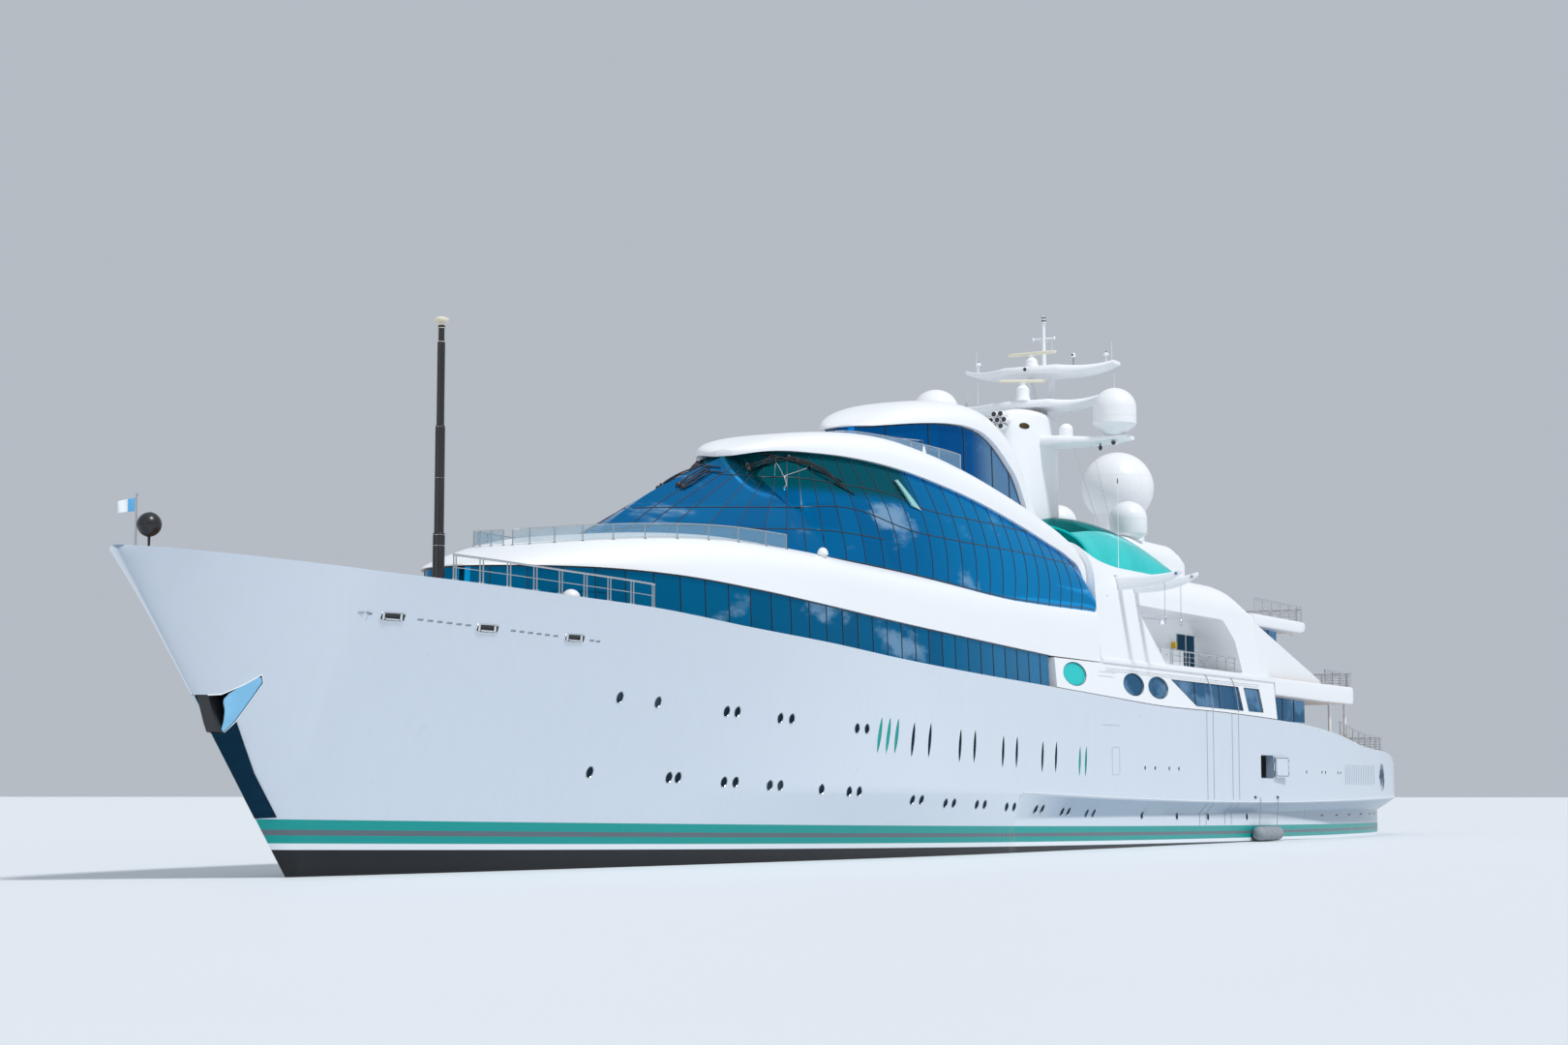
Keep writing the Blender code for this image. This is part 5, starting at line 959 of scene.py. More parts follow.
def build_lower_glass():
    """Outer face from the deck to the white band, an inner face GLASS behind it, closed all round."""
    x, y = lower_outline()
    out = np.stack([np.gradient(y), -np.gradient(x)], 1)
    out /= -np.linalg.norm(out, axis=1, keepdims=True)
    along = np.append(0, np.cumsum(np.hypot(np.diff(x), np.diff(y))))
    along -= along[-1] / 2
    foot, head = foot_height(x) + 0.003, curve(LOWER_GLASS_TOP, x) + 0.003
    v = np.array([0.0, 0.35, 0.7, 1.0])[None]
    z = foot[:, None] + (head - foot)[:, None] * v
    lean = 0.010 * v
    outer = np.stack([x[:, None] - out[:, :1] * lean, y[:, None] - out[:, 1:] * lean, z], -1)
    inner = outer - np.append(out, 0 * out[:, :1], 1)[:, None] * GLASS
    ring = np.concatenate([outer, inner[:, ::-1]], 1)
    u = np.broadcast_to((np.abs(along) / PITCH)[:, None], ring.shape[:2])
    uv = np.stack([u, np.full_like(u, 0.5)], -1)
    Shape().grid(ring, False, True, True, uv).piece("lower_glazing", lower_glazing, "blue_glass", "ship",
                                                   ["lower_glass"])
    frames = Shape()
    for distance in np.arange(PITCH, along[-1] - 0.02, PITCH):
        for s in (-distance, distance):
            at = [np.interp(s, along, column) for column in (x, y, foot, head)]
            way = np.array([np.interp(s, along, out[:, 0]), np.interp(s, along, out[:, 1]), 0.0])
            path = np.array([[at[0], at[1], at[2] + 0.01], [at[0], at[1], at[3] - 0.001]])
            path[1] -= way * 0.010
            frames.strip(path, way, 0.0045, 0.0022)
    sill = np.stack([x + out[:, 0] * 0.0005, y + out[:, 1] * 0.0005, foot + 0.012], 1)
    frames.strip(sill, np.append(out, 0 * out[:, :1], 1), 0.006, 0.003)
    head_line = np.stack([x - out[:, 0] * 0.0095, y - out[:, 1] * 0.0095, head - 0.006], 1)
    frames.strip(head_line, np.append(out, 0 * out[:, :1], 1), 0.006, 0.003)
    frames.piece("lower_frames", dark_trim, "blue_glass")


build_lower_glass()

# %% [markdown]
# The upper tier is a dome of glass. Its section at each x starts square to the deck, bulges a little and
# leans in to the head: y = foot + (head - foot) f^1.25 + 0.055 sin(pi f), with f from 0 at the foot to 1 at the
# head. Aft its frames lie in planes square to the ship. Round the bow end they lie in upright planes that meet
# at one pole, like the segments of an orange. Finding where a plane meets the surface takes a few halvings
# of an interval, done for all points of a frame at once.

# %% Dome of glass
POLE = 2.14
# feet of the frames that lean towards the pole, as x on the port side
RADIAL_FEET = [3.965, 3.90, 3.794, 3.612, 3.431, 3.239, 3.069, 2.925, 2.77, 2.61, 2.45, 2.29]
# long rows of the glazing: x, z
ROW_LOW = [(2.25, 1.549), (2.45, 1.556), (2.70, 1.561), (3.135, 1.535), (3.85, 1.490), (3.93, 1.476)]
ROW_MAIN = [(-0.25, 1.595), (0.80, 1.600), (1.66, 1.602), (1.95, 1.612), (2.15, 1.640), (2.30, 1.672), (2.44, 1.690),
            (2.80, 1.668), (3.229, 1.634), (3.67, 1.600)]
ROW_HIGH = [(0.30, 1.732), (1.30, 1.731), (1.60, 1.733), (1.80, 1.745), (1.93, 1.775), (2.10, 1.800), (2.44, 1.815),
            (2.70, 1.830), (2.98, 1.826)]


def glass_frame(x, inset=0.0):
    """Foot, head, base and top of the dome's section at x."""
    foot = np.maximum(plan_b(x, inset), 0.006)
    head = np.maximum(plan_c(x, inset), 0.0) + 0.002
    base = deck_height(x, np.maximum(plan_b(x), 0.006)) - 0.02
    rise = np.where(x < 2.68, 0.006, 0.0)
    top = np.maximum(curve(UPPER_GLASS_TOP, x) + rise - inset * 1.2, base + 0.008 - inset * 0.3)
    return foot, head, base, top


def dome_at(x, f, inset=0.0):
    """Point of the dome on the port side at station x and share f from foot to head."""
    x, f = np.broadcast_arrays(np.asarray(x, float), np.asarray(f, float))
    foot, head, base, top = glass_frame(x, inset)
    y = foot + (head - foot) * f**1.25 + 0.055 * np.sin(np.pi * f) * np.minimum(foot, 0.6)
    return np.stack([x, y, base + (top - base) * f], -1)


def dome_out(x, f, step=0.004):
    """Direction square to the dome: the cross product of its two slopes."""
    f = np.clip(f, step, 1 - step)
    along = dome_at(np.asarray(x) + step, f) - dome_at(np.asarray(x) - step, f)
    up = dome_at(x, f + step) - dome_at(x, f - step)
    out = np.cross(up, along)
    return out / np.linalg.norm(out, axis=-1, keepdims=True)


def share_at(x, z):
    """The share f at which the dome reaches height z at station x."""
    _, _, base, top = glass_frame(np.asarray(x, float))
    return np.clip((z - base) / (top - base), 0, 1)


def radial(foot_x, f):
    """Stations x where the upright plane through the pole and the foot meets the dome at each share f."""
    slope = float(plan_b(foot_x)) / (foot_x - POLE)
    low, high = np.full_like(f, POLE), np.full_like(f, 3.998)
    for _ in range(40):
        middle = 0.5 * (low + high)
        beyond = dome_at(middle, f)[:, 1] < slope * (middle - POLE)
        low, high = np.where(beyond, low, middle), np.where(beyond, middle, high)
    return 0.5 * (low + high)


def pane_number(x, y, z):
    """UV of the dome: window frames counted along the ship and round the pole, rows counted upwards."""
    angles = np.arctan2([float(plan_b(v)) for v in RADIAL_FEET], np.array(RADIAL_FEET) - POLE)
    turn = np.arctan2(np.abs(y), np.maximum(x - POLE, 1e-6))
    u = np.where(x > POLE, np.interp(turn, np.append(angles, np.pi / 2), np.arange(len(angles) + 1.0)),
                 len(angles) + (POLE - x) / PITCH)
    foot = deck_height(x, plan_b(x))
    low = np.where(x > 2.25, curve(ROW_LOW, x), foot + 0.001)
    main = np.maximum(curve(ROW_MAIN, x), low + 0.001)
    high = np.maximum(curve(ROW_HIGH, x), main + 0.001)
    v = (z > low) * 1.0 + (z > main) + (z > high)
    near = [np.clip((z - row) / 0.03, 0, 1) for row in (low, main, high)]
    return np.stack([u, 0.2 + np.minimum(v, sum(near) + 0.2) * 0.999], -1)


def build_dome():
    """A closed shell: the outer face from foot to foot over the top, and the same inset by the glass."""
    x = np.concatenate([closer(0.3, -0.28, 12)[::-1], np.linspace(0.3, 3.5, 110)[1:], closer(3.5, 3.975, 34)[1:]])
    f = np.linspace(0, 1, 44)
    def half(inset):
        got = dome_at(x[:, None], f[None], inset)
        crown = got[:, -1:] * (1, 0, 1) + (0, 0, 0.001)
        return np.concatenate([got, crown, got[:, ::-1] * (1, -1, 1)], 1)
    outer, inner = half(0.0), half(GLASS)
    ring = np.concatenate([outer, inner[:, ::-1]], 1)
    uv = pane_number(ring[..., 0], ring[..., 1], ring[..., 2])
    Shape().grid(ring, False, True, True, uv).piece("dome_glazing", upper_glazing, "blue_glass", "ship",
                                                   ["upper_glass"], sharp=60)


def build_dome_frames():
    """Frames square to the ship aft, frames through the pole forward, and the long rows."""
    frames = Shape()
    f = np.linspace(0.03, 1.0, 30)
    for foot_x in RADIAL_FEET:
        x = radial(foot_x, f)
        keep = f < (0.94 if foot_x > 3.5 else 0.99)
        frames.strip(dome_at(x, f)[keep], dome_out(x, f)[keep], 0.0045, 0.0020)
    for x in np.arange(POLE, -0.2, -PITCH):
        frames.strip(dome_at(x, f), dome_out(x, f), 0.0045, 0.0020)
    for row in (ROW_LOW, ROW_MAIN, ROW_HIGH):
        x = np.linspace(row[0][0], row[-1][0], 140)
        at = share_at(x, curve(row, x))
        keep = (at < 0.975) & (at > 0.0)
        frames.strip(dome_at(x, at)[keep], dome_out(x, at)[keep], 0.0055, 0.0022)
    x = np.linspace(-0.26, 3.97, 240)
    sill = share_at(x, deck_height(x, plan_b(x)) + 0.004)
    frames.strip(dome_at(x, sill), dome_out(x, sill), 0.007, 0.003)
    frames.mirrored().piece("dome_frames", dark_trim, "blue_glass")


build_dome()
build_dome_frames()
print("dome", pieces["dome_glazing"], "frames", pieces["dome_frames"])

# %% [markdown]
# Aft of the dome the ship's side goes straight up into the house on the main deck. Its walls lean in
# a little, and its windows are ovals and slanted shapes. The wall is one loft with the inside and the
# windows cut from it. Each pane is set back from the wall with a dark gasket round it, as a glazier would do it.

# %% House on the main deck
UPPER_FLOOR, UPPER_UNDER, ROOF, WALL = 1.086, 1.052, 1.665, 0.045
HOUSE_AFT, UPPER_AFT, HOUSE_FRONT = -3.45, -3.16, 0.40
# oval windows: centre x, centre z, half length, half height
OVAL_WINDOWS = [(0.12, 0.972, 0.17, 0.066), (-0.79, 0.945, 0.17, 0.066), (-1.20, 0.940, 0.17, 0.066)]
SLANTED_WINDOWS = [
    [(-1.43, 1.000), (-1.85, 0.850), (-2.76, 0.845), (-2.70, 0.998)],
    [(-2.80, 0.998), (-2.86, 0.845), (-3.17, 0.845), (-3.12, 0.998)],
]


def side_y(z):
    """Half breadth of the house side: it leans in by 0.09 for each unit of height."""
    return 0.748 - 0.09 * (np.asarray(z, float) - 0.85)


def loop(corners, radius=0.0, count=10):
    """Closed outline through corners, each rounded by a quadratic curve that starts radius away from it."""
    corners = np.asarray(corners, float)
    if not radius:
        return corners
    before, after = np.roll(corners, 1, 0) - corners, np.roll(corners, -1, 0) - corners
    before *= radius / np.linalg.norm(before, axis=1, keepdims=True)
    after *= radius / np.linalg.norm(after, axis=1, keepdims=True)
    t = np.linspace(0, 1, count)[None, :, None]
    a, b, c = (corners + before)[:, None], corners[:, None], (corners + after)[:, None]
    return ((1 - t)**2 * a + 2 * t * (1 - t) * b + t * t * c).reshape(-1, 2)


def window_loops(shrink=0.0):
    """Outlines of the house windows: 64 points round each oval, rounded corners on the slanted ones."""
    t = np.linspace(0, 2 * np.pi, 64, endpoint=False)
    found = [np.stack([cx + (rx - shrink) * np.cos(t), cz + (rz - shrink) * np.sin(t)], 1)
             for cx, cz, rx, rz in OVAL_WINDOWS]
    for corners in SLANTED_WINDOWS:
        middle = np.mean(corners, axis=0)
        found.append(middle + (loop(corners, 0.010) - middle) * (1 - 12 * shrink))
    return found


def build_main_house():
    """Loft of the leaning walls; the inside and the windows are cut, then panes and gaskets are set."""
    x = np.linspace(HOUSE_AFT, HOUSE_FRONT - 0.0004, 30)
    def walls(x, inset, drop, rise):
        low, high = hull_line(x, 2) + 0.0046 - drop, UPPER_UNDER - 0.0004 + rise + 0 * x
        y0, y1 = side_y(low) - inset, side_y(high) - inset
        ring = np.stack([np.stack(p, 1) for p in ((x, y0, low), (x, y1, high), (x, -y1, high), (x, -y0, low))], 1)
        return Shape().grid(ring, False, True, True)
    house = walls(x, 0, 0, 0).mesh("main_house_walls", white_paint)
    openings = Shape()
    for outline in window_loops():
        openings.prism(outline, -1.0, 1.0)
    carve(house, walls(np.linspace(HOUSE_AFT + WALL, HOUSE_FRONT - WALL, 6), WALL, 0.1, 0.1), openings)
    fit(house, "ship", ["main_house"])
    gaskets, dark, green = Shape(), Shape(), Shape()
    for k, outline in enumerate(window_loops(0.0008)):
        x, z = outline.T
        y = side_y(z) - 0.007
        pane = np.stack([np.stack([x, y, z], 1), np.stack([x, y - 0.008, z], 1)])
        uv = np.stack([x / PITCH, 0 * x + 0.5], 1)[None].repeat(2, 0)
        (green if k == 0 else dark).grid(pane, False, True, True, uv)
        gaskets.sweep(np.stack([x, side_y(z) - 0.0015, z], 1), 0.0022, 6, closed=True)
    dark.mirrored().piece("house_panes", grey_glazing, "grey_glass", "ship",
                          ["side_glass_port", "side_glass_starboard"])
    green.mirrored().piece("house_oval_pane", turquoise_glazing, "teal_glass")
    for cx, width in ((-1.86, 0.006), (-2.32, 0.006)):
        z = np.array([0.850, 0.998])
        gaskets.strip(np.stack([cx + 0 * z, side_y(z) - 0.007, z], 1), (0, 1, 0), width, 0.003)
    gaskets.mirrored().piece("house_gaskets", dark_trim, "black_paint")


build_main_house()
print("main house", pieces["main_house_walls"])

# %% [markdown]
# The decks aft are slabs with a deep rounded rim, like the edge of a shell. A section with rounded edges is
# carried along the ship and drawn in at the stern. Under them stand pillars, and between them the saloons are
# glazed. The sides sweep down in slanted fins.

# %% Decks aft
def slab(x, half, under, top, edge=0.018, tuck=0.0):
    """Deck section: flat below and above, with elliptical edges; tuck draws the underside in below the rim."""
    t = np.linspace(-1, 1, 13)[None] * np.pi / 2
    half, under, top = (np.asarray(v, float)[:, None] for v in (half, under, top))
    middle, rise = 0.5 * (under + top), 0.5 * (top - under)
    y = half - edge + edge * np.cos(t)**0.6 - tuck * np.clip(-np.sin(t), 0, 1)
    z = middle + rise * np.sign(np.sin(t)) * np.abs(np.sin(t))**0.8
    y = np.concatenate([0 * half, y, 0 * half], 1)
    z = np.concatenate([under, z, top], 1)
    return both_sides(x, y, z)


def third_half(x):
    """Half breadth of the third deck, drawn in at its after end."""
    return side_y(1.46) + 0.005 - 0.10 * np.maximum((-4.20 - x) / 0.33, 0)**2


def build_upper_deck():
    """Thin over the house, deep where it overhangs the after deck, with four pillars below."""
    x = np.concatenate([closer(-5.30, -5.46, 12)[::-1], np.linspace(-5.30, -3.47, 24)[1:], [-3.46, -2.0, -0.3094]])
    half = np.minimum(hull_line(x, 1) + 0.004, side_y(UPPER_FLOOR) + 0.012) - 0.10 * np.maximum(
        (-5.30 - x) / 0.16, 0)**2
    under = np.where(x > -3.465, UPPER_UNDER, np.interp(x, [-5.46, -5.44, -5.30, -4.5, -3.47],
                                                        [1.00, 0.970, 0.962, 0.962, 0.972]))
    deck = Shape().grid(slab(x, half, under, UPPER_FLOOR + 0 * x, 0.010), False, True, True)
    for at in (-4.95, -5.33):
        for side in (-1, 1):
            deck.tube((at, side * 0.66, float(hull_line(at, 2))), (at, side * 0.66, 0.970), 0.011, sides=24)
    obj = deck.mesh("upper_deck_slab", white_paint)
    lay_decks(obj, [(teak, -5.5, -3.0, 1.08, 1.09, 0.665)])
    fit(obj, "ship", ["upper_deck"])


def build_third_deck():
    """The slab, and under it the slanted fins that carry the line of the sides down and aft."""
    x = np.concatenate([closer(-4.30, -4.53, 12)[::-1], np.linspace(-4.30, UPPER_AFT - 0.0004, 20)[1:]])
    under = 1.425 + 0.05 * np.maximum((-4.20 - x) / 0.33, 0)
    deck = Shape().grid(slab(x, third_half(x), under, 1.505 + 0 * x, 0.014), False, True, True)
    fin = [(UPPER_AFT - 0.002, UPPER_FLOOR + 0.0004), (-4.66, UPPER_FLOOR + 0.0004), (-4.60, UPPER_FLOOR + 0.03),
           (-3.24, 1.428), (-3.24, 1.44), (UPPER_AFT - 0.002, 1.44)]
    for side in (-1, 1):
        deck.prism(fin, side * 0.664, side * 0.694)
    obj = deck.mesh("third_deck_slab", white_paint)
    lay_decks(obj, [(teak, -4.5, -3.1, 1.50, 1.51, 0.62)])
    fit(obj, "ship", ["third_deck"])


def glaze_saloon(name, node_name, corners, low, high, count):
    """Glazed room round three sides: an outline in plan carried up, with upright frames on its faces."""
    plan = loop(corners, 0.02, 6)
    ring = np.stack([np.append(plan, 0 * plan[:, :1] + z, 1) for z in (low, high)])
    inner = plan * 0.995 + plan.mean(0) * 0.005
    lengths = np.cumsum(np.hypot(*(plan - np.roll(plan, 1, 0)).T))
    uv = np.stack([lengths / PITCH, 0 * lengths + 0.5], 1)[None].repeat(2, 0)
    Shape().grid(ring, False, True, True, uv).piece(name, grey_glazing, "grey_glass", "ship", [node_name])
    (x0, y0), (x1, _), (_, y1) = corners[0], corners[1], corners[2]
    frames = Shape()
    for y in np.linspace(y0 + 0.03, y1 - 0.03, count):
        frames.strip([(x0, y, low), (x0, y, high)], (-1, 0, 0), 0.008, 0.004)
    for x in np.linspace(x0, x1, 5)[1:-1]:
        for side in (-1, 1):
            frames.strip([(x, side * y1, low), (x, side * y1, high)], (0, side, 0), 0.008, 0.003)
    frames.piece(name + "_frames", dark_trim, "black_paint")


build_upper_deck()
build_third_deck()
glaze_saloon("upper_saloon", "upper_saloon_glass", [(-3.95, -0.60), (-3.17, -0.60), (-3.17, 0.60), (-3.95, 0.60)],
             UPPER_FLOOR, 1.425, 9)
glaze_saloon("main_saloon", "main_saloon_glass", [(-4.50, -0.62), (-3.46, -0.62), (-3.46, 0.62), (-4.50, 0.62)],
             0.809, 0.962, 9)
print("decks aft", pieces["upper_deck_slab"], pieces["third_deck_slab"])

# %% [markdown]
# The upper house has a flat roof, soft shoulders and leaning sides: straight lines below, a quarter of a
# superellipse at the shoulder, and a straight line over the roof. On each side a boat bay is cut into it,
# and slots where the davits run in and out.

# %% Upper house
HOUSE_CROWN = [(-3.16, 1.508), (-3.05, 1.565), (-2.83, 1.645), (-2.65, ROOF), (-1.00, ROOF), (-0.80, 1.676),
               (-0.58, 1.700), (-0.31, 1.760)]
BAY = [(-0.94, 1.425), (-1.37, UPPER_FLOOR + 0.004), (-2.82, UPPER_FLOOR + 0.004), (-2.72, 1.30), (-2.52, 1.425)]
BAY_BACK = 0.45
DAVIT_X, DAVIT_Z = (-0.70, -0.97), 1.535


def house_crown(x):
    """Roof line of the upper house, level between its two ends."""
    return np.where((x > -2.66) & (x < -0.99), ROOF, curve(HOUSE_CROWN, x))


def build_upper_house():
    """Loft the sections, then cut the bays and the davit slots."""
    x = np.concatenate([np.linspace(UPPER_AFT, -2.65, 22), np.linspace(-2.6, -1.0, 12), np.linspace(-0.97, -0.31, 26)])
    crown = house_crown(x)
    shoulder = np.minimum(1.46, crown - 0.06)
    low = UPPER_FLOOR + 0.0004
    y, z = arch(side_y(shoulder) - 0.46, shoulder, crown, 2.4, 20)
    y, one = y + 0.46, np.ones((len(x), 1))
    y = np.concatenate([0 * one, side_y(low) * one, y, 0 * one], 1)
    z = np.concatenate([low * one, low * one, z, crown[:, None]], 1)
    house = Shape().grid(both_sides(x, y, z), False, True, True).mesh("upper_house_shell", white_paint)
    tools = Shape()
    for side in (-1, 1):
        tools.prism(loop(BAY, 0.03), side * BAY_BACK, side * 0.95)
    for at in DAVIT_X:
        for side in (-1, 1):
            low_y, high_y = sorted((side * 0.10, side * 0.9))
            tools.box((at - 0.036, low_y, DAVIT_Z - 0.0414), (at + 0.036, high_y, DAVIT_Z + 0.046))
    carve(house, tools)
    lay_decks(house, [(teak, -2.9, -0.9, 1.08, 1.10, 0.68)])
    fit(house, "ship", ["upper_house"])


build_upper_house()

# %% [markdown]
# On top sits a smaller glazed house under a rounded roof that comes down to the deck like a helmet. Behind it a
# white tower carries the mast, and between the tower and the block that bears the large domes lies a vault
# of turquoise glass. All of these are lofts of superellipse sections, as the white decks are.

# %% Top house, vault and dome block
TOP_GLASS_HEAD = [(0.00, 1.870), (0.07, 1.952), (0.16, 2.055), (0.31, 2.150), (0.48, 2.231), (0.62, 2.275),
                  (0.80, 2.296), (0.98, 2.293), (1.18, 2.275), (1.43, 2.240)]
TOP_CROWN = [(-0.26, 1.860), (-0.15, 2.060), (0.00, 2.270), (0.18, 2.400), (0.40, 2.462), (0.62, 2.470),
             (0.97, 2.432), (1.15, 2.390), (1.31, 2.330), (1.43, 2.268), (1.48, 2.246)]
CANOPY_CROWN = [(-2.40, 1.690), (-2.30, 1.790), (-2.10, 1.880), (-1.80, 1.960), (-1.45, 2.000), (-1.05, 1.985),
                (-0.72, 1.925)]
SUN_X, SUN_TOP = (-2.79, -1.88), 1.935


def build_top_roof():
    """Helmet roof: an arch on a base line that drops to the deck aft."""
    x = np.concatenate([closer(0.10, -0.25, 14)[::-1], np.linspace(0.10, 1.2, 40)[1:], closer(1.2, 1.485, 22)[1:]])
    base = curve(TOP_GLASS_HEAD, x)
    base = np.where(x < 0.04, np.minimum(base, curve(BAND_2_CROWN, x) - 0.06), base)
    crown = np.maximum(curve(TOP_CROWN, x), base + 0.008)
    banded("top_roof", x, np.maximum(oval(x, 1.49, 0.45, 0.425), 0.006), base, crown, 2.7 + 0 * x, white_paint,
           ["top_house_roof"])


def build_top_glass():
    """Upright glass under the roof: its plan is an oval, its head follows the roof's edge."""
    x = np.concatenate([np.linspace(0.055, 0.9, 40), closer(0.9, 1.455, 40)[1:]])
    y = np.maximum(oval(x, 1.46, 0.45, 0.405), 0.004)
    foot, head = curve(BAND_2_CROWN, x) - 0.05, curve(TOP_GLASS_HEAD, x) + 0.004
    lean = np.array([1.0, 0.99, 0.98, 0.97])[None]
    v = np.linspace(0, 1, 4)[None]
    z = foot[:, None] + (head - foot)[:, None] * v
    port = np.stack([x[:, None] + 0 * z, y[:, None] * lean, z], -1)
    turn = np.arctan2(y, np.maximum(x - 0.45, 1e-3))
    u = np.where(x > 0.45, 6 * turn / (np.pi / 2), 6 + (0.45 - x) / PITCH)
    ring = np.concatenate([port, port[:, ::-1] * (1, -1, 1)], 1)
    uv = np.stack([np.broadcast_to(u[:, None], ring.shape[:2]), np.full(ring.shape[:2], 0.5)], -1)
    Shape().grid(ring, False, True, True, uv).piece("top_glazing", top_glazing, "blue_glass", "ship",
                                                   ["top_house_glass"])
    frames = Shape()
    for at in (1.36, 1.10, 0.80, 0.47, 0.22):
        k = int(np.argmin(np.abs(x - at)))
        way = np.array([y[max(k - 1, 0)] - y[k + 1], x[k + 1] - x[max(k - 1, 0)], 0.0])
        frames.strip(port[k], way, 0.007, 0.003)
    frames.strip(port[:, -1] - (0, 0, 0.008), (0, 1, 0.3), 0.008, 0.003)
    frames.mirrored().piece("top_frames", dark_trim, "black_paint")


def canopy_ring(x, inset=0.0, drop=0.0):
    """Half section of the vault: a superellipse from the roof to its crown."""
    base, crown = house_crown(x) - 0.02 - drop, curve(CANOPY_CROWN, x) - inset
    return arch(0.50 - inset + 0 * x, base, np.maximum(crown, base + 0.03 + drop), 2.2, 24)


def build_canopy():
    """The vault is a shell, outer and inner sections joined along the foot; its crown gets a darker teal glazing,
    partly the crown's own glass and partly painted shade.
    """
    x = closer(-0.72, -2.40, 44)[::-1]
    (y, z), (inner_y, inner_z) = canopy_ring(x), canopy_ring(x, 0.012)
    port = np.stack([x[:, None] + 0 * y, y, z], -1)
    inside = np.stack([x[:, None] + 0 * y, inner_y, inner_z], -1)
    whole = [np.concatenate([p, p[:, -2::-1] * (1, -1, 1)], 1) for p in (port, inside)]
    ring = np.concatenate([whole[0], whole[1][:, ::-1]], 1)
    u = np.broadcast_to((x / 0.13)[:, None], ring.shape[:2])
    v = np.where(ring[..., 2] > 1.935, 1.5, 0.5)
    vault = Shape().grid(ring, False, True, True, np.stack([u, v], -1)).piece(
        "canopy_glazing", turquoise_glazing, "teal_glass", "ship", ["canopy_glass"])
    # Painted shade, in part: faces above 0.72 of the rise from the roof to the crown get the darker teal glazing.
    base = lambda at: house_crown(at) - 0.02
    paint_faces(vault, deep_teal_glazing,
                lambda p, n: (p[2] - base(p[0])) / (curve(CANOPY_CROWN, p[0]) - base(p[0])) > 0.72)


# the upper edge of the brow's tail: x, y, z
BROW_TAIL = np.array([(0.152, 0.659, 1.812), (-0.054, 0.638, 1.797), (-0.269, 0.614, 1.772), (-0.454, 0.601, 1.735),
                      (-0.655, 0.590, 1.681)])


def build_brow_tail():
    """A coaming with a round top that carries the brow's edge aft, and a wall that closes the vault's fore end."""
    x = np.linspace(0.152, -0.655, 36)
    y, top = curve(BROW_TAIL[:, (0, 1)], x), curve(BROW_TAIL[:, (0, 2)], x)
    t = np.radians(np.linspace(0, 180, 12))
    y_ring = y[:, None] - 0.016 + 0.016 * np.cos(t)
    z_ring = top[:, None] - 0.016 + 0.016 * np.sin(t)
    low = 1.604 + 0 * x[:, None]
    ring = np.stack([x[:, None] + np.zeros((1, 14)), np.concatenate([y[:, None], y_ring, y[:, None] - 0.032], 1),
                     np.concatenate([low, z_ring, low], 1)], -1)
    Shape().grid(ring, False, True, True).mirrored().piece("brow_tail", white_paint, "white_paint")
    x = np.array([-0.735, -0.741])
    y, z = canopy_ring(x, 0.010)
    port = np.stack([x[:, None] + 0 * y, y, z], -1)
    Shape().grid(np.concatenate([port, port[:, -2::-1] * (1, -1, 1)], 1), False, True, True).piece(
        "vault_end", deep_teal_glazing, "teal_glass")


def build_dome_block():
    """White block with rounded shoulders that carries the large domes."""
    x = np.concatenate([[-2.79, -2.775], np.linspace(-2.75, -1.9, 20), [-1.885, -1.88]])
    crown = np.interp(x, [-2.79, -2.75, -2.66, -1.9, -1.88], [1.86, 1.905, SUN_TOP, SUN_TOP, 1.92])
    y, z = arch(0.13 + 0 * x, 1.80 + 0 * x, crown, 2.2, 14)
    one = np.ones((len(x), 1))
    y = np.concatenate([0 * one, 0.35 * one, y + 0.22, 0 * one], 1)
    z = np.concatenate([(ROOF + 0.0004) * one, (ROOF + 0.0004) * one, z, crown[:, None]], 1)
    Shape().grid(both_sides(x, y, z), False, True, True).piece("dome_block", white_paint, "white_paint", "ship",
                                                              ["sun_house"])


build_top_roof()
build_top_glass()
build_canopy()
build_brow_tail()
build_dome_block()
print("top house and vault", pieces["top_roof"], pieces["canopy_glazing"])

# %% [markdown]
# The mast is a white tower of elliptical plan with three wing platforms. Each wing is a section across the
# ship that tapers and sweeps up towards its tips, so that aerials stand clear of each other. The wing's section
# is a superellipse whose size, height and rake are functions of the distance from the centreline.

# %% Tower and wings
TOWER_X, TOWER_HALF, TOWER_TOP = -1.00, (0.35, 0.13), 2.575
# name, node, centre x, span to port, span to starboard, underside, thickness, half chord inside and at the tips, rise
WINGS = [
    ("wing_top", "mast_platform_top", -1.17, 0.49, 0.49, 2.862, 0.055, 0.150, 0.060, 0.055),
    ("wing_middle", "mast_platform_middle", -1.13, 0.40, 0.58, 2.650, 0.050, 0.160, 0.060, 0.055),
    ("wing_lower", "mast_platform_lower", -1.03, 0.62, 0.45, 2.405, 0.055, 0.150, 0.080, 0.030),
]
SCANNERS = [("scanner_upper", (-1.07, 0.0, 2.980), 0.168, -4.0, 2.917),
            ("scanner_lower", (-0.99, -0.03, 2.800), 0.150, 24.0, 2.700)]


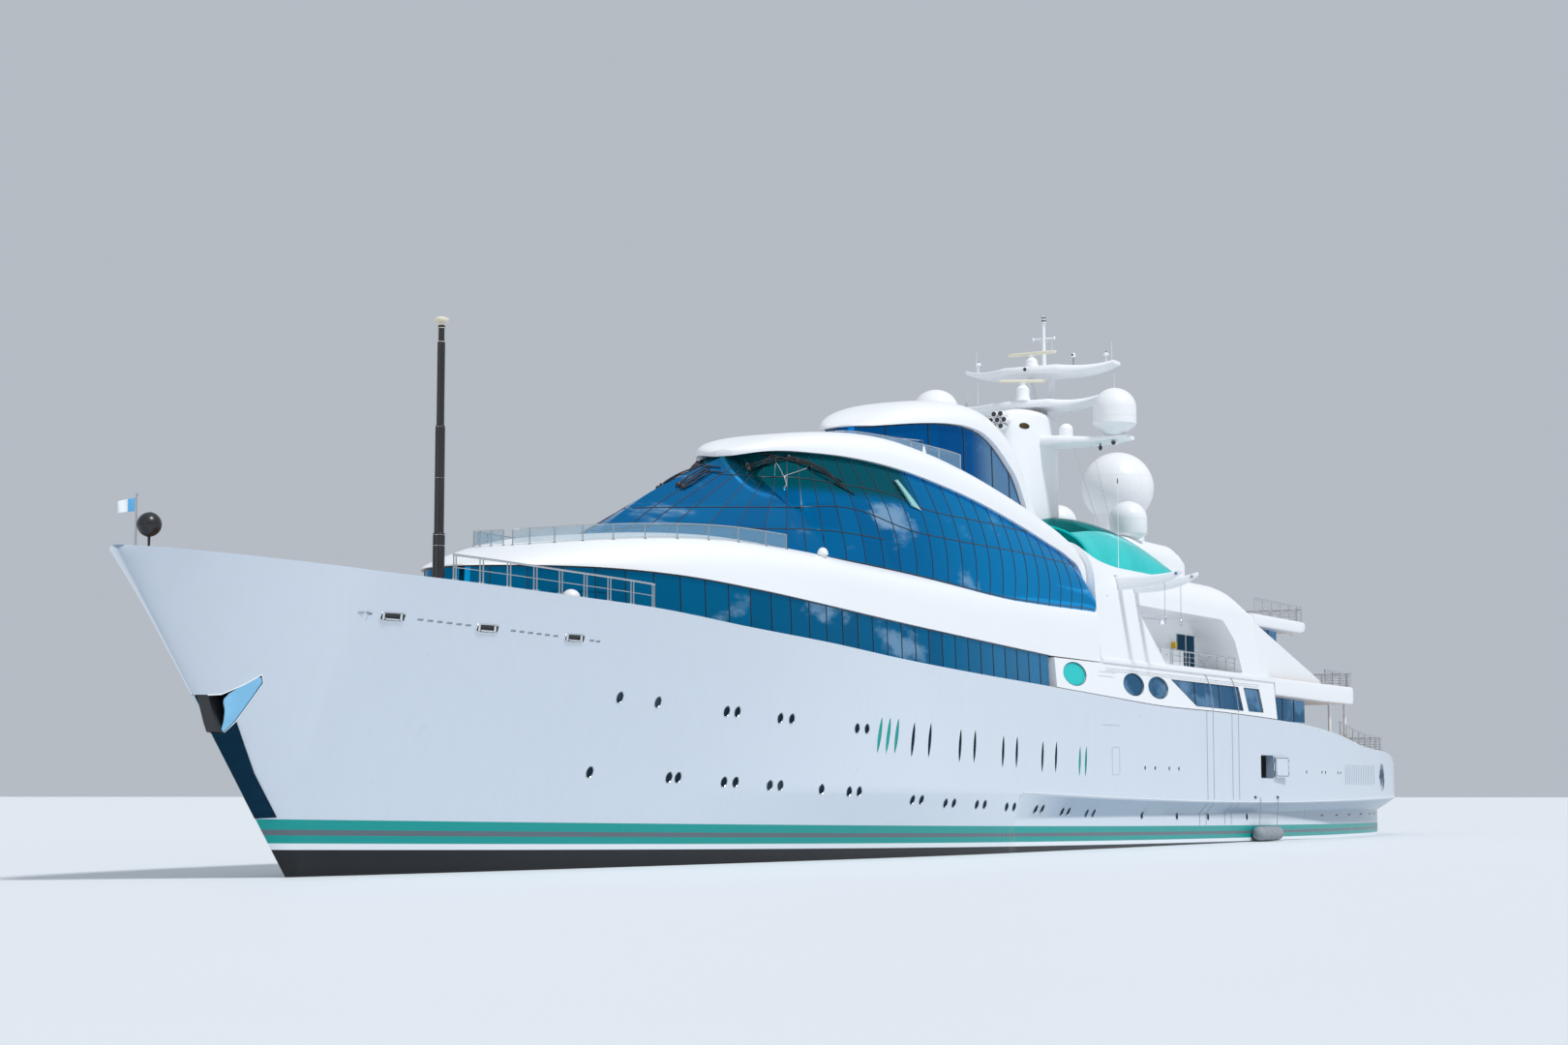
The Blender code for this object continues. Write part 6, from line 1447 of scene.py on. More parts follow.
def wing_surface(cx, port, starboard, z, thick, chord, tip_chord, rise, sides=28):
    """Sections across the ship, flat inside a third of the span, then tapering and sweeping up."""
    f = np.concatenate([-closer(0.35, 1.0, 22)[::-1], closer(0.35, 1.0, 22)])
    y = f * np.where(f > 0, port, starboard)
    out = np.maximum(np.abs(f) - 0.35, 0) / 0.65
    half, lift, depth = chord + (tip_chord - chord) * out, rise * out**2.4, thick * (1 - 0.6 * out)
    t = 2 * np.pi * np.arange(sides) / sides
    round_x = np.sign(np.cos(t)) * np.abs(np.cos(t))**0.30
    round_z = np.sign(np.sin(t)) * np.abs(np.sin(t))**0.32
    x = (cx - 0.06 * out)[:, None] + half[:, None] * round_x
    height = (z + lift + 0.5 * depth)[:, None] + 0.5 * depth[:, None] * round_z
    return np.stack([x, y[:, None] + 0 * x, height], -1)


def build_tower():
    """Elliptical tower with a domed head, drawn in by cosines, and a raked strut up to the next wing."""
    turn = np.radians([0, 12, 25, 38, 50, 62, 74, 86])
    share = np.concatenate([[1.0, 1.0, 0.995], 0.985 * np.cos(turn)])
    z = np.concatenate([[ROOF - 0.01, 2.30, 2.45], TOWER_TOP + 0.055 * np.sin(turn)])
    t = 2 * np.pi * np.arange(72) / 72
    ring = np.stack([TOWER_X + TOWER_HALF[0] * share[:, None] * np.cos(t),
                     TOWER_HALF[1] * share[:, None] * np.sin(t), z[:, None] + 0 * share[:, None] * t], -1)
    tower = Shape().grid(ring, False, True, True)
    strut = [(-1.22 - 0.04, TOWER_TOP - 0.02), (-1.22 + 0.04, TOWER_TOP - 0.02), (-1.23 + 0.04, 2.655),
             (-1.23 - 0.04, 2.655)]
    tower.prism(strut, -0.05, 0.05)
    tower.piece("mast_tower", white_paint, "white_paint", "ship", ["tower"])


def build_wings():
    """The three wings with what is fixed on them: necks under the scanners, struts and a small dome."""
    for name, stands_for, *sizes in WINGS:
        wing = Shape().grid(wing_surface(*sizes), False, True, True)
        deck = sizes[3] + sizes[4]
        if name == "wing_middle":
            for side in (-1, 1):
                rings = [[(x - 0.028, side * y - 0.01, z), (x + 0.028, side * y - 0.01, z),
                          (x + 0.028, side * y + 0.01, z), (x - 0.028, side * y + 0.01, z)]
                         for x, y, z in ((-1.245, 0.045, deck - 0.01), (-1.205, 0.075, 2.864))]
                wing.grid(rings, False, True, True)
        if name == "wing_lower":
            t = np.radians(np.linspace(0, 86, 10))
            profile = [(0.044, 0.0), (0.044, 0.006), (0.042, 0.008), (0.042, 0.051)]
            profile += list(zip(0.042 * np.cos(t), 0.052 + 0.038 * np.sin(t)))
            wing.turned((sizes[0], 0.235, deck - 0.006), profile, 40)
        for scanner, (x, y, z), half, turn, seat in SCANNERS:
            if abs(seat - deck) < 0.01:
                wing.turned((x, y, 0), [(0.046, deck - 0.006), (0.044, deck + 0.012), (0.040, deck + 0.02),
                                        (0.040, z - 0.03), (0.030, z - 0.02), (0.024, z - 0.012)], 40)
        wing.piece(name, white_paint, "white_paint", "ship", [stands_for], sharp=40)


def build_scanners():
    """Radar bars: a long cream housing with rounded ends on a white bearing, each turning on its own axis."""
    for name, (x, y, z), half, turn, seat in SCANNERS:
        t = 2 * np.pi * np.arange(24) / 24
        s = np.linspace(-1, 1, 41)
        swell = (1 - np.abs(s)**9)**0.4 * 0.999 + 0.001
        cx = 0.016 * np.sign(np.cos(t)) * np.abs(np.cos(t))**0.6
        cz = 0.010 * np.sign(np.sin(t)) * np.abs(np.sin(t))**0.6
        ring = np.stack([swell[:, None] * cx, (half * s)[:, None] + 0 * cx, 0.016 + swell[:, None] * cz], -1)
        bar = Shape().grid(ring, False, True, True).moved((x, y, z), math.radians(turn))
        bar.piece(name + "_bar", cream, "cream_plastic", name, [name])
        hub = Shape().turned((x, y, z), [(0.018, -0.0116), (0.018, 0.002), (0.022, 0.004), (0.022, 0.007)], 32)
        hub.piece(name + "_hub", white_paint, "white_paint", name)


build_tower()
build_wings()
build_scanners()

# %% [markdown]
# Radomes are moulded shells: a ball or a capped drum on a flared foot, with thin joints where the mouldings
# meet. Each is a profile turned about an upright line. The joints are slim raised bands on the same profile.

# %% Domes
def ball_profile(radius, centre, start, foot):
    """Foot rows, then a ball from the start angle to near its top: r cos(a), centre + r sin(a)."""
    a = np.linspace(start, math.radians(89), 40)
    return foot + list(zip(radius * np.cos(a), centre + radius * np.sin(a)))


def capped_profile(radius, wall, cap, foot):
    """Foot rows, a straight wall, and an elliptical cap."""
    a = np.radians(np.linspace(0, 89, 20))
    return foot + list(zip(radius * np.cos(a), wall + cap * np.sin(a)))


def joint_band(shape, centre, radius, height, turns=64):
    """A raised joint: a thin ring round the dome at one height."""
    t = 2 * np.pi * np.arange(turns) / turns
    path = np.stack([centre[0] + radius * np.cos(t), centre[1] + radius * np.sin(t), height + 0 * t], 1)
    return shape.sweep(path, 0.0011, 5, closed=True)


def build_domes():
    """Every dome with its joints, in the place of its frame node."""
    start = math.asin((2.135 - 2.31) / 0.235)
    big = Shape().turned((-2.50, 0.0, 0.0), ball_profile(0.235, 2.31, start, [
        (0.17, SUN_TOP + 0.0004), (0.172, SUN_TOP + 0.004), (0.168, SUN_TOP + 0.06), (0.155, 2.128)]), 96)
    for a in (-0.2, 0.28):
        joint_band(big, (-2.50, 0.0), 0.235 * math.cos(a), 2.31 + 0.235 * math.sin(a))
    t = np.linspace(-0.2, 0.28, 9)
    for turn in np.radians(np.arange(15, 360, 45)):
        path = np.stack([-2.50 + 0.235 * np.cos(t) * math.cos(turn), 0.235 * np.cos(t) * math.sin(turn),
                         2.31 + 0.235 * np.sin(t)], 1)
        big.sweep(path, 0.0010, 4)
    big.piece("dome_big", dome_white, "white_plastic", "ship", ["radome_big"])
    for side, side_name in ((1, "port"), (-1, "starboard")):
        foot = (-2.05, side * 0.24, SUN_TOP - 0.045)
        profile = capped_profile(0.120, 0.162, 0.115, [(0.06, 0.0), (0.06, 0.03), (0.116, 0.062), (0.120, 0.07)])
        dome = Shape().turned(foot, profile, 64)
        joint_band(dome, foot, 0.120, foot[2] + 0.16)
        dome.piece("dome_" + side_name, dome_white, "white_plastic", "ship", ["radome_" + side_name])
    foot = (-1.04, 0.545, 2.464)
    profile = capped_profile(0.130, 0.152, 0.125, [(0.050, -0.0124), (0.085, 0.020), (0.122, 0.048), (0.130, 0.058)])
    mast_dome = Shape().turned(foot, profile, 72)
    joint_band(mast_dome, foot, 0.130, foot[2] + 0.10)
    mast_dome.piece("dome_mast", dome_white, "white_plastic", "ship", ["radome_mast"])
    foot = (0.34, 0.0, 2.40)
    roof = Shape().turned(foot, capped_profile(0.125, 0.076, 0.109, [(0.127, 0.0), (0.125, 0.01)]), 72)
    joint_band(roof, foot, 0.125, foot[2] + 0.076)
    for turn in np.radians((30, 120, 210, 300)):
        a = np.radians(np.linspace(2, 84, 12))
        path = np.stack([foot[0] + 0.125 * np.cos(a) * math.cos(turn), 0.125 * np.cos(a) * math.sin(turn),
                         foot[2] + 0.076 + 0.109 * np.sin(a)], 1)
        roof.sweep(path, 0.0009, 4)
    roof.piece("dome_roof", dome_white, "white_plastic", "ship", ["radome_roof"])


build_domes()
print("domes", [n for n in pieces if n.startswith("dome_")])

# %% [markdown]
# Rails on a ship are bent pipe with posts under it and thinner bars between. On the after decks there are five bars,
# on the foredeck one bar and posts in pairs. A path on the deck is lifted to each bar's height and swept with a
# small circle, and the posts stand at even steps of the path's length.

# %% Rails
def build_rail(name, path, height, count, bars, pair=0.0, body="ship"):
    """Top bar and lower bars are the path raised; posts are placed by interpolating along its length."""
    path = np.asarray(path, float)
    lengths = np.append(0, np.cumsum(np.linalg.norm(np.diff(path, axis=0), axis=1)))
    places = np.arange(count + 1.0)
    places[0], places[-1] = 0.04, count - 0.04
    places *= lengths[-1] / count
    if pair:
        places = np.sort(np.concatenate([places - pair / 2, places + pair / 2]).clip(0.002, lengths[-1] - 0.002))
    feet = np.stack([np.interp(places, lengths, axis) for axis in path.T], 1)
    rail = Shape().sweep(path + (0, 0, height), 0.0042, 12)
    for share in bars:
        rail.sweep(path + (0, 0, height * share), 0.0018, 8)
    for foot in feet:
        rail.tube(foot, foot + (0, 0, height), 0.0030, 0.0026, 8)
        rail.tube(foot, foot + (0, 0, 0.003), 0.0062, 0.0058, 10)
    return rail.piece(name + "_bars", steel, "steel", body, [name])


def side_path(x0, x1, floor, half, count):
    """Points on the port side from x0 to x1."""
    x = np.linspace(x0, x1, count)
    return np.stack([x, half(x) + 0 * x, floor(x) + 0 * x], 1)


def build_rails():
    """After rails run round the stern of each deck; the foredeck and bay rails come in pairs."""
    five = (0.18, 0.36, 0.54, 0.72, 0.87)
    rows = [
        ("rail_third_deck", side_path(-3.20, -4.46, lambda x: 1.5045, lambda x: third_half(x) - 0.016, 7), 20),
        ("rail_upper_deck", side_path(-4.72, -5.40, lambda x: UPPER_FLOOR, lambda x: 0.70, 7), 15),
        ("rail_main_deck", side_path(-5.02, -6.44, lambda x: hull_line(x, 2) + 0.0006,
                                     lambda x: hull_line(x, 1) - 0.025, 7), 22),
    ]
    for name, port, count in rows:
        x, y, z = port[-1]
        middle = z + (0.005 if name == "rail_main_deck" else 0.0)
        corner = np.array([(x - 0.03, y - 0.05, middle), (x - 0.03, 0.05 - y, middle)])
        build_rail(name, np.concatenate([port, corner, port[::-1] * (1, -1, 1)]), 0.105, count, five)
    foredeck = side_path(4.52, 5.74, lambda x: hull_line(x, 2) + 0.001, lambda x: hull_line(x, 1) - 0.0055, 9)
    bay = side_path(-2.74, -1.52, lambda x: UPPER_FLOOR + 0.0036, lambda x: side_y(1.16) - 0.02, 3)
    for side, side_name in ((1, "port"), (-1, "starboard")):
        build_rail("rail_foredeck_" + side_name, foredeck * (1, side, 1), 0.095, 8, (0.5,), 0.018)
        build_rail("rail_bay_" + side_name, bay * (1, side, 1), 0.095, 7, (0.33, 0.66))


build_rails()
print("rails", [n for n in pieces if n.startswith("rail")])

# %% [markdown]
# A boat davit is a tapering beam that runs out sideways from its slot. A wire with a block and a hook hangs
# near its tip. The beam is a superellipse section along its length, and each davit rides on its own body, so
# that it slides in and out with everything that hangs from it.

# %% Boat davits
DAVIT_ROOT = 0.50
# along the beam: y, half width, half height, rise
BEAM_ROWS = np.array([(0.50, 0.031, 0.041, 0.0), (0.74, 0.031, 0.041, 0.0), (0.84, 0.029, 0.038, 0.003),
                      (0.94, 0.024, 0.030, 0.014), (1.02, 0.017, 0.021, 0.033), (1.08, 0.010, 0.012, 0.058)])
HOOK_Y, HOOK_DROP = 0.97, 0.205


def build_davits():
    """Beam sections between the rows, smoothed, with a steel tip, and a wire, block and hook below."""
    y = np.concatenate([[0.50, 0.503], np.linspace(0.52, 1.072, 34), [1.078, 1.08]])
    wide, deep, rise = (curve(BEAM_ROWS[:, (0, k)], y) for k in (1, 2, 3))
    shut = np.interp(y, [0.50, 0.503, 1.076, 1.08], [0.93, 1.0, 1.0, 0.6])
    t = 2 * np.pi * np.arange(32) / 32
    cx, cz = np.sign(np.cos(t)) * np.abs(np.cos(t))**0.45, np.sign(np.sin(t)) * np.abs(np.sin(t))**0.45
    for side, side_name in ((1, "port"), (-1, "starboard")):
        for at, end_name in zip(DAVIT_X, ("fore", "aft")):
            name = "davit_%s_%s" % (side_name, end_name)
            ring = np.stack([at + (wide * shut * 0.985)[:, None] * cx, side * y[:, None] + 0 * cx,
                             DAVIT_Z + rise[:, None] + (deep * shut * 0.985)[:, None] * cz], -1)
            beam = Shape().grid(ring, False, True, True)
            beam.piece(name + "_beam", white_paint, "white_paint", name, [name])
            under = DAVIT_Z + float(np.interp(HOOK_Y, y, rise - deep))
            low = under - HOOK_DROP
            gear = Shape()
            for shift in (-0.006, 0.006):
                gear.tube((at + shift, side * HOOK_Y, under + 0.004), (at + shift * 0.5, side * HOOK_Y, low), 0.0009,
                          sides=6)
            gear.turned((at, side * HOOK_Y, low - 0.016), [(0.003, 0.022), (0.0075, 0.016), (0.0085, 0.004),
                                                         (0.006, -0.002), (0.002, -0.006)], 16)
            turn = np.linspace(-0.5 * np.pi, 1.05 * np.pi, 18)
            bend = np.stack([at + 0 * turn, side * HOOK_Y + 0.006 * np.cos(turn), low - 0.029 + 0.006 * np.sin(turn)],
                            1)
            gear.sweep(bend, 0.0016, 6)
            gear.sweep(np.stack([at + 1.03 * 0.0305 * cx, side * 0.985 + 0 * cx,
                                 DAVIT_Z + 0.0225 + 0 * cx], 1)[:2], 0.001, 4)
            sheave_y, sheave_z = side * 1.045, DAVIT_Z + float(np.interp(1.045, y, rise))
            gear.turned((at, sheave_y, sheave_z), [(0.009, -0.017), (0.010, -0.015), (0.010, 0.015), (0.009, 0.017)], 20,
                        "X")
            gear.piece(name + "_tackle", steel, "steel", name)


build_davits()
print("davits", [n for n in pieces if n.startswith("davit")])

# %% [markdown]
# On the port side a boarding door is swung right back on its after edge. It is a flat leaf with a frame round its
# inner face. A grey fender hangs by two lines below it, so that a tender can come alongside.

# %% Side door and fender
HINGE, HINGE_R, DOOR_OPEN = DOOR_X[0] - 0.004, 0.0036, math.radians(177.0)
FENDER_X, FENDER_HALF, FENDER_R = -3.25, 0.184, 0.046


def build_side_door():
    """The leaf is made shut, along x from the hinge, then turned open about the hinge's upright line."""
    z0, z1 = DOOR_Z
    middle = 0.5 * (z0 + z1)
    axis_y = float(side_at(DOOR_X[0], middle)) + HINGE_R + 0.0008
    length = DOOR_X[1] - HINGE - 0.005
    low, high = z0 - middle + 0.005, z1 - middle - 0.005
    leaf = Shape().prism(loop([(0.0095, low), (length, low), (length, high), (0.0095, high)], 0.008, 6),
                         -0.0131, -0.0012)
    leaf.box((0.0, -0.003, -0.022), (0.022, 0.002, 0.022)).tube((0, 0, -0.03), (0, 0, 0.03), HINGE_R, sides=20)
    place = dict(offset=(HINGE, axis_y, middle), turn=DOOR_OPEN)
    leaf.moved(**place).piece("side_door_leaf", hull_paint, "white_paint", "side_door", ["side_door"])
    inner = loop([(0.02, low + 0.010), (length - 0.010, low + 0.010), (length - 0.010, high - 0.010),
                  (0.02, high - 0.010)], 0.008, 6)
    seal = Shape().sweep(np.stack([inner[:, 0], 0 * inner[:, 0] - 0.0135, inner[:, 1]], 1), 0.0016, 6, closed=True)
    for z in (low + 0.03, 0.0, high - 0.03):
        seal.box((length - 0.012, -0.0150, z - 0.003), (length - 0.001, -0.0128, z + 0.003))
    seal.moved(**place).piece("side_door_seal", dark_trim, "black_paint", "side_door")
    frame_line = loop([(DOOR_X[0] - 0.001, z0), (DOOR_X[1], z0), (DOOR_X[1], z1), (DOOR_X[0] - 0.001, z1)], 0.004, 5)
    x, z = frame_line.T
    Shape().sweep(np.stack([x, side_at(x, z) + 0.0004, z], 1), 0.0018, 6, closed=True).piece(
        "side_door_frame", steel, "steel")
    # Painted shade: black sheets over the back of the door's recess and its after jamb stand for the dark inside of the
    # doorway.
    doorway_shade = Shape()
    back = 0.75 - DOOR_DEPTH
    doorway_shade.box((DOOR_X[0] + 0.03, back - 0.002, z0 + 0.004), (DOOR_X[1] - 0.01, back + 0.003, z1 - 0.004))
    doorway_shade.box((DOOR_X[0] - 0.002, back - 0.002, z0 + 0.002), (DOOR_X[0] + 0.004, 0.704, z1 - 0.002))
    doorway_shade.piece("side_door_shade", black_paint, "black_paint")
    brass_post = Shape().tube((DOOR_X[0] + 0.008, 0.668, z0 - 0.002), (DOOR_X[0] + 0.008, 0.668, z1 + 0.002), 0.0035, sides=12)
    brass_post.piece("side_door_post", brass, "steel")


def build_fender():
    """A capped cylinder along the ship, ringed where its ends are bound, with two lines up to the fairleads."""
    y, z = float(side_at(FENDER_X, 0.09)) + FENDER_R + 0.004, 0.052
    a = np.radians(np.linspace(6, 90, 14))
    x = FENDER_HALF + FENDER_R * np.cos(a[::-1])
    r = FENDER_R * np.sin(a[::-1])
    profile = [(q, -p) for p, q in zip(x[::-1], r[::-1])] + list(zip(r, x))
    body = Shape().turned((FENDER_X, y, z), profile, 48, "X")
    for at in (-0.5, -0.17, 0.17, 0.5):
        t = 2 * np.pi * np.arange(40) / 40
        body.sweep(np.stack([FENDER_X + at * 2 * FENDER_HALF * 0.9 + 0 * t, y + FENDER_R * np.cos(t),
                             z + FENDER_R * np.sin(t)], 1), 0.0018, 5, closed=True)
    body.piece("fender_body", grey_rubber, "grey_rubber", "ship", ["fender"])
    lines = Shape()
    for at in (FENDER_X - FENDER_HALF, FENDER_X + FENDER_HALF):
        top = float(side_at(at, 0.283))
        rim = max(float(side_at(at, 0.255)), top) + 0.0035
        lines.sweep([(at, top + 0.0015, 0.286), (at, rim, 0.276), (at, rim, 0.25), (at, y, z + 0.9 * FENDER_R)],
                    0.0018, 8)
    lines.piece("fender_lines", grey_rubber, "grey_rubber")


build_side_door()
build_fender()

# %% [markdown]
# The tall black pole on the foredeck is a telescope of tubes. Each tube ends in a bright ring and the lowest has a
# flange. The middle tube and the top rod ride on their own bodies. At the stem stand the jackstaff with a small
# pennant and the black ball that a ship shows at anchor. The anchor pocket has a polished web plate and shoe.

# %% Foremast
def build_foremast():
    """Tubes as turned walls: outer radius up, inner radius down, joined round. Rings and the head are turned."""
    x, y = FOREMAST
    for name, low, high, outer, inner in (("foremast_base", 0.5004, 1.36, 0.0246, 0.0207),
                                          ("foremast_middle", 0.95, 1.80, 0.0200, 0.0168)):
        t = 2 * np.pi * np.arange(48) / 48
        rows = [(outer, low), (outer, high - 0.003), (outer - 0.0012, high), (inner, high), (inner, low)]
        ring = np.stack([np.stack([x + r * np.cos(t), y + r * np.sin(t), h + 0 * t], -1) for r, h in rows])
        tube = Shape().grid(ring, True, True)
        body = "ship" if name == "foremast_base" else name
        tube.piece(name + "_tube", black_paint, "black_paint", body, [name])
        rings = Shape()
        for h in (high - 0.008, high - 0.052) if body == "ship" else (high - 0.006, 1.585):
            circle = np.stack([x + outer * np.cos(t), y + outer * np.sin(t), h + 0 * t], -1)
            rings.sweep(circle, 0.0013 if outer > 0.022 else 0.0007, 6, closed=True)
        if body == "ship":
            for h in (1.118, 1.075):
                rings.sweep(np.stack([x + outer * np.cos(t), y + outer * np.sin(t), h + 0 * t], -1), 0.0007, 6,
                            closed=True)
        rings.piece(name + "_rings", bright_steel, "steel", body)
    top = Shape().turned((x, y, 1.40), [(0.0158, 0), (0.0158, 0.742), (0.0125, 0.746), (0.0125, 0.800),
                                        (0.0145, 0.803), (0.0145, 0.812), (0.010, 0.814)], 40)
    top.piece("foremast_top_rod", black_paint, "black_paint", "foremast_top", ["foremast_top"])
    head = Shape().turned((x, y, 1.40), [(0.009, 0.812), (0.010, 0.822), (0.028, 0.828), (0.031, 0.834),
                                         (0.031, 0.839), (0.020, 0.846), (0.006, 0.850)], 40)
    for h in (0.745, 0.802):
        t = 2 * np.pi * np.arange(40) / 40
        head.sweep(np.stack([x + 0.0150 * np.cos(t), y + 0.0150 * np.sin(t), 1.40 + h + 0 * t], -1), 0.0012, 6,
                   closed=True)
    head.piece("foremast_head", cream, "cream_plastic", "foremast_top")


build_foremast()

# %% Stem gear
PENNANT = (0.062, 0.046)


def build_jackstaff():
    """Staff with a round truck, and a pennant: a flat grid whose waves grow away from the staff."""
    deck = float(hull_line(6.955, 2)) + 0.002
    staff = Shape().turned((6.955, 0, 0), [(0.010, deck), (0.0095, deck + 0.004), (0.0048, deck + 0.006),
                                           (0.0034, 1.334), (0.0058, 1.337), (0.0058, 1.343), (0.002, 1.345)], 24)
    staff.piece("jackstaff_pole", steel, "steel", "ship", ["jackstaff"])
    width, height = PENNANT
    u, v = np.meshgrid(np.linspace(0, 1, 33), np.linspace(0, 1, 17), indexing="ij")
    wave = 0.0042 * np.sin(2.6 * np.pi * u + 1.1 * v) * u**0.7
    reach, sag = width * u * 0.965, -0.012 * u**1.6 * (1 - 0.3 * v)
    way, across = np.array([0.42, -0.907, 0]), np.array([0.907, 0.42, 0])
    p = np.array([6.955, 0, 1.328]) + reach[..., None] * way + wave[..., None] * across
    p = p + (0.0045 * way) + np.stack([0 * u, 0 * u, sag - height * v], -1)
    cloth = Shape().grid(p, uv=np.stack([u, v], -1)).mesh("pennant", pennant_cloth, 60)
    modifier = cloth.modifiers.new("thickness", "SOLIDIFY")
    modifier.thickness, modifier.offset = 0.0004, 0.0
    fit(cloth)


def make_pennant_cloth():
    """Weave from one wave texture, in white, with a pale blue half next to the staff."""
    material, tree, shader = finish("pennant_cloth", Sheen_Weight=0.3)
    u, v, _ = node(tree, "SeparateXYZ", {0: place_of(tree, "UV")}).outputs
    weave = node(tree, "TexWave", {"Vector": place_of(tree, "UV"), "Scale": 60.0, "Distortion": 0.4}).outputs[1]
    got = placed(tree, breakup, {"Vector": place_of(tree), "Colour": (0.85, 0.87, 0.90, 1),
                                 "Other Colour": (0.70, 0.76, 0.84, 1), "Amount": 0.7, "Scale": 30.0,
                                 "Roughness": 0.75, "Spread": 0.1})
    blue = mix(tree, maths(tree, "LESS_THAN", u, 0.42), got["Colour"], (0.10, 0.42, 0.75, 1))
    tree.links.new(blue, shader["Base Color"])
    tree.links.new(got["Roughness"], shader["Roughness"])
    relief = node(tree, "Bump", {"Strength": 0.3, "Distance": 0.0005, "Height": weave})
    tree.links.new(relief.outputs[0], shader["Normal"])
    return material


def build_stem_gear():
    """Anchor ball with its bands, the web plate in the pocket, and the polished shoe round the stem."""
    x, z, r = 6.885, 1.242, 0.043
    a = np.radians(np.linspace(7, 173, 36))
    profile = [(0.004, float(hull_line(x, 2)) + 0.002 - z)] + list(zip(r * np.sin(a), -r * np.cos(a)))
    ball = Shape().turned((x, 0, z), profile, 48)
    t = 2 * np.pi * np.arange(48) / 48
    ball.sweep(np.stack([x + r * np.cos(t), r * np.sin(t), z + 0 * t], 1), 0.0010, 5, closed=True)
    ball.sweep(np.stack([x + 0 * t, r * np.cos(t), z + r * np.sin(t)], 1), 0.0010, 5, closed=True)
    ball.piece("anchor_ball_shell", black_paint, "black_paint", "ship", ["anchor_ball"])
    core = [(6.585, 0.6572), (6.563, 0.6572), (6.504, 0.692), (6.460, 0.726), (6.443, 0.702), (6.463, 0.633),
            (6.481, 0.567), (6.500, 0.5245), (6.527, 0.527), (6.545, 0.560)]
    # Painted reflection: the web plate is black paint, standing in for the dark sea mirrored in polished metal.
    Shape().prism(core, -0.026, 0.026).piece("anchor_web", black_paint, "dark_steel", "ship", ["anchor_pocket"])
    z = np.linspace(0.527, 0.722, 14)
    aft = curve([(0.523, 6.496), (0.567, 6.477), (0.633, 6.459), (0.702, 6.438), (0.731, 6.452)], z)
    fore = curve([(0.523, 6.506), (0.560, 6.512), (0.600, 6.524), (0.657, 6.540), (0.694, 6.502), (0.731, 6.456)], z)
    across = np.linspace(0, 1, 8)[None]
    x = aft[:, None] + (fore - aft)[:, None] * across
    outer = np.stack([x, side_at(x, z[:, None]) - 0.005, z[:, None] + 0 * x], -1)
    inner = outer - (0.0, 0.004, 0.0)
    plates = Shape().grid(np.concatenate([outer, inner[:, ::-1]], 1), False, True, True)
    plates.mirrored().piece("anchor_pocket_plates", pocket_plate, "dark_steel")


def stem_ring_rows(x, grow):
    """Stem sections made larger by grow, as the shoe's outer and inner faces."""
    share = (np.linspace(0, 1, 34)**1.6)[None]
    base, top = ((x - STEM_FOOT) * STEM_RISE)[:, None], hull_line(x, 2)[:, None]
    y = hull_line(x, 1)[:, None] * share**0.82
    y = np.where(share > 0, y + grow, 0.0)
    z = base + (top - base) * share
    z = np.append(z, top + 0.002 + grow, 1)
    y = np.append(y, 0 * top, 1)
    z[:, 0] -= 1.8 * grow
    return both_sides(x, y, z)


def build_stem_shoe():
    """The grown sections less the hull's own, kept only between the slanted ends of the shoe."""
    x = np.linspace(6.13, 6.88, 40)
    shoe = Shape().grid(stem_ring_rows(x, 0.0042), False, True, True).mesh("stem_shoe_plate", dark_steel)
    foot = STEM_FOOT + 0.215 / STEM_RISE
    ends = [(5.9, 0.01), (foot + 0.13, 0.01), (foot + 0.04, 0.215), (6.217, 0.221), (6.350, 0.379), (6.4800, 0.564),
            (6.5005, 0.5225), (7.3, 0.5225), (7.3, 1.3), (5.9, 1.3)]
    carve(shoe, Shape().grid(stem_ring_rows(np.linspace(6.12, 6.90, 40), 0.0004), False, True, True),
          Shape().prism(ends, -0.6, 0.6))
    fit(shoe, "ship", ["stem_shoe"])


def build_pocket_lip():
    """A bright lip round the pocket's mouth on both sides, following the plating."""
    way = np.concatenate([[(6.600, 0.6562)], np.array(MOUTH) + (0.0, 0.001)])
    x, z = np.concatenate([np.linspace(a, b, 8) for a, b in zip(way[:-1], way[1:])]).T
    lip = Shape().sweep(np.stack([x, side_at(x, z) + 0.0004, z], 1), 0.0020, 8)
    lip.mirrored().piece("anchor_pocket_lip", white_paint, "white_paint")


pennant_cloth = make_pennant_cloth()
build_jackstaff()
build_stem_gear()
build_stem_shoe()
build_pocket_lip()
print("stem gear", pieces["stem_shoe_plate"])

# %% [markdown]
# Two windlasses stand on one bed in the foredeck well: a drum for the mooring rope and a toothed wheel
# for the chain, on a motor housing. Turned profiles give the drums.

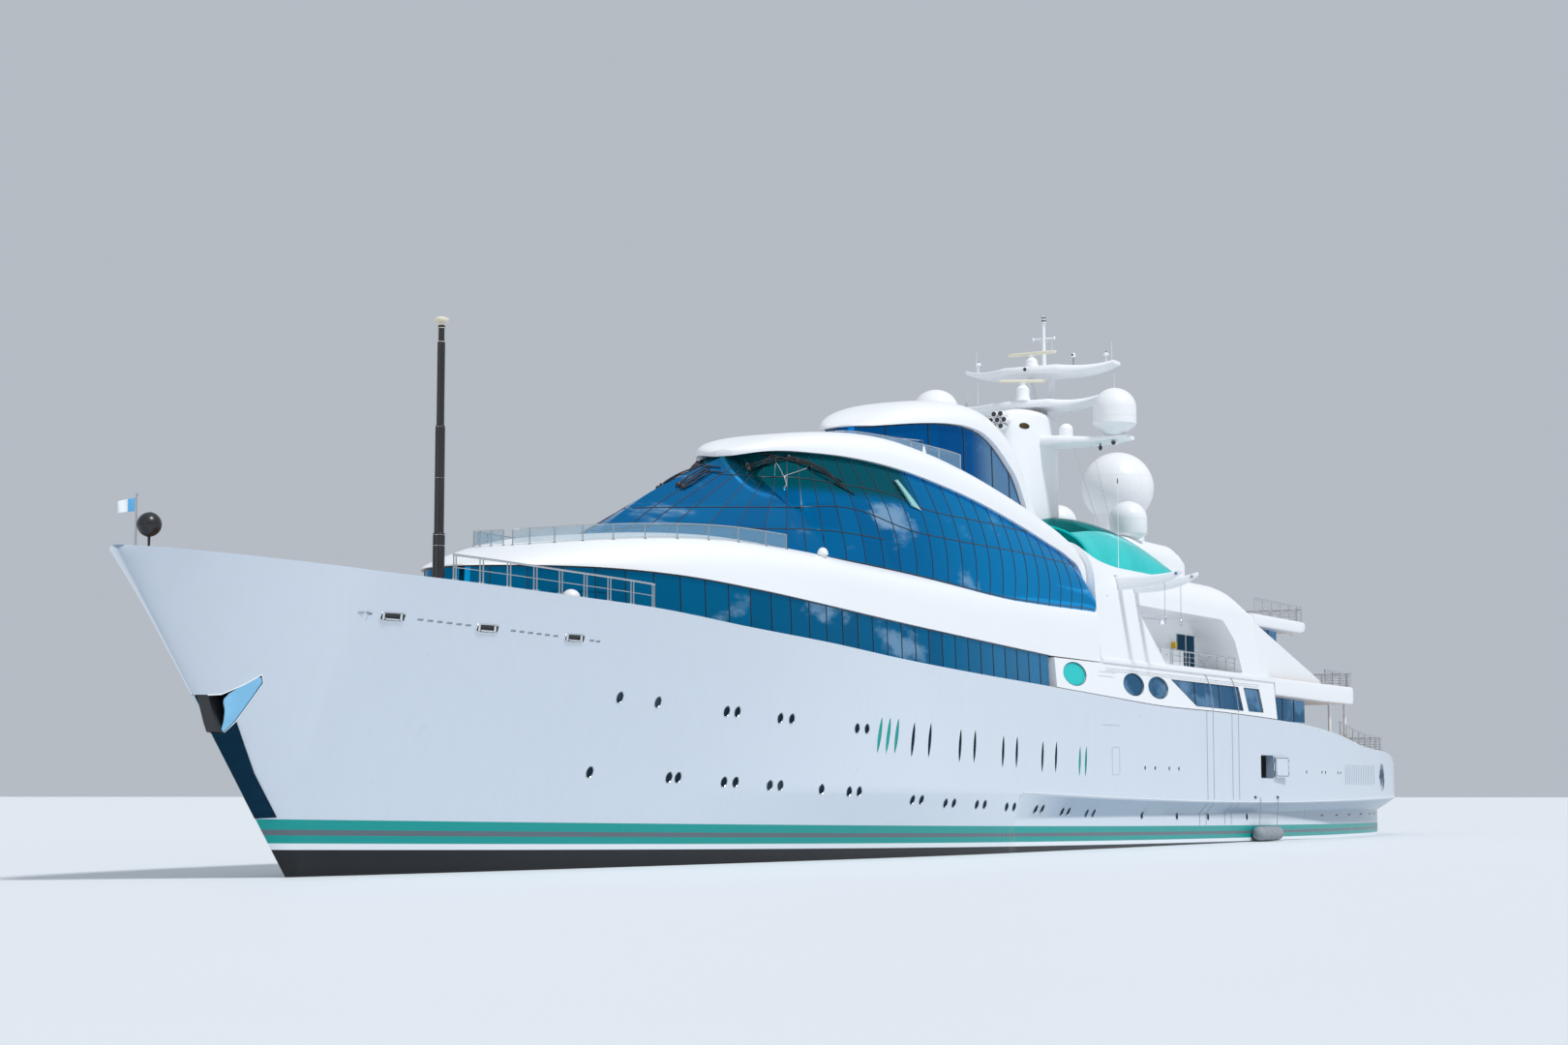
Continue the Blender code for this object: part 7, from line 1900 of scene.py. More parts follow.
# %% Windlasses
def build_windlasses():
    """Bed plate, and for each side a base, a drum and a motor box."""
    x, floor = 5.78, float(foot_height(5.78)) + 0.0024
    bed = Shape().box((x - 0.07, -0.22, floor), (x + 0.07, 0.22, floor + 0.008))
    for side in (-1, 1):
        drum = [(0.055, 0.004), (0.055, 0.020), (0.052, 0.023), (0.032, 0.028), (0.027, 0.036), (0.026, 0.055),
                (0.030, 0.062), (0.040, 0.066), (0.041, 0.072), (0.038, 0.078), (0.012, 0.079)]
        bed.turned((x, side * 0.15, floor), drum, 40)
        for k in range(12):
            turn = 2 * math.pi * k / 12
            bed.tube((x + 0.050 * math.cos(turn), side * 0.15 + 0.050 * math.sin(turn), floor + 0.02),
                     (x + 0.050 * math.cos(turn), side * 0.15 + 0.050 * math.sin(turn), floor + 0.026), 0.004, 0.003, 6)
        bed.box((x - 0.055, side * 0.15 - 0.075, floor + 0.006), (x - 0.015, side * 0.15 - 0.035, floor + 0.045))
    bed.piece("windlass_gear", steel, "steel", "ship", ["windlasses"])
    bits = Shape()
    for at, y in ((5.40, 0.30), (4.90, 0.38), (6.22, 0.17)):
        floor = float(foot_height(at))
        for shift in (-0.03, 0.03):
            bits.turned((at + shift, y, floor), [(0.015, 0.0), (0.013, 0.004), (0.010, 0.008), (0.010, 0.034),
                                                 (0.014, 0.037), (0.014, 0.042), (0.006, 0.045)], 20)
        bits.box((at - 0.055, y - 0.020, floor - 0.002), (at + 0.055, y + 0.020, floor + 0.004))
    bits.mirrored().piece("foredeck_bollards", steel, "steel")


build_windlasses()

# %% [markdown]
# Under water the ship has twin screws. A real blade is a thin twisted wing: broad at mid radius, steep at the hub
# and flatter at the tip. Its angle at each radius r comes from atan(pitch / (2 pi r)), and its section is a
# lens shape. The shafts run through brackets, and a rudder stands behind each screw.

# %% Screws and rudders
PROPELLER_X, PROPELLER_Z = -5.98, -0.35


def blade_grid(turn, hand):
    """Lens section 0.006 thick, chord by radius, set at atan(0.42 / (2 pi r)) to the disc."""
    r = np.array([0.018, 0.030, 0.050, 0.070, 0.090, 0.106, 0.120, 0.130, 0.136, 0.138])[:, None]
    chord = np.array([0.024, 0.038, 0.058, 0.070, 0.075, 0.071, 0.058, 0.041, 0.022, 0.008])[:, None]
    t = 2 * np.pi * np.arange(20)[None] / 20
    u, v = 0.5 * np.cos(t) * chord, 0.5 * np.sin(t) * 0.0062 * (1.15 - 6.5 * r)
    pitch = np.clip(np.arctan(0.42 / (2 * np.pi * r)), 0, math.radians(38))
    skew = 0.9 * (r - 0.018)**2 * 14
    around = (u * np.cos(pitch) - v * np.sin(pitch)) * hand + skew * 0.0
    along = u * np.sin(pitch) + v * np.cos(pitch)
    angle = turn + around / r * 0.98
    return np.stack([along + PROPELLER_X, r * np.cos(angle), r * np.sin(angle) + PROPELLER_Z], -1)


def build_screws():
    """Shaft, hub and cone are one turned profile. The five blades are grids round it."""
    for side, side_name in ((1, "port"), (-1, "starboard")):
        y, name = side * SHAFT_Y, "propeller_" + side_name
        profile = [(SHAFT_R, -4.70 - PROPELLER_X - 0.0004), (SHAFT_R, 0.046), (0.020, 0.045), (0.027, 0.040),
                   (0.0295, 0.020), (0.030, 0.0), (0.028, -0.022), (0.022, -0.045), (0.016, -0.056), (0.006, -0.065)]
        screw = Shape().turned((PROPELLER_X, y, PROPELLER_Z), profile, 40, "X")
        for k in range(5):
            blade = blade_grid(2 * math.pi * (k + 0.07) / 5, side)
            screw.grid(blade + (0, y, 0), False, True, True)
        screw.piece(name + "_blades", bronze, "bronze", name, [name], sharp=50)
        t = 2 * np.pi * np.arange(40) / 40
        rows = [(0.0200, -0.035), (0.022, -0.030), (0.022, 0.030), (0.0200, 0.035), (SHAFT_R + 0.0008, 0.035),
                (SHAFT_R + 0.0008, -0.035)]
        ring = np.stack([np.stack([BRACKET_X + h + 0 * t, y + r * np.cos(t), PROPELLER_Z + r * np.sin(t)], -1)
                         for r, h in rows])
        bracket = Shape().grid(ring, True, True)
        fin = np.array([(1.0, 0.0), (0.85, 0.7), (0.4, 1.0), (0.0, 0.95), (-0.6, 0.55), (-1.0, 0.0), (-0.6, -0.55),
                        (0.0, -0.95), (0.4, -1.0), (0.85, -0.7)])
        bracket.grid([np.append(fin * (0.025, 0.006) + (BRACKET_X, y), np.full((10, 1), h), 1)
                      for h in (PROPELLER_Z + 0.019, -0.1606)], False, True, True)
        bracket.piece("bracket_" + side_name, bronze, "bronze", "ship", ["shaft_bracket_" + side_name])
        build_rudder(side_name, y)


def build_rudder(side_name, y):
    """Wing section from leading edge to tail, taller chord at the foot of the stock, and the stock above."""
    s = np.linspace(0, 1, 16)
    thick = 0.0235 * (np.sqrt(s) * 1.48 - 0.63 * s - 1.76 * s**2 + 1.42 * s**3 - 0.50 * s**4)
    levels = np.linspace(-0.455, -0.210, 12)
    share = (levels + 0.455) / 0.245
    nose, tail = 0.060 + 0.015 * share, -0.080 - 0.030 * share
    x = nose[:, None] + (tail - nose)[:, None] * s
    half = np.clip(np.broadcast_to(thick * 1.08, x.shape), 0.0006, 0.0128)
    half = np.where(s > 0.0, half, 0.0)
    ring = np.concatenate([np.stack([x, half, 0 * x + levels[:, None]], -1),
                           np.stack([x, -half, 0 * x + levels[:, None]], -1)[:, :0:-1]], 1)
    rudder = Shape().grid(ring + (RUDDER_X, y, 0), False, True, True)
    rudder.tube((RUDDER_X, y, -0.25), (RUDDER_X, y, -0.0704), SHAFT_R, sides=32)
    name = "rudder_" + side_name
    rudder.piece(name + "_blade", hull_paint, "hull_paint", name, [name], sharp=50)


build_screws()
print("screws", pieces["propeller_port_blades"])

# %% [markdown]
# Small openings give the ship's side its scale. Round ports and tall pointed slits are sunk into the plating,
# each with glass at the bottom and a rim. A loop of points is laid on the side, moved in and out, and joined to
# make both the cutter and the glass, so every window follows the curve of the hull where it sits.

# %% Ports and slits
# places: x, z
PORTS = np.array([
    (4.637, 0.397), (4.105, 0.378), (4.043, 0.378), (3.718, 0.360), (3.637, 0.360), (3.388, 0.346), (3.310, 0.346),
    (2.992, 0.330), (2.764, 0.320), (2.679, 0.320), (2.167, 0.280), (2.077, 0.280), (1.813, 0.263), (1.721, 0.263),
    (1.453, 0.255), (1.358, 0.255), (1.078, 0.242), (0.980, 0.242), (0.637, 0.228), (0.550, 0.229), (0.256, 0.213),
    (0.166, 0.213), (-0.112, 0.202), (-0.217, 0.202), (-1.001, 0.185), (-1.611, 0.176), (-2.189, 0.169),
    (-2.960, 0.164), (4.579, 0.704), (4.318, 0.692), (3.817, 0.666), (3.738, 0.666), (3.404, 0.646), (3.313, 0.645),
    (2.752, 0.614), (2.662, 0.614)])
SMALL_PORTS = np.array([(x, 0.462) for x in (-0.93, -1.10, -1.34, -1.51, -3.665, -4.08, -4.45, -4.54, -4.86, -4.93)])
GREEN_SLITS = np.array([(2.539, 0.587), (2.457, 0.587), (2.375, 0.586), (0.097, 0.490), (0.006, 0.490)])
DARK_SLITS = np.array([(2.207, 0.571), (2.030, 0.571), (1.687, 0.550), (1.513, 0.550), (1.159, 0.528), (0.980, 0.528),
                       (0.630, 0.508), (0.440, 0.508)])


def outlines(places, half_x, half_z, sides, point=1.0, lean=0.0):
    """Closed loops [opening, point, (x, z)]: half_x cos, half_z sin, drawn to points at the ends by the power."""
    t = 2 * np.pi * np.arange(sides) / sides
    x = half_x * np.sign(np.cos(t)) * np.abs(np.cos(t))**point
    z = half_z * np.sin(t)
    return places[:, None, :] + np.stack([x + lean * z, z], -1)[None]


def on_side(loops, out):
    """The same loops on the plating, moved out along y."""
    return np.stack([loops[..., 0], side_at(loops[..., 0], loops[..., 1]) + out, loops[..., 1]], -1)


def cut_row(loops, depth=0.007):
    """One closed tool for a row of openings."""
    tool = Shape()
    for inner, outer in zip(on_side(loops, -depth), on_side(loops, 0.02)):
        tool.grid([inner, outer], False, True, True)
    return tool.mirrored()


def glass_row(name, loops, material, slot, depth=0.0072, thick=0.0030):
    """Glass at the bottom of each opening."""
    panes_of_row = Shape()
    for k, (inner, outer) in enumerate(zip(on_side(loops, -depth), on_side(loops, thick - depth))):
        uv = np.full((2, loops.shape[1], 2), 0.5) + (k, 0)
        panes_of_row.grid([inner, outer], False, True, True, uv)
    return panes_of_row.mirrored().piece(name, material, slot)


def rim_row(name, loops, radius, material, slot):
    """Rims: a thin bar round each opening."""
    rims = Shape()
    for path in on_side(loops, 0.0002):
        rims.sweep(path, radius, 5, closed=True)
    return rims.mirrored().piece(name, material, slot)


ports, small_ports = outlines(PORTS, 0.0225, 0.0235, 28), outlines(SMALL_PORTS, 0.0125, 0.0165, 16)
green_slits, dark_slits = (outlines(rows, 0.0185, 0.088, 28, 1.35, -0.10) for rows in (GREEN_SLITS, DARK_SLITS))
carve(hull, cut_row(ports), cut_row(small_ports), cut_row(green_slits), cut_row(dark_slits))
glass_row("port_glass", ports, dark_glazing, "grey_glass")
glass_row("small_port_glass", small_ports, dark_glazing, "grey_glass")
glass_row("slit_glass", dark_slits, dark_glazing, "grey_glass")
glass_row("green_slit_glass", green_slits, green_slit_glazing, "teal_glass", 0.0050)
rim_row("port_rims", ports, 0.0016, steel, "steel")
rim_row("small_port_rims", small_ports, 0.0012, white_paint, "white_paint")
rim_row("slit_rims", np.concatenate([green_slits, dark_slits]), 0.0013, white_paint, "white_paint")
print("ports", len(PORTS) + len(SMALL_PORTS), "slits", len(GREEN_SLITS) + len(DARK_SLITS))

# %% [markdown]
# Ropes leave the foredeck through roller fairleads in the bulwark, three on each side in a line of narrow
# freeing slots. Further aft there are shell doors, grooves, upright beads and louvres. Each is a loop laid on the
# plating again, so the same functions cut and frame them.

# %% Fairleads, slots and doors in the plating
ROLLERS = np.array([(5.977, 0.960), (5.483, 0.941), (4.973, 0.928)])
DASH_X = np.array([6.139, 6.095, 5.84, 5.79, 5.74, 5.69, 5.64, 5.59, 5.34, 5.29, 5.24, 5.19, 5.14, 5.09, 4.865, 4.824])
LEDGE_SLOTS = np.array([(-4.73, 0.160), (-5.15, 0.160), (-5.55, 0.161), (-5.95, 0.162), (-6.35, 0.163), (-6.65, 0.164)])
LOUVRES = np.array([(x, 0.449) for x in np.linspace(-5.95, -5.07, 18)])


def rounded(places, half_x, half_z, power=0.35, sides=20):
    """Loops that are nearly rectangles: superellipses with a low power."""
    t = 2 * np.pi * (np.arange(sides) + 0.5) / sides
    x = half_x * np.sign(np.cos(t)) * np.abs(np.cos(t))**power
    z = half_z * np.sign(np.sin(t)) * np.abs(np.sin(t))**power
    return np.asarray(places, float)[:, None, :] + np.stack([x, z], -1)[None]


def build_fairleads():
    """Mouths with a dark inside, a bright frame, and a roller at each end."""
    mouths = rounded(ROLLERS, 0.060, 0.0155, 0.45, 28)
    dashes = rounded(np.stack([DASH_X, np.interp(DASH_X, (4.824, 6.139), (0.922, 0.967))], 1), 0.0150, 0.0042, 0.4, 16)
    ledge = rounded(LEDGE_SLOTS, 0.030, 0.006, 0.4, 16)
    louvres = rounded(LOUVRES, 0.0045, 0.075, 0.4, 16)
    carve(hull, cut_row(mouths, 0.0085), cut_row(dashes, 0.005), cut_row(louvres, 0.005))
    glass_row("fairlead_shadow", mouths, black_paint, "black_paint", 0.0084, 0.0012)
    glass_row("freeing_slots", dashes, deck_grey, "grey_rubber", 0.0052, 0.0012)
    glass_row("louvre_backs", louvres, deck_grey, "grey_rubber", 0.0052, 0.0012)
    frame_paths = Shape()
    for path in on_side(mouths, 0.0006):
        frame_paths.sweep(path, 0.0026, 8, closed=True)
    for x, z in ROLLERS:
        for end in (-0.043, 0.043):
            y = float(side_at(x + end, z)) - 0.0035
            low, high = (x + end, y - 0.0008, z - 0.012), (x + end, y + 0.0016, z + 0.012)
            frame_paths.tube(low, high, 0.0062, sides=16)
        y = float(side_at(x - 0.02, z)) - 0.0030
        frame_paths.tube((x - 0.036, y, z - 0.0085), (x + 0.036, float(side_at(x + 0.02, z)) - 0.0030, z - 0.0085),
                         0.0040, sides=12)
    frame_paths.mirrored().piece("fairlead_frames", bright_steel, "steel")
    shadow = Shape()
    for path in (on_side(ledge, -0.001), on_side(rounded([(-2.961, 0.289), (-3.429, 0.289)], 0.022, 0.008), 0.0)):
        for inner in path:
            shadow.grid([inner - (0, 0.002, 0), inner + (0, 0.0026, 0)], False, True, True)
    shadow.mirrored().piece("side_slots", black_paint, "black_paint")


def build_plating_lines():
    """Joints of the shell doors and beads on the plating: thin bars a little proud of the side."""
    joints = Shape()
    for low, high in (((-0.517, 0.418), (-0.400, 0.576)),):
        corners = [(low[0], low[1]), (high[0], low[1]), (high[0], high[1]), (low[0], high[1])]
        joints.sweep(on_side(loop(corners, 0.02, 8)[None], 0.0)[0], 0.0014, 5, closed=True)
    for x0, x1, z in ((-0.476, -0.218, 0.998), (-0.527, -0.254, 0.700)):
        x = np.linspace(x0, x1, 8)
        joints.sweep(np.stack([x, side_at(x, z), z + 0 * x], 1), 0.0016, 5)
    joints.mirrored().piece("shell_door_joints", joint_grey, "grey_rubber")
    beads = Shape()
    pipes = Shape()
    for x in (-2.03, -2.15, -2.515, -2.642):
        for low, high in ((0.275, float(hull_line(x, 2)) - 0.002), (0.118, 0.252)):
            z = np.linspace(low, high, 24)
            pipes.sweep(np.stack([x + 0 * z, side_at(x, z) + 0.0012, z], 1), 0.0022, 6)
    for x in (-2.15, -2.642):
        bend = np.array([(0.35, 1.052), (0.30, 1.068), (0.17, 1.070), (0.07, 1.045), (0.012, 0.98), (0.0, 0.90), (0.0, 0.832)])
        way = np.concatenate([np.linspace(a, b, 5) for a, b in zip(bend[:-1], bend[1:])])
        pipes.sweep(np.stack([x + way[:, 0], side_y(way[:, 1]) + 0.0035, way[:, 1]], 1), 0.0022, 6)
    pipes.mirrored().piece("side_pipes", joint_grey, "grey_rubber")
    x = np.concatenate([np.linspace(-6.9, 0.90, 120)])
    z = curve(LEDGE, x) + 0.001
    beads.sweep(np.stack([x, side_at(x, z + 0.004) + 0.0010, z], 1), 0.0022, 6)
    beads.mirrored().piece("side_beads", white_paint, "white_paint")


joint_grey = make_paint("joint_grey", (0.42, 0.46, 0.52, 1), (0.34, 0.38, 0.44, 1), 0.4, 20.0)
build_fairleads()
build_plating_lines()
print("plating details", pieces["fairlead_frames"], pieces["side_beads"])

# %% [markdown]
# On the dome there are wipers for the wheelhouse windows, a bright frame where panes meet at an angle, and
# one vent that stands open. Everything here is placed by the dome's own two parameters, the station x and the
# share f, and lifted along the direction square to the glass.

# %% On the dome
def on_dome(rows, lift):
    """Points above the glass: rows are (x, f), and lift is the distance from it."""
    x, f = np.array(rows, float).T
    side = np.where(f > 0.999, 0.999, f)
    return dome_at(x, side) + dome_out(x, side) * np.asarray(lift, float)[..., None]


def between(a, b, count):
    """Rows of (x, f) in a straight line from a to b."""
    return np.linspace(a, b, count)


# pairs of arms and one blade for each wiper: start and end as (x, f)
WIPERS = [((3.300, 0.935), (2.960, 0.985)), ((3.297, 0.900), (2.999, 0.945)), ((2.760, 0.850), (2.640, 0.950)),
          ((2.735, 0.881), (2.616, 0.925)), ((2.599, 0.930), (2.437, 0.800)), ((2.570, 0.905), (2.403, 0.695))]


def build_wipers():
    """Each arm rises from its pivot and comes down on the blade; the blade is a slim bar close to the glass."""
    arms = Shape()
    for start, end in WIPERS:
        path = between(start, end, 14)
        lift = 0.004 + 0.015 * np.sin(np.pi * np.linspace(0.12, 1, 14))
        arms.sweep(on_dome(path, lift), np.linspace(0.0050, 0.0030, 14), 8)
        arms.sweep(on_dome(path + (0.0, -0.016), lift * 0.6 + 0.002), 0.0026, 6)
        pivot = on_dome([start], [0.006])[0]
        arms.turned(pivot - (0, 0, 0.006), [(0.013, -0.004), (0.013, 0.008), (0.009, 0.015), (0.004, 0.017)], 20)
        middle = np.array(end)
        arms.sweep(on_dome(between(middle - (0.05, 0.05), middle + (0.045, 0.02), 10), np.full(10, 0.0045)), 0.0030, 6)
    arms.mirrored().piece("wipers", black_paint, "black_paint")


def build_dome_fittings():
    """The bright angled frame, and the open vent with its rim."""
    f = [(2.72, 0.66), (2.701, 0.695), (2.684, 0.763), (2.62, 0.80), (2.565, 0.831), (2.50, 0.87)]
    bright = Shape()
    x, share = np.array(f).T
    s = np.linspace(0, 1, 30)
    path = np.stack([np.interp(s, np.linspace(0, 1, 6), v) for v in (x, share)], 1)
    bright.strip(on_dome(path, np.full(30, 0.0022)), dome_out(path[:, 0], path[:, 1]), 0.0050, 0.0020)
    path = between((2.684, 0.763), (2.664, 0.90), 12)
    bright.strip(on_dome(path, np.full(12, 0.0022)), dome_out(path[:, 0], path[:, 1]), 0.0044, 0.0018)
    bright.mirrored().piece("dome_bright_frame", bright_steel, "steel")
    corners = np.array([(1.93, 0.885), (1.965, 0.86), (1.915, 0.655), (1.83, 0.64)])
    top, foot = between(corners[0], corners[3], 12), between(corners[1], corners[2], 12)
    face = np.stack([on_dome(top, np.full(12, 0.004)), on_dome(foot, np.full(12, 0.012))], 1)
    back = np.stack([on_dome(top, np.full(12, 0.002)), on_dome(foot, np.full(12, 0.004))], 1)
    vent = Shape().grid(np.concatenate([face, back[:, ::-1]], 1), False, True, True)
    vent.mirrored().piece("dome_vent", vent_glazing, "teal_glass")
    edge = Shape().sweep(np.concatenate([face[:, 0], face[::-1, 1]]), 0.0020, 6, closed=True)
    edge.mirrored().piece("dome_vent_rim", bright_steel, "steel")


vent_glazing = make_glazing("vent_glazing", (0.22, 0.60, 0.56, 1), (0.34, 0.72, 0.66, 1), (0.6, 0.85, 0.82, 1), 0.5, 0.4,
                            0.5, metallic=0.1)
build_wipers()
build_dome_fittings()
print("on the dome", pieces["wipers"], pieces["dome_vent"])

# %% [markdown]
# Clear panels shelter the walkways on the two white decks. They stand in small feet along an oval in plan. The
# panes are thin closed walls, slightly blue, and the posts are slim steel.

# %% Wind screens on the decks
def screen_path(nose, centre, half, x0, x1, count):
    """Points on an oval in plan between two stations, crowded towards the nose."""
    x = closer(x0, x1, count)
    return np.stack([x, oval(x, nose, centre, half)], 1)


def build_screen(name, plan, floor, height, posts):
    """A wall of panes: the plan's inner and outer lines, carried up from the deck, with posts at even steps."""
    way = np.gradient(plan, axis=0)
    way = np.stack([-way[:, 1], way[:, 0]], 1) / np.linalg.norm(way, axis=1, keepdims=True)
    low, glass = floor(plan[:, 0], plan[:, 1]), Shape()
    rings = []
    for shift, rise in ((-0.001, 0.008), (0.001, 0.008), (0.001, height), (-0.001, height)):
        p = plan + way * shift
        rings.append(np.stack([p[:, 0], p[:, 1], low + rise], 1))
    glass.grid(np.stack(rings, 1), False, True, True).mirrored().piece(name + "_panes", clear_rail, "blue_glass")
    steelwork = Shape()
    top = np.stack([plan[:, 0], plan[:, 1], low + height], 1)
    steelwork.sweep(top, 0.0022, 8)
    for k in np.linspace(0, len(plan) - 1, posts).astype(int):
        foot = np.array([plan[k, 0], plan[k, 1], low[k] - 0.004])
        steelwork.tube(foot, foot + (0, 0, height + 0.004), 0.0026, sides=8)
        steelwork.turned(foot, [(0.007, 0.0), (0.007, 0.006), (0.004, 0.009)], 12)
    steelwork.mirrored().piece(name + "_posts", steel, "steel")


def brow_height(x, y):
    """Top of the second white deck, from its superellipse."""
    base, crown = np.minimum(curve(UPPER_GLASS_TOP, x), 1.968), curve(BAND_2_CROWN, x)
    share = np.clip(np.abs(y) / oval(x, 2.80, 0.50, 0.645), 0, 1)
    return base + (np.maximum(crown, base + 0.012) - base) * np.maximum(1 - share**3.4, 0)**(1 / 3.4)


# the upper screen's plan: y, x
BROW_SCREEN = [(0.0, 1.610), (0.09, 1.585), (0.18, 1.490), (0.27, 1.385), (0.375, 1.250), (0.51, 1.140)]
brow_y = np.linspace(0.51, 0.0, 40)
build_screen("bow_screen", screen_path(4.65, 3.2, 0.62, 3.31, 4.649, 60), deck_height, 0.067, 11)
build_screen("brow_screen", np.stack([curve(BROW_SCREEN, brow_y), brow_y], 1), brow_height, 0.080, 6)
print("screens", [n for n in pieces if "screen" in n])

# %% [markdown]
# The top house has one window that is framed in bright metal, its pane a brighter blue as painted light from inside,
# and a round lamp roof fitting. On the wing platforms stand lamps, whips, a camera and a horn. They are all small
# turned or swept bodies, gathered in a few pieces by finish.

# %% Fittings on the top house and the mast
def build_mast_fittings():
    """Whips, lamp posts, cameras and stays, placed where the photograph shows them on the wings."""
    white, dark, steelwork = Shape(), Shape(), Shape()
    top_deck, middle_deck, lower_deck = 2.917, 2.700, 2.460
    lamp = [(0.0035, 0.0), (0.0035, 0.040), (0.016, 0.043), (0.018, 0.050), (0.010, 0.057), (0.004, 0.062)]
    for y, x in ((0.425, -1.22), (-0.425, -1.22)):
        foot = top_deck - 0.004 + 0.055 * ((abs(y) / 0.49 - 0.35) / 0.65)**2.4 - 0.012
        white.turned((x, y, foot), lamp, 20)
        dark.turned((x, y, foot + 0.058), [(0.004, 0.0), (0.0055, 0.004), (0.003, 0.010)], 12)
        white.tube((x - 0.03, y * 1.06, foot), (x - 0.03, y * 1.06, foot + 0.13), 0.0016, 0.0009, 6)
    for x, y, z, length in ((-1.06, -0.36, middle_deck + 0.004, 0.14), (-1.20, -0.49, middle_deck + 0.020, 0.12),
                            (-1.26, 0.055, 3.02, 0.095), (-1.04, 0.545, 2.738, 0.09)):
        white.tube((x, y, z), (x, y, z + length), 0.0016, 0.0008, 6)
    steelwork.turned((-1.06, -0.44, middle_deck - 0.002), [(0.008, 0.0), (0.008, 0.012), (0.005, 0.014),
                                                         (0.007, 0.022), (0.003, 0.026)], 16)
    dark.tube((-1.16, 0.235, top_deck - 0.004), (-1.16, 0.235, top_deck + 0.055), 0.0022, sides=8)
    white.turned((-1.16, 0.235, top_deck + 0.052), [(0.006, 0.0), (0.013, 0.004), (0.014, 0.016), (0.008, 0.026)], 16)
    dark.turned((-1.148, 0.235, top_deck + 0.066), [(0.006, 0.0), (0.007, 0.004), (0.006, 0.008)], 12, "X")
    white.turned((-1.012, -0.02, top_deck - 0.026), [(0.017, 0.0), (0.017, 0.008), (0.012, 0.010)], 20, "X")
    dark.turned((-1.004, -0.02, top_deck - 0.026), [(0.011, 0.0), (0.011, 0.004), (0.004, 0.005)], 20, "X")
    under = lower_deck - 0.062
    dark.turned((-1.03, 0.455, under - 0.018), [(0.004, 0.030), (0.005, 0.016), (0.012, 0.010), (0.010, -0.006),
                                                (0.005, -0.012)], 16)
    white.turned((-1.03, 0.555, under + 0.010), [(0.012, -0.016), (0.013, 0.010), (0.008, 0.020)], 16, "X")
    dark.turned((-1.015, 0.548, under + 0.008), [(0.012, -0.002), (0.013, 0.014), (0.009, 0.018)], 16, "X")
    white.tube((-1.03, 0.555, under + 0.020), (-1.03, 0.555, under + 0.045), 0.003, sides=8)
    for start, end in (((-1.08, 0.26, lower_deck - 0.05), (-1.30, 0.33, 1.95)),
                       ((-1.08, 0.38, lower_deck - 0.05), (-1.34, 0.41, 1.90))):
        steelwork.sweep([start, np.add(start, end) / 2, end], 0.0011, 5)
    x, y = -1.02, 0.565
    white.tube((x, y, house_top(x, y)), (x, y, house_top(x, y) + 0.55), 0.0020, 0.0010, 8)
    dark.tube((x, y, 2.16), (x, y, 2.19), 0.0030, sides=8)
    for z in (3.206, 3.226, 3.246):
        dark.turned((-1.26, 0, z), [(0.0135, 0.0), (0.0142, 0.003), (0.0135, 0.006)], 20)
    white.piece("mast_fittings_white", white_paint, "white_paint")
    dark.piece("mast_fittings_dark", black_paint, "black_paint")
    steelwork.piece("mast_stays", steel, "steel")


def house_top(x, y):
    """Height of the upper house's roof at x and y, from its superellipse shoulder."""
    crown = float(house_crown(np.array(x)))
    shoulder = min(1.46, crown - 0.06)
    half = float(side_y(shoulder)) - 0.46
    share = min(max((abs(y) - 0.46) / half, 0.0), 1.0)
    return shoulder + (crown - shoulder) * (1 - share**2.4)**(1 / 2.4) - 0.002


def build_tower_details():
    """Dark oval windows in the tower's sides, following its ellipse."""
    glass = Shape()
    t = 2 * np.pi * np.arange(28) / 28
    for turn in (0.72, -0.72):
        angle = turn + 0.17 * np.cos(t)
        z = 2.505 + 0.018 * np.sin(t)
        rings = []
        for grow in (0.985, 1.003):
            rings.append(np.stack([TOWER_X + TOWER_HALF[0] * grow * np.cos(angle),
                                   TOWER_HALF[1] * grow * np.sin(angle), z], -1))
        glass.grid(rings, False, True, True, np.full((2, 28, 2), 0.5))
    glass.piece("tower_windows", bronze_glazing, "grey_glass")


def build_searchlights():
    """Seven lamp tubes with rolled rims and dark bores, on a cone-shaped arm from the tower."""
    x, z, pitch, r = -0.560, 2.520, 0.042, 0.0195
    places = [(0.0, z)] + [(pitch * math.cos(a), z + pitch * math.sin(a)) for a in np.arange(6) * math.pi / 3 + 0.02]
    lamps, bores, lenses = Shape(), Shape(), Shape()
    lamps.turned((0, 0, z), [(0.030, TOWER_X + 0.99 * TOWER_HALF[0]), (0.034, TOWER_X + TOWER_HALF[0] + 0.01),
                             (0.050, x - 0.036), (0.052, x - 0.033), (0.052, x - 0.028)], 40, "X")
    for y, h in places:
        lamps.turned((0, y, h), [(0.0165, x - 0.031), (r, x - 0.024), (r, x + 0.031), (r - 0.0010, x + 0.035),
                                 (r - 0.0040, x + 0.035), (r - 0.0045, x + 0.010), (0.002, x + 0.004)], 28, "X")
        bores.turned((0, y, h), [(r - 0.0042, x + 0.0335), (r - 0.0048, x + 0.0335), (r - 0.0052, x + 0.008),
                                 (r - 0.0042, x + 0.008)], 20, "X")
        lenses.turned((0, y, h), [(0.0128, x + 0.006), (0.0128, x + 0.010), (0.009, x + 0.0135), (0.003, x + 0.015)], 20,
                      "X")
    lamps.piece("searchlight_tubes", white_paint, "white_paint", "ship", ["searchlights"])
    bores.piece("searchlight_bores", black_paint, "black_paint")
    lenses.piece("searchlight_lenses", dark_glazing, "grey_glass")


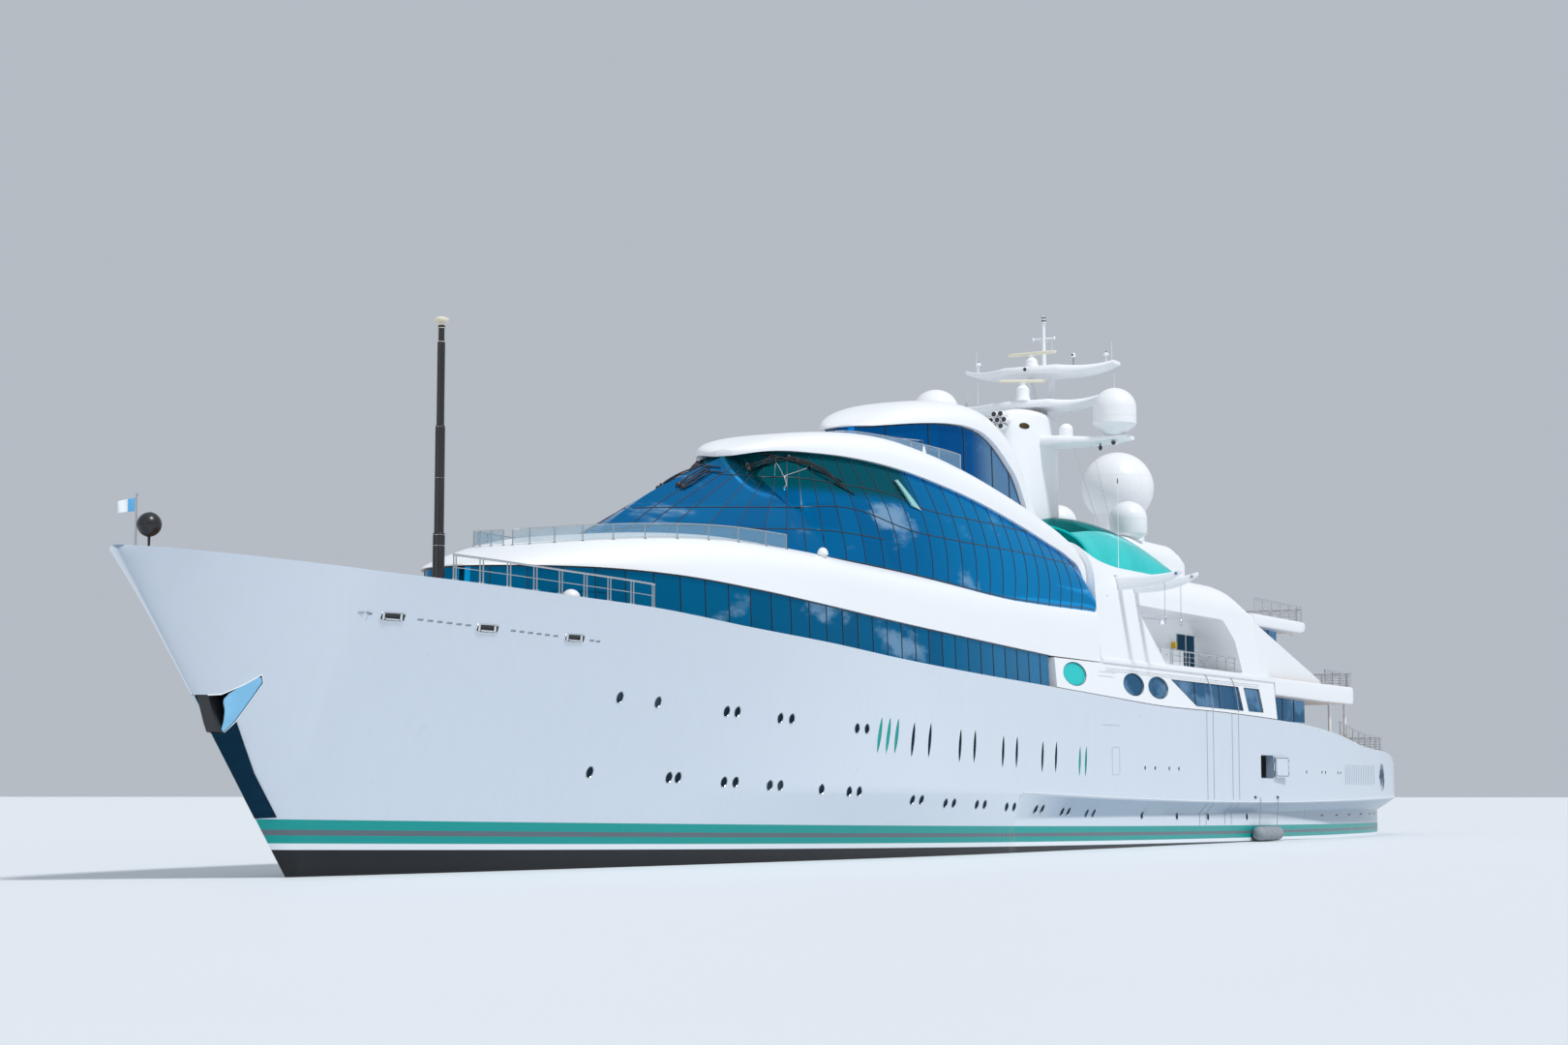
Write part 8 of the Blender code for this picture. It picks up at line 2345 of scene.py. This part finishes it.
def build_pole():
    """Pole with its lamp stack, crosstree and small lamps."""
    pole = Shape().turned((-1.26, 0, 0), [(0.0135, 2.9174), (0.0130, 2.95), (0.0095, 3.10), (0.0088, 3.20),
                                          (0.0138, 3.203), (0.0138, 3.220), (0.008, 3.224), (0.0098, 3.250),
                                          (0.004, 3.260)], 24)
    pole.sweep([(-1.26, -0.075, 3.118), (-1.26, 0.0, 3.1185), (-1.26, 0.075, 3.118)], 0.0042, 10)
    for y in (-0.070, 0.070):
        pole.turned((-1.26, y, 3.118), [(0.006, -0.010), (0.0066, -0.004), (0.0066, 0.006), (0.003, 0.010)], 12)
    for y in (-0.038, 0.038):
        pole.sweep([(-1.26, 0, 3.082), (-1.26, y, 3.114)], 0.0016, 6)
    pole.piece("mast_pole_stack", white_paint, "white_paint", "ship", ["mast_pole"])


def build_top_house_details():
    """A bright framed window forward on each side, a small white cone, and two small domes on the decks below."""
    bright, panes_here, cones = Shape(), Shape(), Shape()
    x = np.linspace(1.14, 1.33, 12)
    y = oval(x, 1.46, 0.45, 0.405) * 0.985
    z0, z1 = 2.075, 2.185
    outline = np.concatenate([np.stack([x, y + 0.002, z0 + 0 * x], 1), np.stack([x, y - 0.001, z1 + 0 * x], 1)[::-1]])
    bright.sweep(outline, 0.0032, 8, closed=True)
    face = np.stack([np.stack([x, y + s, z0 + 0 * x], 1) for s in (0.0015, -0.004)]
                    + [np.stack([x, y - 0.003 + s, z1 + 0 * x], 1) for s in (-0.004, 0.0015)], 1)
    panes_here.grid(face, False, True, True, np.full((12, 4, 2), 0.5))
    bright.mirrored().piece("top_window_frame", bright_steel, "steel")
    # Painted light: the pane's brighter blue stands for light from the room inside.
    panes_here.mirrored().piece("top_window", painted_lit_glazing, "blue_glass")
    foot = float(brow_height(np.array(1.36), np.array(0.40)))
    cones.turned((1.36, 0.40, foot - 0.004), [(0.016, 0.0), (0.014, 0.010), (0.005, 0.050), (0.002, 0.060)], 24)
    dome_t = np.radians(np.linspace(0, 88, 10))
    for at, y, r in ((3.02, 0.655, 0.026),):
        foot = float(deck_height(at, y))
        cones.turned((at, y, foot - 0.004), [(r * 0.7, 0.0), (r * 0.7, 0.010), (r, 0.014)]
                     + list(zip(r * np.cos(dome_t), 0.016 + 1.2 * r * np.sin(dome_t))), 28)
    foot = float(foot_height(4.78))
    cones.turned((4.78, 0.40, foot), [(0.020, 0.0), (0.020, 0.09), (0.038, 0.10)]
                 + list(zip(0.038 * np.cos(dome_t), 0.102 + 0.034 * np.sin(dome_t))), 32)
    cones.mirrored().piece("deck_domes", dome_white, "white_plastic")


build_mast_fittings()
build_tower_details()
build_searchlights()
build_pole()
build_top_house_details()
print("mast fittings", pieces["mast_fittings_white"], pieces["searchlight_tubes"])

# %% [markdown]
# The boat bay is a white room open to the side. Its back wall has a dark glass door with a frame and
# lockers beside it. A short boom with a lamp hangs from the ceiling. Forward of the bay the house's side has a black
# slot with a grey triangle under it, laid on the wall as painted shade of a slot and its triangular recess.

# %% Boat bays
def build_bays():
    """Doors, frames, lockers and safety gear on the back wall of each bay."""
    floor, glass, frames_here, white, yellow = UPPER_FLOOR + 0.004, Shape(), Shape(), Shape(), Shape()
    for x0, x1 in ((-2.66, -2.50), (-2.49, -2.33)):
        glass.box((x0, BAY_BACK - 0.002, floor + 0.012), (x1, BAY_BACK + 0.0035, 1.330))
        frames_here.sweep([(x0, BAY_BACK + 0.004, floor + 0.012), (x0, BAY_BACK + 0.004, 1.330),
                           (x1, BAY_BACK + 0.004, 1.330), (x1, BAY_BACK + 0.004, floor + 0.012)], 0.0028, 6)
    for x in (-2.20, -1.98, -1.76):
        white.prism(loop([(x - 0.095, floor), (x + 0.095, floor), (x + 0.095, floor + 0.13), (x - 0.095, floor + 0.13)],
                         0.008, 5), BAY_BACK - 0.002, BAY_BACK + 0.06)
        frames_here.sweep([(x - 0.02, BAY_BACK + 0.0625, floor + 0.09), (x + 0.02, BAY_BACK + 0.0625, floor + 0.09)],
                          0.0016, 6)
    white.sweep([(-1.50, BAY_BACK + 0.002, 1.385), (-1.50, 0.60, 1.375), (-1.50, 0.66, 1.362)], 0.0075, 10)
    white.turned((-1.50, 0.655, 1.335), [(0.010, 0.026), (0.016, 0.018), (0.017, 0.004), (0.012, 0.0)], 20)
    yellow.prism(loop([(-2.28, 1.235), (-2.235, 1.235), (-2.235, 1.275), (-2.28, 1.275)], 0.008, 5), BAY_BACK + 0.0,
                 BAY_BACK + 0.025)
    glass.mirrored().piece("bay_doors", dark_glazing, "grey_glass")
    frames_here.mirrored().piece("bay_frames", steel, "steel")
    white.mirrored().piece("bay_lockers", white_paint, "white_paint")
    yellow.mirrored().piece("bay_safety_box", safety_yellow, "cream_plastic")
    edge = np.array(loop(BAY, 0.03))
    x, z = edge.T
    lip = Shape().sweep(np.stack([x, side_y(z) + 0.0002, z], 1)[2:-2], 0.0022, 6)
    lip.mirrored().piece("bay_lip", white_paint, "white_paint")
    # Painted shade: the slot and the wedge are not cut; a black sheet and a grey one laid on the wall stand for their
    # shade.
    dark, grey = Shape(), Shape()
    slot_line = loop([(-0.44, 1.552), (-0.52, 1.556), (-0.52, 1.580), (-0.44, 1.577)], 0.004, 4)
    wedge = loop([(-0.455, 1.535), (-0.515, 1.540), (-0.500, 1.440)], 0.004, 4)
    for outline, shape in ((slot_line, dark), (wedge, grey)):
        x, z = outline.T
        y = side_y(np.minimum(z, 1.46)) - np.maximum(z - 1.46, 0) * 0.22
        shape.grid([np.stack([x, y - 0.006, z], 1), np.stack([x, y + 0.0012, z], 1)], False, True, True)
    dark.mirrored().piece("house_slot", black_paint, "black_paint")
    grey.mirrored().piece("house_wedge", slate_glazing, "grey_glass")


def build_side_details():
    """Handrail along the house, lamps under the after decks, bollards at the stern and rims round the mooring ports."""
    rail = Shape()
    x = np.linspace(-3.10, -0.35, 40)
    z = 1.022 + 0 * x
    rail.sweep(np.stack([x, side_y(z) + 0.0085, z], 1), 0.0017, 6)
    for k in range(0, 40, 4):
        rail.sweep([(x[k], float(side_y(1.022)) + 0.0085, 1.022), (x[k], float(side_y(1.018)) - 0.001, 1.018)], 0.0014,
                   5)
    rail.mirrored().piece("house_handrail", steel, "steel")
    lamps = Shape()
    for at in np.arange(-3.4, -4.4, -0.24):
        lamps.turned((at, 0.58, 1.4265), [(0.013, -0.0035), (0.014, -0.002), (0.014, 0.001)], 16)
    for at in np.arange(-3.7, -5.3, -0.30):
        lamps.turned((at, 0.58, 0.9635), [(0.013, -0.0035), (0.014, -0.002), (0.014, 0.001)], 16)
    lamps.mirrored().piece("ceiling_lamps", dome_white, "white_plastic")
    stern = Shape()
    for at, y in ((-6.45, 0.44), (-5.75, 0.60)):
        floor = float(hull_line(at, 2)) + 0.002
        for shift in (-0.028, 0.028):
            stern.turned((at + shift, y, floor), [(0.014, 0.0), (0.010, 0.006), (0.010, 0.032), (0.014, 0.036),
                                                  (0.010, 0.042)], 20)
        stern.box((at - 0.05, y - 0.018, floor - 0.004), (at + 0.05, y + 0.018, floor + 0.003))
    stern.mirrored().piece("stern_bollards", steel, "steel")
    mouth_x, mouth_z, r = MOORING
    t = 2 * np.pi * np.arange(48) / 48
    x, z = mouth_x + r * np.cos(t), mouth_z + r * np.sin(t)
    ring = Shape().sweep(np.stack([x, side_at(x, z) + 0.0006, z], 1), 0.0042, 8, closed=True)
    ring.mirrored().piece("mooring_port_rims", bright_steel, "steel")


build_bays()
build_side_details()
print("bays and sides", pieces["bay_lockers"], pieces["house_handrail"])

# %% [markdown]
# The plain floor lies at the waterline. Last, the number of pieces and of their faces is printed.

# %% Floor and sizes
floor_size = 400.0
floor = Shape().grid(np.array([[(x, y, 0.0) for y in (-floor_size, floor_size)]
                               for x in (-floor_size, floor_size)])).mesh("floor", floor_pale)
print(len(pieces), "pieces", sum(pieces.values()), "faces")
